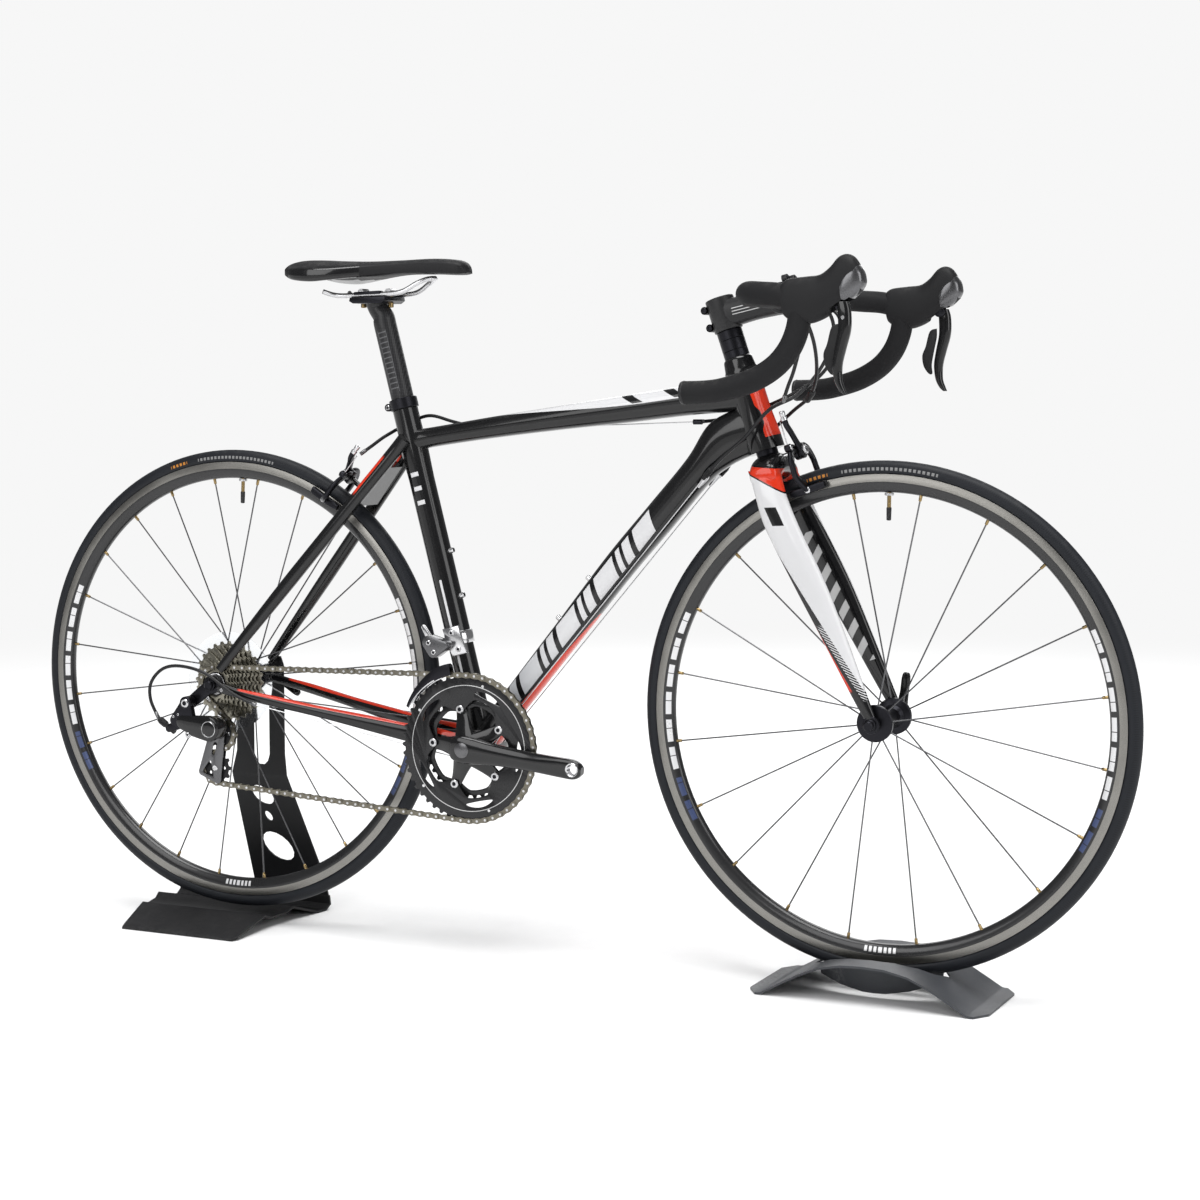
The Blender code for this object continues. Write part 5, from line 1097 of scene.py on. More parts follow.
class BICYCLE_OT_skewers(BicycleOperator, bpy.types.Operator):
    """Adds the two skewers and their levers"""
    bl_idname = "bicycle.skewers"
    bl_label = "Skewers"

    def execute(self, context):
        edge = sizes().edge_round
        kinds = (("front", FRONT_AXLE, -0.0571, -0.068, 0.0571, 0.064, Vector((0.1, 0, 0.995)),
            0.054, "steering"), ("rear", REAR_AXLE, -0.0718, -0.081, 0.0756, 0.081,
            Vector((0.84, 0, -0.54)), 0.056, "frame"))
        for prefix, axle, nut_in, nut_out, cam_in, cam_out, direction, length, body in kinds:
            skewer = Piece()
            skewer.turned([(0.0025, nut_out + 0.001), (0.0025, cam_out - 0.001)], axle, ACROSS, 16,
                "brushed")
            skewer.turned([(0.005, nut_out), (0.0064, nut_out + 0.0012), (0.0066, nut_in - 0.004),
                (0.0079, nut_in - 0.003), (0.0079, nut_in)], axle, ACROSS, 28)
            skewer.turned([(0.0077, cam_in), (0.0077, cam_in + 0.0025), (0.0068, cam_in + 0.0035),
                (0.0068, cam_out - 0.0006), (0.006, cam_out)], axle, ACROSS, 28)
            skewer.place(f"{prefix}_skewer_rod", body, "black_metal", f"{prefix}_skewer")
            direction = direction.normalized()
            across = Vector((-direction.z, 0, direction.x))
            spots = ((-0.0005, 0.006, 0.0, 0.0036), (0.003, 0.0073, 0.0, 0.0038),
                (0.01, 0.0074, 0.0003, 0.0036), (0.5 * length, 0.0062, 0.0035, 0.0026),
                (0.85 * length, 0.006, 0.0044, 0.0024), (0.97 * length, 0.0045, 0.0046, 0.002),
                (length, 0.0022, 0.0046, 0.0014))
            rings = []
            for along, half, out, thick in flow(spots, 5):
                centre = axle + direction * along + ACROSS * (cam_out + 0.0045 + out)
                rings.append(oval(centre, across * half, ACROSS * thick, 28, 2.8))
            lever = Piece()
            lever.skin(rings, "lever_gloss")
            lever.place(f"{prefix}_skewer_handle", f"{prefix}_skewer_lever", "black_metal",
                f"{prefix}_skewer_lever", edge=edge)
        return {"FINISHED"}


# ---- frame
def stay_width(share):
    """(distance from the middle, half width, half depth) at a share of a seatstay."""
    y = 0.0684 + (0.0215 - 0.0684) * share**1.15
    grow = min(1, share * 3)
    return y, 0.003 + 0.0045 * grow, 0.006 + 0.0035 * grow


class BICYCLE_OT_frame_tubes(BicycleOperator, bpy.types.Operator):
    """Adds the head, top, down and seat tubes and the bottom bracket shell"""
    bl_idname = "bicycle.frame_tubes"
    bl_label = "Frame tubes"

    def execute(self, context):
        head = Piece()
        head.lathe(mm([(14.6, 0.4), (24, 0.4), (24.5, 1), (24.5, 19), (23.8, 30), (22.6, 46),
            (22.2, 60), (22.2, 90), (22.6, 98), (22.5, 101.8), (14.6, 101.8)]), CROWN_SEAT,
            STEER_UP, 64, "head_tube_gloss")
        head.place("head_tube_shell", "frame", "carbon", "head_tube")
        top = Piece()
        top.blade(mm((((286, 367.5), (288, 332), 0, 13.5), ((306, 367.5), (306, 336.5), 0, 15.8),
            ((330, 370.5), (330, 342.5), 0, 15.2), ((420, 385), (421, 355.5), 0, 16),
            ((526, 401), (530, 368.5), 0, 17.5), ((620, 415), (625, 378.5), 0, 19),
            ((700, 427), (705, 388), 0, 20), ((770, 436.5), (775, 394), 0, 20.5),
            ((795, 440), (800, 395), 0, 20))), "top_tube_gloss")
        top.place("top_tube_shell", "frame", "carbon", "top_tube")
        down = Piece()
        down.blade(mm((((392, -50), (424, -74), 0, 23), ((415, -22), (444, -48), 0, 21.2),
            ((444, 13), (471, -15), 0, 20.5), ((520, 106.5), (549, 78.5), 0, 20.8),
            ((595, 200), (627, 172), 0, 21.2), ((655, 268), (686, 238), 0, 21.2),
            ((711, 332), (741, 300), 0, 21), ((742, 378), (771, 323), 0, 20.2),
            ((780, 398), (798, 336), 0, 20.5), ((812, 404), (822, 344), 0, 19))), "down_tube_gloss")
        for forward, up in ((0.522, 0.1105), (0.567, 0.1665)):
            down.bolt(side_point(forward, up), Vector((-0.763, 0, 0.646)), 0.004, 0.0055)
        down.place("down_tube_shell", "frame", "carbon", "down_tube")
        seat = Piece()
        seat.lathe(mm([(16.1, 292), (16.1, 478.8), (17.2, 478.8), (17.75, 478.2), (17.75, 460),
            (18, 445), (19, 420), (18.2, 395), (17.75, 380), (17.75, 60), (19, 40), (21.5, 18),
            (10, 18), (10, 292)]), BOTTOM_BRACKET, SEAT_UP, 56, "seat_tube_gloss")
        for along in (0.208, 0.272):
            seat.bolt(seat_point(along, 0.0177), SEAT_AHEAD, 0.004, 0.006)
        seat.place("seat_tube_shell", "frame", "carbon", "seat_tube")
        shell = Piece()
        half = mm([(12.3, 39.2), (19.8, 39.2), (20.5, 38.6), (20.5, 34.2), (22.6, 34.2), (23.4, 33),
            (24, 20), (24.6, 0)])
        shell.lathe(mirrored(half, 1), BOTTOM_BRACKET, ACROSS, 56, "gloss_black")
        for i in range(16):
            turn = 2 * pi * i / 16
            spot = BOTTOM_BRACKET + outward(turn) * 0.0206
            shell.turned([(0.0016, -0.0388), (0.0016, -0.0345)], spot, ACROSS, 6)
        shell.place("bracket_shell", "frame", "carbon", "bottom_bracket_shell")
        return {"FINISHED"}


class BICYCLE_OT_stays(BicycleOperator, bpy.types.Operator):
    """Adds the chainstays, seatstays and brake bridge"""
    bl_idname = "bicycle.stays"
    bl_label = "Stays"

    def execute(self, context):
        along = (STAY_HEAD - STAY_FOOT).normalized()
        out = Vector((-along.y, along.x))
        chain_rows = mm((((404, -46), (404, -90), 20, 10), ((380, -47), (380, -84), 26, 8),
            ((350, -47), (350, -78), 27.5, 7.5), ((292, -42), (292, -67), 31.5, 7.5),
            ((255, -36), (255, -59), 36.5, 8.5), ((166, -23.5), (166, -39.5), 50, 8.5),
            ((90, -10.5), (90, -25.5), 62.5, 6.2), ((40, -3), (40, -16.5), 68.3, 3),
            ((4, 6), (4, -10), 68.5, 2.8)))
        for side, word in SIDES:
            stay = Piece()
            stay.blade([(u, l, y * side, half) for u, l, y, half in chain_rows], "chainstay_gloss",
                28)
            inner, outer = sorted((0.0656 * side, 0.0713 * side))
            eye = circle((REAR_AXLE.x, REAR_AXLE.z), 0.003, 20)
            shape = hull_of(((0, 0, 0.0132),), 40)
            stay.plate(shape, inner, outer, "black_metal", 0.0006, [eye])
            if side == RIGHT:
                neck = hull_of(((-0.008, -0.006, 0.0095), (HANGER[0], HANGER[1], 0.009)), 24)
                stay.plate(neck, inner + 0.0006, outer - 0.0006, "black_metal", 0.0005)
                for forward, up in ((-0.006, -0.02), (0.017, -0.007)):
                    stay.bolt(side_point(forward, up, -0.07), -ACROSS, 0.0025, 0.0016)
            stay.place(f"{word}_chainstay_shell", "frame", "carbon", f"{word}_chainstay")
            stay = Piece()
            rows = []
            for share in (0.035, 0.08, 0.2, 0.4, 0.6, 0.8, 0.97, 1.03):
                y, half_width, half_depth = stay_width(min(1.0, share))
                middle = STAY_FOOT.lerp(STAY_HEAD, share)
                rows.append((tuple(middle + out * half_depth), tuple(middle - out * half_depth), y
                    * side, half_width))
            stay.blade(rows, "seatstay_gloss", 28)
            stay.place(f"{word}_seatstay_shell", "frame", "carbon", f"{word}_seatstay")
        refined("brake_bridge", "gloss_black", "frame", 0.0012)
        return {"FINISHED"}


# ---- seat
RAIL_HALF = mm(((172, 36, 557.5), (190, 23.5, 552), (235, 22, 553), (285, 22, 555),
    (312, 16.5, 568), (324, 9, 573.5), (330, 0, 574.5)))
SADDLE_ROWS = mm(((114.5, 595.5, 585, 36), (117, 598.5, 580, 46), (122, 600.5, 575, 54),
    (140, 602.5, 566.5, 65), (170, 602, 563.5, 68), (200, 600.5, 568, 60), (240, 599.5, 575, 40),
    (280, 600, 580, 28), (330, 601.5, 580, 21), (365, 599.5, 578.5, 18.5), (378, 596, 579, 15.5),
    (384, 590, 581.5, 9)))


class BICYCLE_OT_seat(BicycleOperator, bpy.types.Operator):
    """Adds the seat clamp, seatpost, rails and saddle"""
    bl_idname = "bicycle.seat"
    bl_label = "Seat"

    def saddle(self):
        """A crowned pad over a thin shell, with glossy panels on its rear wings."""
        pad = Piece()
        sides = 44
        rings = []
        for x, top, low, half in flow(SADDLE_ROWS, 7):
            ring = []
            wing = max(0.0, min(1.0, (half - 0.03) / 0.036))
            for i in range(sides):
                turn = 2 * pi * (i + 0.5) / sides
                out, rise = cos(turn), sin(turn)
                y = half * copysign(abs(out) ** 0.78, out)
                share = abs(y) / half
                if rise > 0:
                    z = top - (0.004 + 0.008 * wing) * share**2.6 - 0.0045 * (1 - rise**0.55)
                    z -= 0.0022 * wing * exp(-((y / 0.012) ** 2))
                else:
                    skirt = low + (top - low) * 0.42 * wing * (1 - share**2.2)
                    z = skirt + (top - 0.012 - skirt) * (1 - abs(rise) ** 0.45) * 0.6
                ring.append(side_point(x, z, y))
            rings.append(ring)
        for face in pad.skin(rings, "saddle_cover"):
            middle = face.calc_center_median()
            forward, up = middle.x - REAR_AXLE.x, middle.z - REAR_AXLE.z
            if abs(middle.y) > 0.04 and up < 0.5925 and 0.13 < forward < 0.235:
                face.material_index = pad.index("saddle_gloss")
        obj = pad.place("saddle_pad", "seat", "saddle", "saddle", smooth=60.0)

    def execute(self, context):
        low = SEAT_TUBE_LENGTH + 0.0005
        clamp = Piece()
        clamp.lathe([(0.0163, low), (0.019, low), (0.0197, low + 0.0008), (0.0197, low + 0.0138),
            (0.019, low + 0.0146), (0.0163, low + 0.0146)], BOTTOM_BRACKET, SEAT_UP, 56)
        ear = seat_point(low + 0.0073, -SEAT_TUBE_RADIUS - 0.0033)
        clamp.turned(mm([(5, -9.8), (5.4, -9), (5.4, 9), (5, 9.8)]), ear, ACROSS, 24)
        clamp.bolt(ear - ACROSS * 0.0095, -ACROSS, 0.0034, 0.0014)
        clamp.place("seat_clamp_band", "frame", "black_metal", "seat_clamp")
        post = Piece()
        post.turned([(0.015, 0.364), (SEATPOST_RADIUS, 0.365), (SEATPOST_RADIUS, 0.596)],
            BOTTOM_BRACKET, SEAT_UP, 56, "matte_fibre")
        neck = [seat_point(0.59), seat_point(0.603), seat_point(0.612, 0.0005),
            side_point(0.24, 0.534), side_point(0.2385, 0.5415)]
        post.rod(flow_points(neck, 4), [row[0] for row in flow(((0.0158,), (0.0157,), (0.015,),
            (0.014,), (0.0165,)), 4)], "matte_fibre", 40)
        cradle = mm([(209, 544), (215, 540.8), (261, 540.8), (267, 545), (266, 550), (210.5, 549)])
        lower = [(REAR_AXLE.x + x, REAR_AXLE.z + z) for x, z in cradle]
        post.plate(lower, -0.0285, 0.0285, "black_metal", 0.001)
        for side, _ in SIDES:
            cap = hull_of(mm(((218, 554.5, 2.2), (256, 556, 2.2))), 16)
            post.plate(cap, *sorted((0.0165 * side, 0.0275 * side)), "black_metal", 0.0008)
        for forward in (0.2165, 0.26):
            post.bolt(side_point(forward, 0.5408), Vector((0, 0, -1)), 0.004, 0.0055, "brass")
            post.turned([(0.0022, 0.0), (0.0022, 0.018)], side_point(forward, 0.539),
                Vector((0, 0, 1)), 12, "brass")
            post.turned([(0.0046, -0.009), (0.0046, 0.009)], side_point(forward, 0.5572), ACROSS,
                16, "brushed")
        post.place("seatpost_shell", "seat", "carbon", "seatpost")
        right = [side_point(x, z, -y) for x, y, z in RAIL_HALF]
        left = [side_point(x, z, y) for x, y, z in RAIL_HALF[:-1]]
        rails = Piece()
        rails.rod(flow_points(right + left[::-1], 6), 0.0035, "brushed", 16)
        rails.place("saddle_rails_rod", "seat", "alloy", "saddle_rails")
        self.saddle()
        return {"FINISHED"}


# ---- fork, stem and bars
BAR_BENDS = mm(((4.6, 150, 0.8), (19, 176, 1.4), (40, 189, 0), (64, 195.5, -2), (81, 197, -8),
    (90.5, 197, -23), (88.5, 197, -44), (78, 197, -68), (59, 197, -89), (30, 197, -105.5),
    (-6, 197, -116), (-30, 197, -119.5), (-60, 197, -120.5)))


class BICYCLE_OT_fork(BicycleOperator, bpy.types.Operator):
    """Adds the fork, headset cover and spacers"""
    bl_idname = "bicycle.fork"
    bl_label = "Fork and headset"

    def execute(self, context):
        fork = Piece()
        fork.turned([(0.0143, -0.012), (0.0143, 0.2078)], CROWN_SEAT, STEER_UP, 40)
        rows = []
        for y in mm((-43, -40, -30, -12, 12, 30, 40, 43)):
            size = abs(y)
            ahead = 0.0235 if size < 0.02 else 0.0215 if size < 0.035 else 0.0185 if size < 0.042 else 0.014
            rise = 0.0178 if size < 0.02 else 0.0165 if size < 0.035 else 0.0135 if size < 0.042 else 0.01
            rows.append((y, -0.018 - size * 0.35, ahead, rise))
        rings = [oval(steer_point(drop, 0, y), STEER_AHEAD * ahead, STEER_UP * rise, 40, 2.4) for y,
            drop, ahead, rise in flow(rows, 4)]
        fork.skin(rings, "fork_gloss")
        legs = mm((((853, 318), (808, 318), 29, 10.8), ((858, 305), (815, 305), 34.5, 10.6),
            ((866, 285), (823, 285), 39.5, 10.2), ((884, 248), (838, 245), 43, 9.2),
            ((922, 176), (877, 176), 46, 8.5), ((955, 100), (921, 102), 49, 7.5),
            ((983, 32), (961, 34), 52, 5.5), ((994, 6), (979, 5), 53.5, 3.3)))
        for side, _ in SIDES:
            fork.blade([(u, l, y * side, half) for u, l, y, half in legs], "fork_gloss", 36)
            inner, outer = sorted((0.0503 * side, 0.0567 * side))
            eye = circle((FRONT_AXLE.x, FRONT_AXLE.z), 0.003, 20)
            fork.plate(circle((FRONT_AXLE.x, FRONT_AXLE.z), 0.0114, 40), inner, outer,
                "black_metal", 0.0008, [eye])
        fork.turned([(0.004, 0.01), (0.004, 0.0485)], steer_point(-0.014), STEER_AHEAD, 20,
            "brushed")
        fork.place("fork_shell", "steering", "fork", "fork", smooth=45.0)
        stack = Piece()
        cover = HEAD_TUBE_LENGTH + 0.0003
        stack.lathe([(0.0146, cover), (0.0222, cover), (0.0226, cover + 0.001),
            (0.0226, cover + 0.0085), (0.0214, cover + 0.0105), (0.0196, cover + 0.0225),
            (0.0186, cover + 0.025), (0.0176, cover + 0.0258), (0.0146, cover + 0.0258)],
            CROWN_SEAT, STEER_UP, 56, "lever_gloss")
        low = cover + 0.026
        for height in (0.01, 0.015, 0.0122):
            stack.lathe([(0.0146, low), (0.0163, low), (0.0168, low + 0.0005),
                (0.0168, low + height - 0.0007), (0.0163, low + height - 0.0002),
                (0.0146, low + height - 0.0002)], CROWN_SEAT, STEER_UP, 48)
            low += height
        stack.place("headset_stack", "steering", "black_metal", "headset_spacers")
        return {"FINISHED"}


class BICYCLE_OT_stem(BicycleOperator, bpy.types.Operator):
    """Adds the stem, its faceplate and its bolts"""
    bl_idname = "bicycle.stem"
    bl_label = "Stem"

    def execute(self, context):
        stem = Piece()
        low, top = STACK_TOP + 0.0003, STACK_TOP + 0.0443
        stem.lathe([(0.0146, low), (0.0184, low), (0.019, low + 0.0008), (0.019, top - 0.001),
            (0.0182, top), (0.0146, top)], CROWN_SEAT, STEER_UP, 48, "stem_black")
        stem.turned([(0.015, top - 0.003), (0.015, top - 0.0002), (0.0142, top + 0.0002)],
            CROWN_SEAT, STEER_UP, 40)
        stem.bolt(steer_point(top - 0.0006), STEER_UP, 0.0045, 0.0009, "brushed")
        base = CROWN_SEAT + STEER_UP * STEM_MIDDLE
        rings = []
        for along, half_width, half_up in flow(mm(((4, 17.5, 19.5), (20, 16.8, 18.5),
            (45, 15.8, 17.5), (70, 16.8, 18.5), (83, 18.5, 19.5))), 5):
            rings.append(oval(base + STEM_AHEAD * along, STEM_UP * half_up, ACROSS * half_width, 44,
                2.8))
        stem.skin(rings, "stem_black")
        self.clamp(stem, 80.0, 280.0, 0.0207)
        for side, _ in SIDES:
            for rise in (0.012, -0.012):
                spot = base + STEER_UP * rise - STEER_AHEAD * 0.0205
                stem.turned([(0.0052, -0.0115), (0.0052, 0.0115)], spot, ACROSS, 20, "stem_black")
                stem.bolt(spot + ACROSS * 0.0112 * side, ACROSS * side, 0.0038, 0.0016,
                    "black_metal")
        stem.place("stem_body", "steering", "black_metal", "stem", edge=0.0004)
        plate = Piece()
        self.clamp(plate, -78.0, 78.0, 0.0204)
        for side, _ in SIDES:
            for rise in (0.0235, -0.0235):
                spot = BAR_CENTRE + STEM_UP * rise + ACROSS * 0.0135 * side
                plate.turned(mm([(5.2, 4.4), (5.4, 5), (5.4, 11.5), (4.8, 12.2)]), spot, STEM_AHEAD,
                    20, "stem_black")
                plate.bolt(spot + STEM_AHEAD * 0.012, STEM_AHEAD, 0.0034, 0.0016, "black_metal")
        plate.place("stem_faceplate_shell", "steering", "black_metal", "stem_faceplate",
            edge=0.0004)
        return {"FINISHED"}

    def clamp(self, piece, start, end, half):
        """A curved band round the bar, from one turn to another in degrees from straight ahead."""
        rings = []
        for i in range(25):
            turn = radians(start + (end - start) * i / 24)
            out = STEM_AHEAD * cos(turn) + STEM_UP * sin(turn)
            rings.append([BAR_CENTRE + out * radius + ACROSS * y for radius,
                y in ((0.0161, -half), (0.02, -half), (0.0206, -half * 0.9), (0.0206, half * 0.9),
                (0.02, half), (0.0161, half))])
        piece.skin(rings, "stem_black")


class BICYCLE_OT_bars(BicycleOperator, bpy.types.Operator):
    """Adds the taped handlebar and the two hoods"""
    bl_idname = "bicycle.bars"
    bl_label = "Bars and hoods"

    def execute(self, context):
        half = [(0.0, 0.0, 0.0), (0.0, 0.0225, 0.0), (0.0, 0.03, 0.0), (0.0, 0.06, 0.0),
            (0.0, 0.125, 0.0)]
        radii = [0.0159, 0.0159, 0.015, TAPE_RADIUS, TAPE_RADIUS] + [TAPE_RADIUS] * len(BAR_BENDS)
        half += list(BAR_BENDS)
        left = [BAR_CENTRE + Vector((ahead, y, up)) for ahead, y, up in half]
        right = [Vector((p.x, -p.y, p.z)) for p in left[:0:-1]]
        route = flow_points(right + left, 7)
        radius = [row[0] for row in flow([(r,) for r in radii[:0:-1] + radii], 7)]
        bar = Piece()
        bar.rod(route, radius, "tape_foam", 28)
        for side, _ in SIDES:
            end = route[-1 if side == LEFT else 0]
            back = Vector((-1, 0, -0.03)).normalized()
            bar.turned(mm([(14.6, -2), (15, -0.5), (14, 2.2), (10, 3.4)]), end, back, 28, "moulded")
        bar.place("handlebar_taped", "steering", "tape", "handlebar", smooth=60.0)
        rows = mm(((918, 553, 513, 13.5), (926, 558, 508, 15), (948, 560.5, 504, 16.5),
            (966, 562.5, 509, 16), (979, 571, 517, 15.5), (990, 583, 524, 15.2),
            (1000, 586.5, 530, 14.8), (1009, 583, 537, 14.2), (1015.5, 574, 543, 12.5)))
        for side, word in SIDES:
            y = BAR_HALF_WIDTH * side
            hood = Piece()
            hood.blade([((x, top), (x + 0.004, low), y, half) for x, top, low, half in rows],
                "hood_rubber", 40, 2.4, 7)
            front = [((x, top), (x + 0.002, low), y, width) for x, top, low,
                width in mm(((995, 556, 530, 15), (999, 564, 529.5, 15.6), (1006, 574, 533, 15.2),
                (1013, 575.5, 539, 14), (1019, 569, 546, 11), (1021.5, 564, 551, 6.5)))]
            hood.blade(front, "graphite", 36, 2.8, 5)
            hood.bolt(side_point(0.992, 0.5235, y), Vector((0.25, 0, -0.97)), 0.003, 0.001)
            obj = hood.place(f"{word}_hood_cover", "steering", "hood", f"{word}_hood", smooth=50.0)
            pocket = Piece()
            pocket.turned([(0.0198, -0.0084 * side), (0.0198, 0.0106 * side)],
                side_point(0.9975, 0.517, y), ACROSS, 40, "hood_rubber")
            carve(obj, pocket)
        return {"FINISHED"}


class BICYCLE_OT_levers(BicycleOperator, bpy.types.Operator):
    """Adds the brake levers and shift paddles"""
    bl_idname = "bicycle.levers"
    bl_label = "Levers and paddles"

    def execute(self, context):
        spots = mm(((996, 530, 7.5, 5.5), (998.5, 518, 8.2, 6.2), (998.8, 496, 8, 6.2),
            (994, 474, 7.2, 5.8), (990.5, 455, 6.2, 5.4), (991.5, 437, 5, 5), (996, 426, 4.2, 4.6),
            (1000, 420.5, 2.6, 3.6)))
        outline = mm([(989.5, 504), (980, 500), (974.5, 480), (970, 468), (972, 454), (979, 444),
            (984, 444), (983, 456), (986, 474), (989.5, 492)])
        for side, word in SIDES:
            y = BAR_HALF_WIDTH * side
            rings = []
            for x, z, ahead, wide in flow(spots, 6):
                rings.append(oval(side_point(x, z, y + 0.004 * side), Vector((ahead, 0, 0)), ACROSS
                    * wide, 28, 2.5))
            lever = Piece()
            lever.skin(rings, "lever_gloss")
            lever.turned(mm([(6.6, -7.4), (7.4, -6.6), (7.4, 6.6), (6.6, 7.4)]),
                side_point(0.9935, 0.5265, y), ACROSS, 32)
            lever.turned([(0.0024, 0.009), (0.0024, 0.0106)], side_point(0.9985, 0.511, y), ACROSS
                * side, 16, "polished")
            lever.place(f"{word}_brake_lever_blade", f"{word}_brake_lever", "black_metal",
                f"{word}_brake_lever", smooth=50.0)
            paddle = Piece()
            loop = flow([*outline, outline[0]], 4)[:-1]
            points = [(REAR_AXLE.x + x, REAR_AXLE.z + z) for x, z in loop]
            low, high = sorted(((BAR_HALF_WIDTH - 0.005) * side, (BAR_HALF_WIDTH - 0.0015) * side))
            paddle.plate(points, low, high, "moulded", 0.0009)
            paddle.place(f"{word}_shift_paddle_blade", f"{word}_shift_paddle", "plastic",
                f"{word}_shift_paddle")
        return {"FINISHED"}


# ---- brakes
class BICYCLE_OT_brakes(BicycleOperator, bpy.types.Operator):
    """Adds the front and rear brake arms with their pads"""
    bl_idname = "bicycle.brakes"
    bl_label = "Brakes"

    def limb(self, arm, points, normal, rows, name):
        """A flat limb along points: rows give its half width and half depth."""
        route = flow_points(points, 5)
        sizes_along = flow(rows, 5)
        rings = []
        for i, point in enumerate(route):
            tangent = (route[min(i + 1, len(route) - 1)] - route[max(i - 1, 0)]).normalized()
            across = tangent.cross(normal).normalized()
            wide, deep = sizes_along[i]
            rings.append(oval(point, across * wide, normal * deep, 24, 3.0))
        arm.skin(rings, name)

    def arm(self, prefix, side, word, origin, ahead, up, axle):
        pad_ahead, pad_in = 0.045, RIM_HALF_WIDTH + 0.0021
        radius = RIM_RADIUS - 0.0055
        start = origin + ahead * pad_ahead - axle
        b, c = start.dot(up), start.length_squared - radius**2
        drop = b - sqrt(b * b - c)
        low, high = {RIGHT: (0.0368, 0.0428), LEFT: (0.0434, 0.0494)}[side]
        middle = (low + high) / 2
        arm = Piece()
        arm.lathe([(0.0042, low), (0.0098, low), (0.0105, low + 0.0008), (0.0105, high - 0.0008),
            (0.0098, high), (0.0042, high)], origin, ahead, 40)

        def at(y, z, along=middle):
            return origin + ahead * along + ACROSS * y * side + up * z

        pad_y = pad_in + 0.0085
        end = at(pad_y - 0.003, -drop, pad_ahead)
        path = [at(0, 0), at(0.012, 0.004), at(0.022, 0.001), at(0.031, -0.01), at(0.0335, -0.022),
            at(0.0325, -0.034), end]
        rows = mm(((7.5, 2.9), (7, 2.9), (6.4, 2.9), (5.8, 3), (5.2, 3.2), (5, 3.4), (5.6, 3.6)))
        self.limb(arm, path, ahead, rows, "black_metal")
        path = [at(0.004, 0.0005, high - 0.0004), at(0.02, 0.0005, high - 0.0004),
            at(0.03, -0.012, high - 0.0004)]
        self.limb(arm, path, ahead, mm(((2.2, 0.9), (2.6, 1), (1.8, 0.9))), "graphite")
        centre = origin + ahead * pad_ahead - up * drop
        tangent = (centre - axle).cross(ACROSS).normalized()
        out = tangent.cross(ACROSS).normalized()
        rings = []
        for along in [-0.0265 + 0.053 * i / 16 for i in range(17)]:
            bow = out * (-(along**2) / (2 * radius))
            tall = 0.0047 if abs(along) < 0.024 else 0.0034
            rings.append(oval(centre + tangent * along + bow + ACROSS * (pad_in + 0.002) * side, out
                * tall, ACROSS * 0.002, 16, 5.0))
        arm.skin(rings, "moulded")
        rings = []
        for along in [-0.024 + 0.048 * i / 16 for i in range(17)]:
            bow = out * (-(along**2) / (2 * radius))
            tall = 0.005 if abs(along) < 0.021 else 0.0038
            rings.append(oval(centre + tangent * along + bow + ACROSS * (pad_in + 0.0057) * side,
                out * tall, ACROSS * 0.0026, 16, 4.0))
        arm.skin(rings)
        arm.bolt(centre + ACROSS * (pad_y + 0.0004) * side, ACROSS * side, 0.0042, 0.002)
        if side == LEFT:
            horn = mm([(-2, 2), (-10, 12), (-18, 24), (-26.5, 34), (-28.5, 42)])
            path = [origin + ahead * middle + ACROSS * y + up * z for y, z in horn]
            self.limb(arm, path, ahead, mm(((6.5, 2.8), (5.8, 2.8), (5.2, 2.9), (4.8, 3.2),
                (4.2, 3.6))), "black_metal")
            top = origin + ahead * middle + ACROSS * -0.0288 + up * 0.042
            arm.lathe(mm([(1.2, -1), (4.2, -1), (4.4, 0), (4.4, 3), (3.3, 3.6), (3.3, 5.8),
                (3.7, 6.4), (3.7, 11.2), (3, 12), (1.2, 12)]), top, up, 24, "brushed")
            arm.lathe(mm([(3, 0), (6.2, 0), (6.6, 0.8), (6.6, 3), (5, 4.2), (3, 4.2)]), origin
                + ahead * (high + 0.0001), ahead, 6, "brushed")
        else:
            anchor = at(0.0275, 0.006)
            arm.turned(mm([(4.6, -4.2), (5, -3.6), (5, 3.6), (4.6, 4.2)]), anchor, ahead, 24)
            arm.bolt(anchor + ahead * 0.004, ahead, 0.0036, 0.0014)
            stretch = [anchor + up * -0.01, anchor, anchor + up * 0.036 + ACROSS * 0.0002]
            arm.rod(stretch, WIRE_RADIUS, "brushed", 8)
            arm.turned(mm([(0.8, 0), (1.3, 0.6), (1.3, 4.5), (0.8, 5)]), anchor - up * 0.015, up,
                10, "polished")
        arm.place(f"{prefix}_brake_{word}_arm_shell", f"{prefix}_brake_{word}_arm", "black_metal",
            f"{prefix}_brake_{word}_arm", smooth=50.0)

    def execute(self, context):
        along = (STAY_HEAD - STAY_FOOT).normalized()
        stay_up = Vector((along.x, 0, along.y))
        rear = side_point(*(STAY_FOOT + along * 0.343))
        places = (("front", steer_point(-0.014), STEER_AHEAD, STEER_UP, FRONT_AXLE),
            ("rear", rear, Vector((-along.y, 0, along.x)), stay_up, REAR_AXLE))
        for prefix, origin, ahead, up, axle in places:
            for side, word in SIDES:
                self.arm(prefix, side, word, origin, ahead, up, axle)
        return {"FINISHED"}


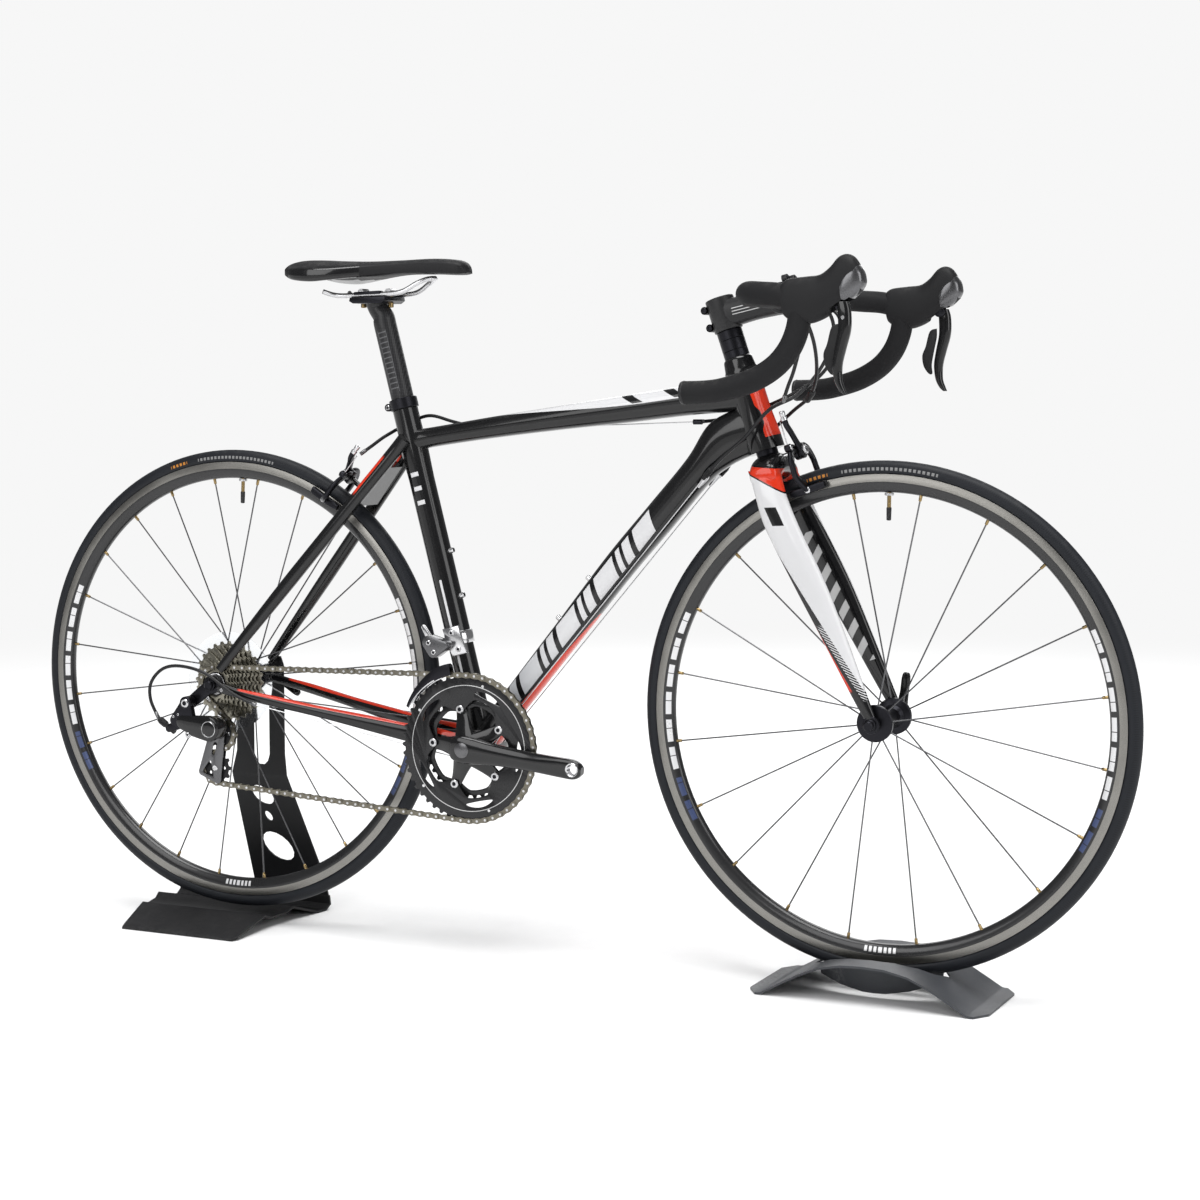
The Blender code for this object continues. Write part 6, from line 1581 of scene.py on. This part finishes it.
# ---- drivetrain
class BICYCLE_OT_cranks(BicycleOperator, bpy.types.Operator):
    """Adds the crank arms and chainrings"""
    bl_idname = "bicycle.cranks"
    bl_label = "Cranks and rings"

    def lobed(self, low, high, count=5):
        """An opening that runs in close at the bolts and out between them."""
        outline = []
        for i in range(100):
            turn = 2 * pi * i / 100
            share = (1 - cos(count * (turn - CRANK_TURN - radians(36)))) / 2
            radius = low + (high - low) * min(1.0, share * 1.5) ** 0.8
            outline.append(place_round(BOTTOM_BRACKET, radius, turn))
        return outline

    def crank(self, side, turn):
        direction = outward(turn)
        across = upward(turn)
        rows = mm(((-20.5, 8, 60, 4), (-18, 14, 60, 6), (-10, 18, 60, 7.4), (0, 19, 60, 8),
            (18, 17.8, 60.2, 7.6), (40, 15.5, 60.7, 7), (75, 13.8, 62.4, 6.6),
            (110, 13.2, 64.5, 6.4), (150, 13.6, 66.4, 6.2), (170, 13.6, 66.8, 6.2),
            (179, 10.4, 66.8, 6), (183.8, 5.2, 66.8, 5.4)))
        rings = []
        for along, tall, y, wide in flow(rows, 5):
            ring = oval(BOTTOM_BRACKET + direction * along + ACROSS * y * side, across * tall,
                ACROSS * wide, 48, 3.4)
            ridge = max(0.0, min(1.0, (0.15 - along) / 0.05, (along + 0.01) / 0.02))
            for i, point in enumerate(ring):
                rise = (point - BOTTOM_BRACKET).dot(across) / tall
                if (point.y * side) > y:
                    ring[i] = point - ACROSS * side * 0.0022 * ridge * abs(rise) ** 1.3
            rings.append(ring)
        arm = Piece()
        arm.skin(rings, "lever_gloss")
        return arm, BOTTOM_BRACKET + direction * CRANK_LENGTH

    def execute(self, context):
        for side, word, turn in ((RIGHT, "right", CRANK_TURN), (LEFT, "left", CRANK_TURN + pi)):
            arm, hole = self.crank(side, turn)
            obj = arm.place(f"{word}_crank_arm", "crankset", "black_metal", f"{word}_crank",
                smooth=45.0)
            bore = Piece()
            bore.turned([(0.0095, -0.1), (0.0095, 0.1)], hole, ACROSS, 40, "polished")
            carve(obj, bore)
            fitting = Piece()
            teeth = [(0.0074 + (0.0004 if i % 2 else 0.0), -0.0058 + 0.0116 * i / 20)
                for i in range(21)]
            fitting.lathe([*teeth, (0.0092, 0.0062), (0.0098, 0.0056), (0.0096, -0.0056),
                (0.009, -0.0062)], hole + ACROSS * 0.0668 * side, ACROSS, 40, "polished")
            middle = BOTTOM_BRACKET + ACROSS * side * 0.066
            if side == LEFT:
                fitting.lathe(mm([(12.5, -26.8), (17, -26.8), (17, -4), (12.5, -4)]), middle,
                    ACROSS, 48)
                fitting.turned(mm([(11.8, -4), (11.8, 3.2), (10.6, 4.2)]), middle, ACROSS, 32)
                for along in (0.02, 0.031):
                    spot = BOTTOM_BRACKET + outward(turn) * along + ACROSS * 0.06
                    fitting.bolt(spot + upward(turn) * -0.0165, Vector((sin(turn), 0, -cos(turn))),
                        0.0032, 0.0012)
            else:
                self.spider(fitting)
                fitting.turned(mm([(10.5, 7.5), (10.5, 8.4), (9.6, 9)]), BOTTOM_BRACKET - ACROSS
                    * 0.0596, -ACROSS, 40, "graphite")
                fitting.turned([(0.012, -0.058), (0.012, 0.06)], BOTTOM_BRACKET, ACROSS, 32,
                    "brushed")
            fitting.place(f"{word}_crank_fittings", "crankset", "black_metal", f"{word}_crank",
                smooth=40.0)
        self.rings()
        return {"FINISHED"}

    def spider(self, piece):
        """Five arms that run out from under the crank to the ring bolts."""
        for i in range(5):
            turn = CRANK_TURN + radians(36 + 72 * i)
            out = outward(turn)
            across = upward(turn)
            rows = mm(((4, 19, 50, 7), (16, 16, 49, 6.2), (30, 12.2, 47, 4.6), (44, 9.4, 44.6, 2.4),
                (52, 8.2, 44, 1.7), (59, 5.6, 44, 1.6), (61.2, 2.4, 44, 1.4)))
            rings = [oval(BOTTOM_BRACKET + out * along - ACROSS * y, across * half, ACROSS * deep,
                28, 3.0) for along, half, y, deep in flow(rows, 5)]
            piece.skin(rings, "lever_gloss")
            spot = BOTTOM_BRACKET + out * BOLT_CIRCLE
            piece.turned(mm([(5, -37.6), (6, -38.2), (6, -39), (4.5, -39.2), (4.5, -48)]), spot,
                ACROSS, 24, "brushed")
            piece.bolt(spot - ACROSS * 0.0486, -ACROSS, 0.0058, 0.0014, "brushed")

    def rings(self):
        big = Piece()
        lenses = []
        for i in range(5):
            middle = CRANK_TURN + radians(72 * i)
            lens = []
            for j in range(32):
                turn = 2 * pi * j / 32
                swing = middle + 0.275 * cos(turn)
                radius = 0.0785 + 0.0043 * sin(turn) * (1 - 0.35 * cos(turn) ** 2)
                lens.append(place_round(BOTTOM_BRACKET, radius, swing))
            lenses.append(lens)
        big.gear(BOTTOM_BRACKET, BIG_RING_TEETH, BIG_RING_Y, 0.0011, self.lobed(0.0505, 0.069),
            "ring_black", lenses)
        for i in range(5):
            turn = CRANK_TURN + radians(8 + 72 * i)
            spot = BOTTOM_BRACKET + outward(turn) * 0.09
            big.turned([(0.002, -0.0013), (0.002, 0.0013)], spot + ACROSS * BIG_RING_Y, ACROSS, 12,
                "polished")
        big.place("big_ring", "crankset", "dark_steel", "big_chainring")
        small = Piece()
        small.gear(BOTTOM_BRACKET, SMALL_RING_TEETH, SMALL_RING_Y, 0.0011,
            self.lobed(0.0505, 0.059), "ring_black")
        small.place("small_ring", "crankset", "dark_steel", "small_chainring")


class BICYCLE_OT_cassette(BicycleOperator, bpy.types.Operator):
    """Adds the ten cogs and their lockring"""
    bl_idname = "bicycle.cassette"
    bl_label = "Cassette"

    def execute(self, context):
        cogs = Piece()
        for i, teeth in enumerate(COG_TEETH):
            y = FIRST_COG_Y + COG_PITCH * i
            holes = []
            if teeth > 16:
                count, middle = 7, (0.02 + pitch_radius(teeth) - 0.004) / 2
                size = min(0.0062, (pitch_radius(teeth) - 0.027) / 2.2)
                for j in range(count):
                    turn = 2 * pi * (j + i * 0.3) / count
                    spot = place_round(REAR_AXLE, middle, turn)
                    if size > 0.0018:
                        holes.append(circle(spot, size, 20))
            cogs.gear(REAR_AXLE, teeth, y, 0.0008, 0.0169, "cog_steel", holes)
            if i:
                cogs.lathe(mm([(16.9, -3.2), (19.5, -3.2), (19.5, -0.7), (16.9, -0.7)]), REAR_AXLE
                    + ACROSS * y, ACROSS, 40, "moulded")
        cogs.lathe(mm([(10, -1.3), (15.2, -1.6), (15.8, -1), (15.8, 0), (10, 0)]), REAR_AXLE
            + ACROSS * (FIRST_COG_Y - 0.0008), ACROSS, 40, "brushed")
        cogs.place("cassette_cogs", "cassette", "dark_steel", "cassette")
        return {"FINISHED"}


def wheel_tangent(first, second, first_side, second_side):
    """Where a chain leaves one sprocket and meets the next."""
    (a, ra), (b, rb) = first, second
    line = b - a
    distance = line.length
    along = line / distance
    lean = (ra * first_side - rb * second_side) / distance
    out = along * lean + Vector((-along.y, along.x)) * sqrt(1 - lean * lean)
    return a + out * ra * first_side, b + out * rb * second_side


def chain_route():
    """The chain's middle line round its four sprockets, in fine steps."""
    hub = Vector((0, 0))
    bracket = Vector((BOTTOM_BRACKET.x - REAR_AXLE.x, BOTTOM_BRACKET.z - REAR_AXLE.z))
    wheels = ((bracket, pitch_radius(BIG_RING_TEETH), 1, BIG_RING_Y, 90),
        (Vector(LOWER_JOCKEY), pitch_radius(JOCKEY_TEETH), 1, FIRST_COG_Y, 30),
        (Vector(UPPER_JOCKEY), pitch_radius(JOCKEY_TEETH), -1, FIRST_COG_Y, 30),
        (hub, pitch_radius(COG_TEETH[0]), 1, FIRST_COG_Y, 40))
    route = []
    for i, (centre, radius, turn_side, y, steps) in enumerate(wheels):
        before, after = wheels[i - 1], wheels[(i + 1) % len(wheels)]
        _, arrive = wheel_tangent((before[0], before[1]), (centre, radius), before[2], turn_side)
        leave, _ = wheel_tangent((centre, radius), (after[0], after[1]), turn_side, after[2])
        start, end = atan2(*(arrive - centre).yx), atan2(*(leave - centre).yx)
        swing = (end - start) % (2 * pi) - (2 * pi if turn_side == 1 else 0)
        for step in range(steps + 1):
            turn = start + swing * step / steps
            route.append(side_point(centre.x + cos(turn) * radius, centre.y + sin(turn) * radius,
                y))
    clear = route[-1].lerp(route[0], 0.04 / (route[0] - route[-1]).length)
    route.append(Vector((clear.x, FIRST_COG_Y, clear.z)))
    return route


class BICYCLE_OT_chain(BicycleOperator, bpy.types.Operator):
    """Adds the chain, link by link"""
    bl_idname = "bicycle.chain"
    bl_label = "Chain"

    def link(self, chain, start, end, inside):
        """Two waisted plates, and the roller at the start."""
        along = (end - start).normalized()
        over = along.cross(ACROSS).normalized()
        outline = []
        for centre, base in ((0.0, pi / 2), ((end - start).length, -pi / 2)):
            for i in range(7):
                turn = base + pi * i / 6
                outline.append((centre + 0.0041 * cos(turn), 0.0041 * sin(turn)))
            outline.append(((end - start).length / 2, -0.0029 if base > 0 else 0.0029))
        near, far = (0.0012, 0.002) if inside else (0.0021, 0.0028)
        across = (ACROSS - along * along.y).normalized()
        for side, _ in SIDES:
            rings = [[start + along * a + over * b + across * depth * side for a, b in outline]
                for depth in (near, far)]
            chain.skin(rings, "chain_bronze")
        chain.turned([(0.0038, -0.0012), (0.0038, 0.0012)], start, across, 10, "chain_bronze")
        chain.turned([(0.0018, -0.0029), (0.0018, 0.0029)], start, across, 8, "brushed")

    def execute(self, context):
        route = chain_route()
        loop = route + [route[0]]
        total = sum((b - a).length for a, b in zip(loop, loop[1:]))
        count = round(total / CHAIN_PITCH / 2) * 2
        step = total / count
        pins, walked, need = [], 0.0, 0.0
        for a, b in zip(loop, loop[1:]):
            length = (b - a).length
            while need <= walked + length and len(pins) < count:
                pins.append(a.lerp(b, (need - walked) / length))
                need += step
            walked += length
        chain = Piece()
        for i, pin in enumerate(pins):
            self.link(chain, pin, pins[(i + 1) % count], i % 2 == 0)
        chain.place("chain_links", "frame", "dark_steel", "chain", smooth=50.0)
        return {"FINISHED"}


class BICYCLE_OT_rear_derailleur(BicycleOperator, bpy.types.Operator):
    """Adds the rear derailleur's body, cage and jockey wheels"""
    bl_idname = "bicycle.rear_derailleur"
    bl_label = "Rear derailleur"

    def body(self):
        start = -0.0719
        body = Piece()
        hanger = side_point(*HANGER)
        body.turned([(0.008, start - 0.015), (0.0095, start - 0.014), (0.0095, start)], hanger,
            ACROSS, 32)
        body.bolt(hanger + ACROSS * (start - 0.015), -ACROSS, 0.0064, 0.0016)
        upper = hull_of((((*HANGER, 0.008)), (-0.054, -0.053, 0.008), (-0.03, -0.06, 0.01)), 28)
        body.plate(upper, start - 0.0143, start - 0.0046, "black_metal", 0.0012)
        link = hull_of(mm(((-40, -55, 10), (-20, -62, 13), (4, -62, 18.5))), 32)
        body.plate(link, start - 0.0168, start - 0.0052, "lever_gloss", 0.003)
        pivot = side_point(*CAGE_PIVOT)
        body.turned(mm([(16.6, -65.4), (17, -66.4), (17, -70), (16.4, -70.6), (16.4, -71.6),
            (17, -72.2), (16.9, -83), (16, -86.2), (13.8, -88.6), (10, -89.8), (4, -90.3)]), pivot,
            ACROSS, 48, "lever_gloss")
        body.lathe(mm([(10.4, -89.5), (11, -90), (11.8, -89.3), (11, -88.8)]), pivot, ACROSS, 40,
            "brushed")
        barrel, mouth = side_point(-0.0845, -0.0533, -0.08), side_point(-0.056, -0.072, -0.08)
        axis = (mouth - barrel).normalized()
        steps = mm([(3.6, 0), (4.4, 0.6), (4.4, 3)])
        for i in range(6):
            steps += [(0.0052, 0.0036 + 0.0018 * i), (0.0052, 0.0046 + 0.0018 * i),
                (0.0047, 0.0049 + 0.0018 * i)]
        body.turned([*steps, (0.004, 0.016), (0.004, 0.032)], barrel, axis, 24, "moulded")
        stop = hull_of(mm(((-66, -66, 5.5), (-48, -58, 7.5))), 24)
        body.plate(stop, -0.0838, -0.0767, "black_metal", 0.001)
        clamp = side_point(-0.03, -0.072, start - 0.015)
        body.turned(mm([(4.8, -1.2), (5.2, -0.8), (5.2, 0.6)]), clamp, ACROSS, 24, "brushed")
        body.bolt(clamp - ACROSS * 0.001, -ACROSS, 0.0034, 0.0016)
        for forward, up in ((-0.0555, -0.0475), (-0.0475, -0.044)):
            body.bolt(side_point(forward, up, start - 0.0142), -ACROSS, 0.0018, 0.0008)
        body.place("derailleur_body_shell", "frame", "black_metal", "derailleur_body",
            edge=sizes().edge_round)

    def cage(self):
        cage = Piece()
        outer = hull_of(((*CAGE_PIVOT, 0.012), (-0.022, -0.128, 0.006), (0.004, -0.138, 0.006)), 28)
        window = hull_of(mm(((-17, -127, 3.5), (-6, -131, 3), (-8.5, -113.5, 2))), 16)
        second = hull_of(mm(((-3, -100, 2.6), (1, -87, 3))), 16)
        cage.plate(outer, -0.0646, -0.0632, "graphite", 0.0004, [window, second])
        inner = hull_of(((*UPPER_JOCKEY, 0.009), (*LOWER_JOCKEY, 0.009)), 24)
        slot_hole = hull_of(mm(((6.5, -87, 3.5), (2, -106, 3.5))), 16)
        cage.plate(inner, -0.0552, -0.0538, "black_metal", 0.0004, [slot_hole])
        for spot in (UPPER_JOCKEY, LOWER_JOCKEY):
            centre = side_point(*spot)
            cage.turned([(0.0024, -0.065), (0.0024, -0.0534)], centre, ACROSS, 16, "brushed")
            cage.bolt(centre - ACROSS * 0.0645, -ACROSS, 0.0044, 0.001)
        cage.place("derailleur_cage_plates", "derailleur_cage", "black_metal", "derailleur_cage")

    def execute(self, context):
        self.body()
        self.cage()
        for name, spot in (("upper_jockey", UPPER_JOCKEY), ("lower_jockey", LOWER_JOCKEY)):
            wheel = Piece()
            holes = [circle((REAR_AXLE.x + spot[0] + 0.013 * cos(radians(72 * i)), REAR_AXLE.z
                + spot[1] + 0.013 * sin(radians(72 * i))), 0.0024, 14) for i in range(5)]
            wheel.gear(side_point(*spot), JOCKEY_TEETH, FIRST_COG_Y, 0.001, 0.0028, "moulded",
                holes)
            for side, _ in SIDES:
                wheel.lathe(mm([(2.8, 0), (6.8, 0), (6.6, 1.3), (2.8, 1.4)]),
                    side_point(*spot, FIRST_COG_Y), ACROSS * side, 32, "graphite")
            wheel.place(name + "_toothed", name, "plastic", name + "_wheel")
        return {"FINISHED"}


class BICYCLE_OT_front_derailleur(BicycleOperator, bpy.types.Operator):
    """Adds the front derailleur's mount and cage"""
    bl_idname = "bicycle.front_derailleur"
    bl_label = "Front derailleur"

    def arc(self, low, high, start, end):
        """An outline between two radii round the bottom bracket, tapered at its tail."""
        centre = (BOTTOM_BRACKET.x, BOTTOM_BRACKET.z)
        outer, inner = [], []
        for i in range(25):
            share = i / 24
            turn = radians(start + (end - start) * share)
            rise = high - (high - low) * 0.72 * max(0.0, share - 0.18) / 0.82
            outer.append((centre[0] + rise * cos(turn), centre[1] + rise * sin(turn)))
            inner.append((centre[0] + low * cos(turn), centre[1] + low * sin(turn)))
        return outer + inner[::-1]

    def execute(self, context):
        mount = Piece()
        mount.lathe(mm([(18.05, 142), (19.9, 142), (20.25, 142.5), (20.25, 159.5), (19.9, 160),
            (18.05, 160)]), BOTTOM_BRACKET, SEAT_UP, 48, "polished")
        rows = mm([(128, -4, 20), (150, -8, 16), (168, -10, 16)])
        loop = [seat_point(along, front) for along, _, front in rows]
        loop += [seat_point(along, back) for along, back, _ in reversed(rows)]
        mount.plate([(p.x, p.z) for p in loop], -0.0245, -0.0197, "polished", 0.0008)
        for along, ahead in ((0.136, 0.008), (0.16, 0.003)):
            mount.bolt(seat_point(along, ahead, -0.0243), -ACROSS, 0.004, 0.002, "brushed")
        body = hull_of(mm(((338, 73, 10), (345, 60, 8), (362, 70, 6))), 28)
        mount.plate(body, -0.0398, -0.021, "graphite", 0.0014)
        for forward, up in ((0.338, 0.073), (0.346, 0.06)):
            mount.bolt(side_point(forward, up, -0.0396), -ACROSS, 0.0038, 0.001)
        arm = hull_of(mm(((336, 78, 4.5), (326, 94, 3))), 16)
        mount.plate(arm, -0.033, -0.029, "polished", 0.0008)
        mount.place("front_derailleur_body", "frame", "alloy", "front_derailleur_mount",
            edge=0.0003)
        cage = Piece()
        low = pitch_radius(BIG_RING_TEETH) + 0.0005
        outer, inner = BIG_RING_Y - 0.0059, BIG_RING_Y + 0.0043
        cage.plate(self.arc(low + 0.0018, low + 0.018, 103, 150), outer - 0.0012, outer,
            "black_metal", 0.0003)
        cage.plate(self.arc(low + 0.0019, low + 0.0036, 118, 149), outer - 0.0015, outer - 0.001,
            "polished")
        cage.plate(self.arc(low + 0.0018, low + 0.018, 103, 148), inner, inner + 0.0012, "polished",
            0.0003)
        cage.plate(self.arc(low + 0.0123, low + 0.0177, 104, 112), outer - 0.0006, inner + 0.0006,
            "black_metal", 0.0003)
        cage.place("front_derailleur_plates", "front_derailleur_cage", "alloy",
            "front_derailleur_cage")
        return {"FINISHED"}


# ---- cables
HOUSINGS = {"front_brake_housing": ("steering", mm(((869, 536, -60), (886, 519, -56),
    (887, 490, -48), (873, 450, -36), (862.5, 427, -31), (855.5, 408, -29.2)))),
    "right_shift_housing": ("frame", mm(((869, 536, 52), (891, 520, 48), (898, 490, 40),
    (888, 450, 20), (866.5, 417, -6), (837.5, 397.5, -32.5), (806, 362, -37), (770, 334, -29),
    (744, 308, -25.5)))), "left_shift_housing": ("frame",
    mm(((869, 536, -78), (895, 519, -70), (904, 485, -50), (896, 444, -16), (875, 415, 16),
    (845, 395, 35), (806, 362, 37), (770, 334, 29), (744, 308, 25.5)))),
    "rear_brake_housing": ("frame", mm(((869, 536, 72), (897, 518, 64), (902, 480, 52),
    (880, 442, 43), (845, 418, 36), (800, 398, 30), (750, 384, 18), (722, 380.5, 6)))),
    "rear_derailleur_housing": ("frame", mm(((76, -24.5, -73.5), (40, -10, -76.5), (-4, 16, -77.5),
    (-46, 25, -78), (-77, 20, -79), (-97.5, -1, -80), (-99, -26, -80), (-86, -51.5, -80)))),
    "rear_brake_cable": ("frame", mm(((395, 366.5, 19.4), (345, 377, 24), (305, 385, 25.8),
    (272, 372, 18.6), (250, 356, -2), (236.5, 343, -15), (223.5, 332, -23.5))))}
BARE_WIRES = {"rear_brake_housing": mm(((722, 380.5, 6), (395, 366.5, 19.4))),
    "right_shift_housing": mm(((744, 308, -25.5), (456, -29, -22.5), (418, -80, -12))),
    "left_shift_housing": mm(((744, 308, 25.5), (456, -29, 22.5), (418, -80, 12))),
    "rear_derailleur_housing": mm(((415, -95, -12), (385, -90, -20), (76, -24.5, -73.5)))}


class BICYCLE_OT_cables(BicycleOperator, bpy.types.Operator):
    """Adds the cable housings, their ferrules and adjusters, and the bare wires"""
    bl_idname = "bicycle.cables"
    bl_label = "Cables"

    def adjuster(self, cable, end, axis):
        """A ribbed barrel that leads a housing into its stop."""
        steps = mm([(2.6, -2), (3, -1.5), (3, 3)])
        for i in range(6):
            steps += [(0.0041, 0.0034 + 0.0022 * i), (0.0041, 0.0046 + 0.0022 * i),
                (0.0034, 0.005 + 0.0022 * i)]
        cable.turned([*steps, (0.003, 0.018), (0.003, 0.02), (0.0022, 0.0205)], end, axis, 20,
            "moulded")

    def execute(self, context):
        for node, (body, points) in HOUSINGS.items():
            cable = Piece()
            route = flow_points([side_point(*p) for p in points], 8)
            cable.rod(route, HOUSING_RADIUS, "housing", 14)
            for end, inward in ((route[0], route[1]), (route[-1], route[-2])):
                axis = (inward - end).normalized()
                cable.turned(mm([(2.1, -1.2), (2.8, -0.8), (2.9, 8.5), (2.5, 9)]), end, axis, 16,
                    "graphite")
            if node.endswith("shift_housing"):
                self.adjuster(cable, route[-1], (route[-4] - route[-1]).normalized())
                middle = len(route) // 2
                if node.startswith("left"):
                    along = (route[middle + 1] - route[middle - 1]).normalized()
                    cable.turned(mm([(3, -12), (4.6, -10), (5, -6), (4.6, 0), (5, 6), (4.6, 10),
                        (3, 12)]), route[middle], along, 20, "moulded")
                stop = route[-1]
                side = copysign(1, stop.y)
                block = [Vector((stop.x, stop.y - 0.0055 * side, stop.z))]
                block += [Vector((stop.x - 0.01, stop.y - 0.005 * side, stop.z - 0.0125))]
                cable.rod([block[0] + Vector((0.003, 0, 0.0035)), *block], [0.0036, 0.0044, 0.002],
                    "brushed", 16)
            if node in BARE_WIRES:
                cable.rod([side_point(*p) for p in BARE_WIRES[node]], WIRE_RADIUS, "brushed", 8)
            if node == "rear_brake_housing":
                for forward, up, y in BARE_WIRES[node]:
                    cable.rod([side_point(forward - 0.006, up - 0.0002, y),
                        side_point(forward + 0.006, up, y)], 0.0036, "black_metal", 16)
            cable.place(node + "_cable", body, "plastic", node, smooth=50.0)
        return {"FINISHED"}


# ---- stands
class BICYCLE_OT_stands(BicycleOperator, bpy.types.Operator):
    """Adds the arched front stand and the forked rear stand"""
    bl_idname = "bicycle.stands"
    bl_label = "Stands"

    def execute(self, context):
        refined("front_stand", "stand_coat", "stands", 0.0006)
        refined("rear_stand", "stand_black", "stands", 0.0006)
        return {"FINISHED"}


# ---- stage
class BICYCLE_OT_stage(BicycleOperator, bpy.types.Operator):
    """Adds the floor, the lights, the surroundings and the camera"""
    bl_idname = "bicycle.stage"
    bl_label = "Stage"

    def floor_finish(self, shade):
        material, s, shader = new_finish("stage_floor")
        shader.inputs["Specular IOR Level"].default_value = 0.0
        grain = s.group(grain_group(), scale=60.0)
        base = s.mix(grain["Shade"], tuple(c * 0.985 for c in shade),
            tuple(min(1.0, c * 1.01) for c in shade))
        place = s.here()
        reach = s.node("ShaderNodeVectorMath", {0: place}, operation="LENGTH").outputs["Value"]
        far = s.ramp(reach, 1.9, 4.6)
        links = material.node_tree.links
        links.new(s.mix(far, base, (0.0, 0.0, 0.0)), shader.inputs["Base Color"])
        links.new(s.mix(far, (0.0, 0.0, 0.0), (0.93, 0.93, 0.93)), shader.inputs["Emission Color"])
        shader.inputs["Emission Strength"].default_value = 1.0
        links.new(s.ramp(grain["Shade"], 0.0, 1.0, 0.55, 0.65), shader.inputs["Roughness"])
        return material

    def lamp(self, name, kind, place, aim, **settings):
        light = bpy.data.lights.new(name, kind)
        for key, value in settings.items():
            setattr(light, key, value)
        obj = new_object(name, light)
        obj.location = place
        obj.rotation_euler = (Vector(aim) - Vector(place)).to_track_quat("-Z", "Y").to_euler()

    def execute(self, context):
        scene = bpy.context.scene
        shape = bmesh.new()
        last = [shape.verts.new((0, 0, 0))] * FLOOR_SIDES
        for radius in (1.0, 2.0, 4.0, 8.0, 30.0):
            turns = [tau * i / FLOOR_SIDES for i in range(FLOOR_SIDES)]
            ring = [shape.verts.new((radius * cos(t), radius * sin(t), 0)) for t in turns]
            for i in range(FLOOR_SIDES):
                after = (i + 1) % FLOOR_SIDES
                corners = [last[i], ring[i], ring[after], last[after]]
                shape.faces.new(list(dict.fromkeys(corners)))
            last = ring
        mesh = bpy.data.meshes.new("stage_floor")
        shape.to_mesh(mesh)
        shape.free()
        mesh.materials.append(self.floor_finish(tone("floor")))
        floor = new_object("stage_floor", mesh)
        floor.location.z = CAD_BOX[0][2] - FLOOR_DROP
        world = bpy.data.worlds.new("Studio")
        world.use_nodes = True
        scene.world = world
        s = Shading(world.node_tree)
        world.node_tree.nodes.clear()
        seen = s.node("ShaderNodeBackground", {"Color": (0.93, 0.93, 0.93, 1),
            "Strength": 1.0}).outputs[0]
        light = s.node("ShaderNodeBackground", {"Color": (0.97, 0.98, 1.0, 1),
            "Strength": 0.2}).outputs[0]
        ray = s.node("ShaderNodeLightPath").outputs["Is Camera Ray"]
        mixed = s.node("ShaderNodeMixShader", {0: ray, 1: light, 2: seen}).outputs[0]
        leave = world.node_tree.nodes.new("ShaderNodeOutputWorld")
        world.node_tree.links.new(mixed, leave.inputs["Surface"])
        scene.view_settings.view_transform = "Standard"
        self.lamp("Sky", "SUN", (0.2, -0.6, 4.0), (0.0, 0.0, 0.0), energy=3.0, angle=radians(45))
        self.lamp("Side box", "AREA", (-0.8, -3.2, 2.2), (0.0, 0.0, 0.5), energy=55, size=2.4)
        self.lamp("Front box", "AREA", (3.0, -1.0, 1.6), (0.4, 0.0, 0.5), energy=30, size=1.8)
        self.lamp("Far box", "AREA", (-0.6, 3.2, 2.4), (0.0, 0.0, 0.5), energy=45, size=2.4)
        camera = bpy.data.cameras.new("Camera")
        camera.lens = sizes().lens
        camera.sensor_width = 36.0
        camera.clip_end = 100.0
        obj = new_object("Camera", camera)
        obj.location = sizes().camera_place
        obj.rotation_euler = Vector(sizes().camera_aim).to_track_quat("-Z", "Y").to_euler()
        scene.camera = obj
        return {"FINISHED"}


PIECES = (BICYCLE_OT_stage, BICYCLE_OT_tyres, BICYCLE_OT_rims, BICYCLE_OT_hubs, BICYCLE_OT_skewers,
    BICYCLE_OT_frame_tubes, BICYCLE_OT_stays, BICYCLE_OT_seat, BICYCLE_OT_fork, BICYCLE_OT_stem,
    BICYCLE_OT_bars, BICYCLE_OT_levers, BICYCLE_OT_brakes, BICYCLE_OT_cranks, BICYCLE_OT_cassette,
    BICYCLE_OT_chain, BICYCLE_OT_rear_derailleur, BICYCLE_OT_front_derailleur, BICYCLE_OT_cables,
    BICYCLE_OT_stands)


class BICYCLE_PT_pieces(bpy.types.Panel):
    """Lists the operators that add the pieces"""
    bl_idname = "BICYCLE_PT_pieces"
    bl_label = "Bicycle on stand"
    bl_space_type = "VIEW_3D"
    bl_region_type = "UI"
    bl_category = "Bicycle"

    def draw(self, context):
        for group in (colours(), sizes()):
            for name in group.__annotations__:
                self.layout.prop(group, name)
        for kind in PIECES:
            self.layout.operator(kind.bl_idname)


CLASSES = (BicycleColours, BicycleSizes, *PIECES, BICYCLE_PT_pieces)


def register():
    for kind in CLASSES:
        bpy.utils.register_class(kind)
    bpy.types.Scene.bicycle_colours = PointerProperty(type=BicycleColours)
    bpy.types.Scene.bicycle_sizes = PointerProperty(type=BicycleSizes)


def unregister():
    del bpy.types.Scene.bicycle_sizes
    del bpy.types.Scene.bicycle_colours
    for kind in reversed(CLASSES):
        bpy.utils.unregister_class(kind)


def main():
    register()
    for kind in PIECES:
        getattr(bpy.ops.bicycle, kind.bl_idname.split(".")[1])()
    bpy.context.view_layer.update()


if __name__ == "__main__":
    main()
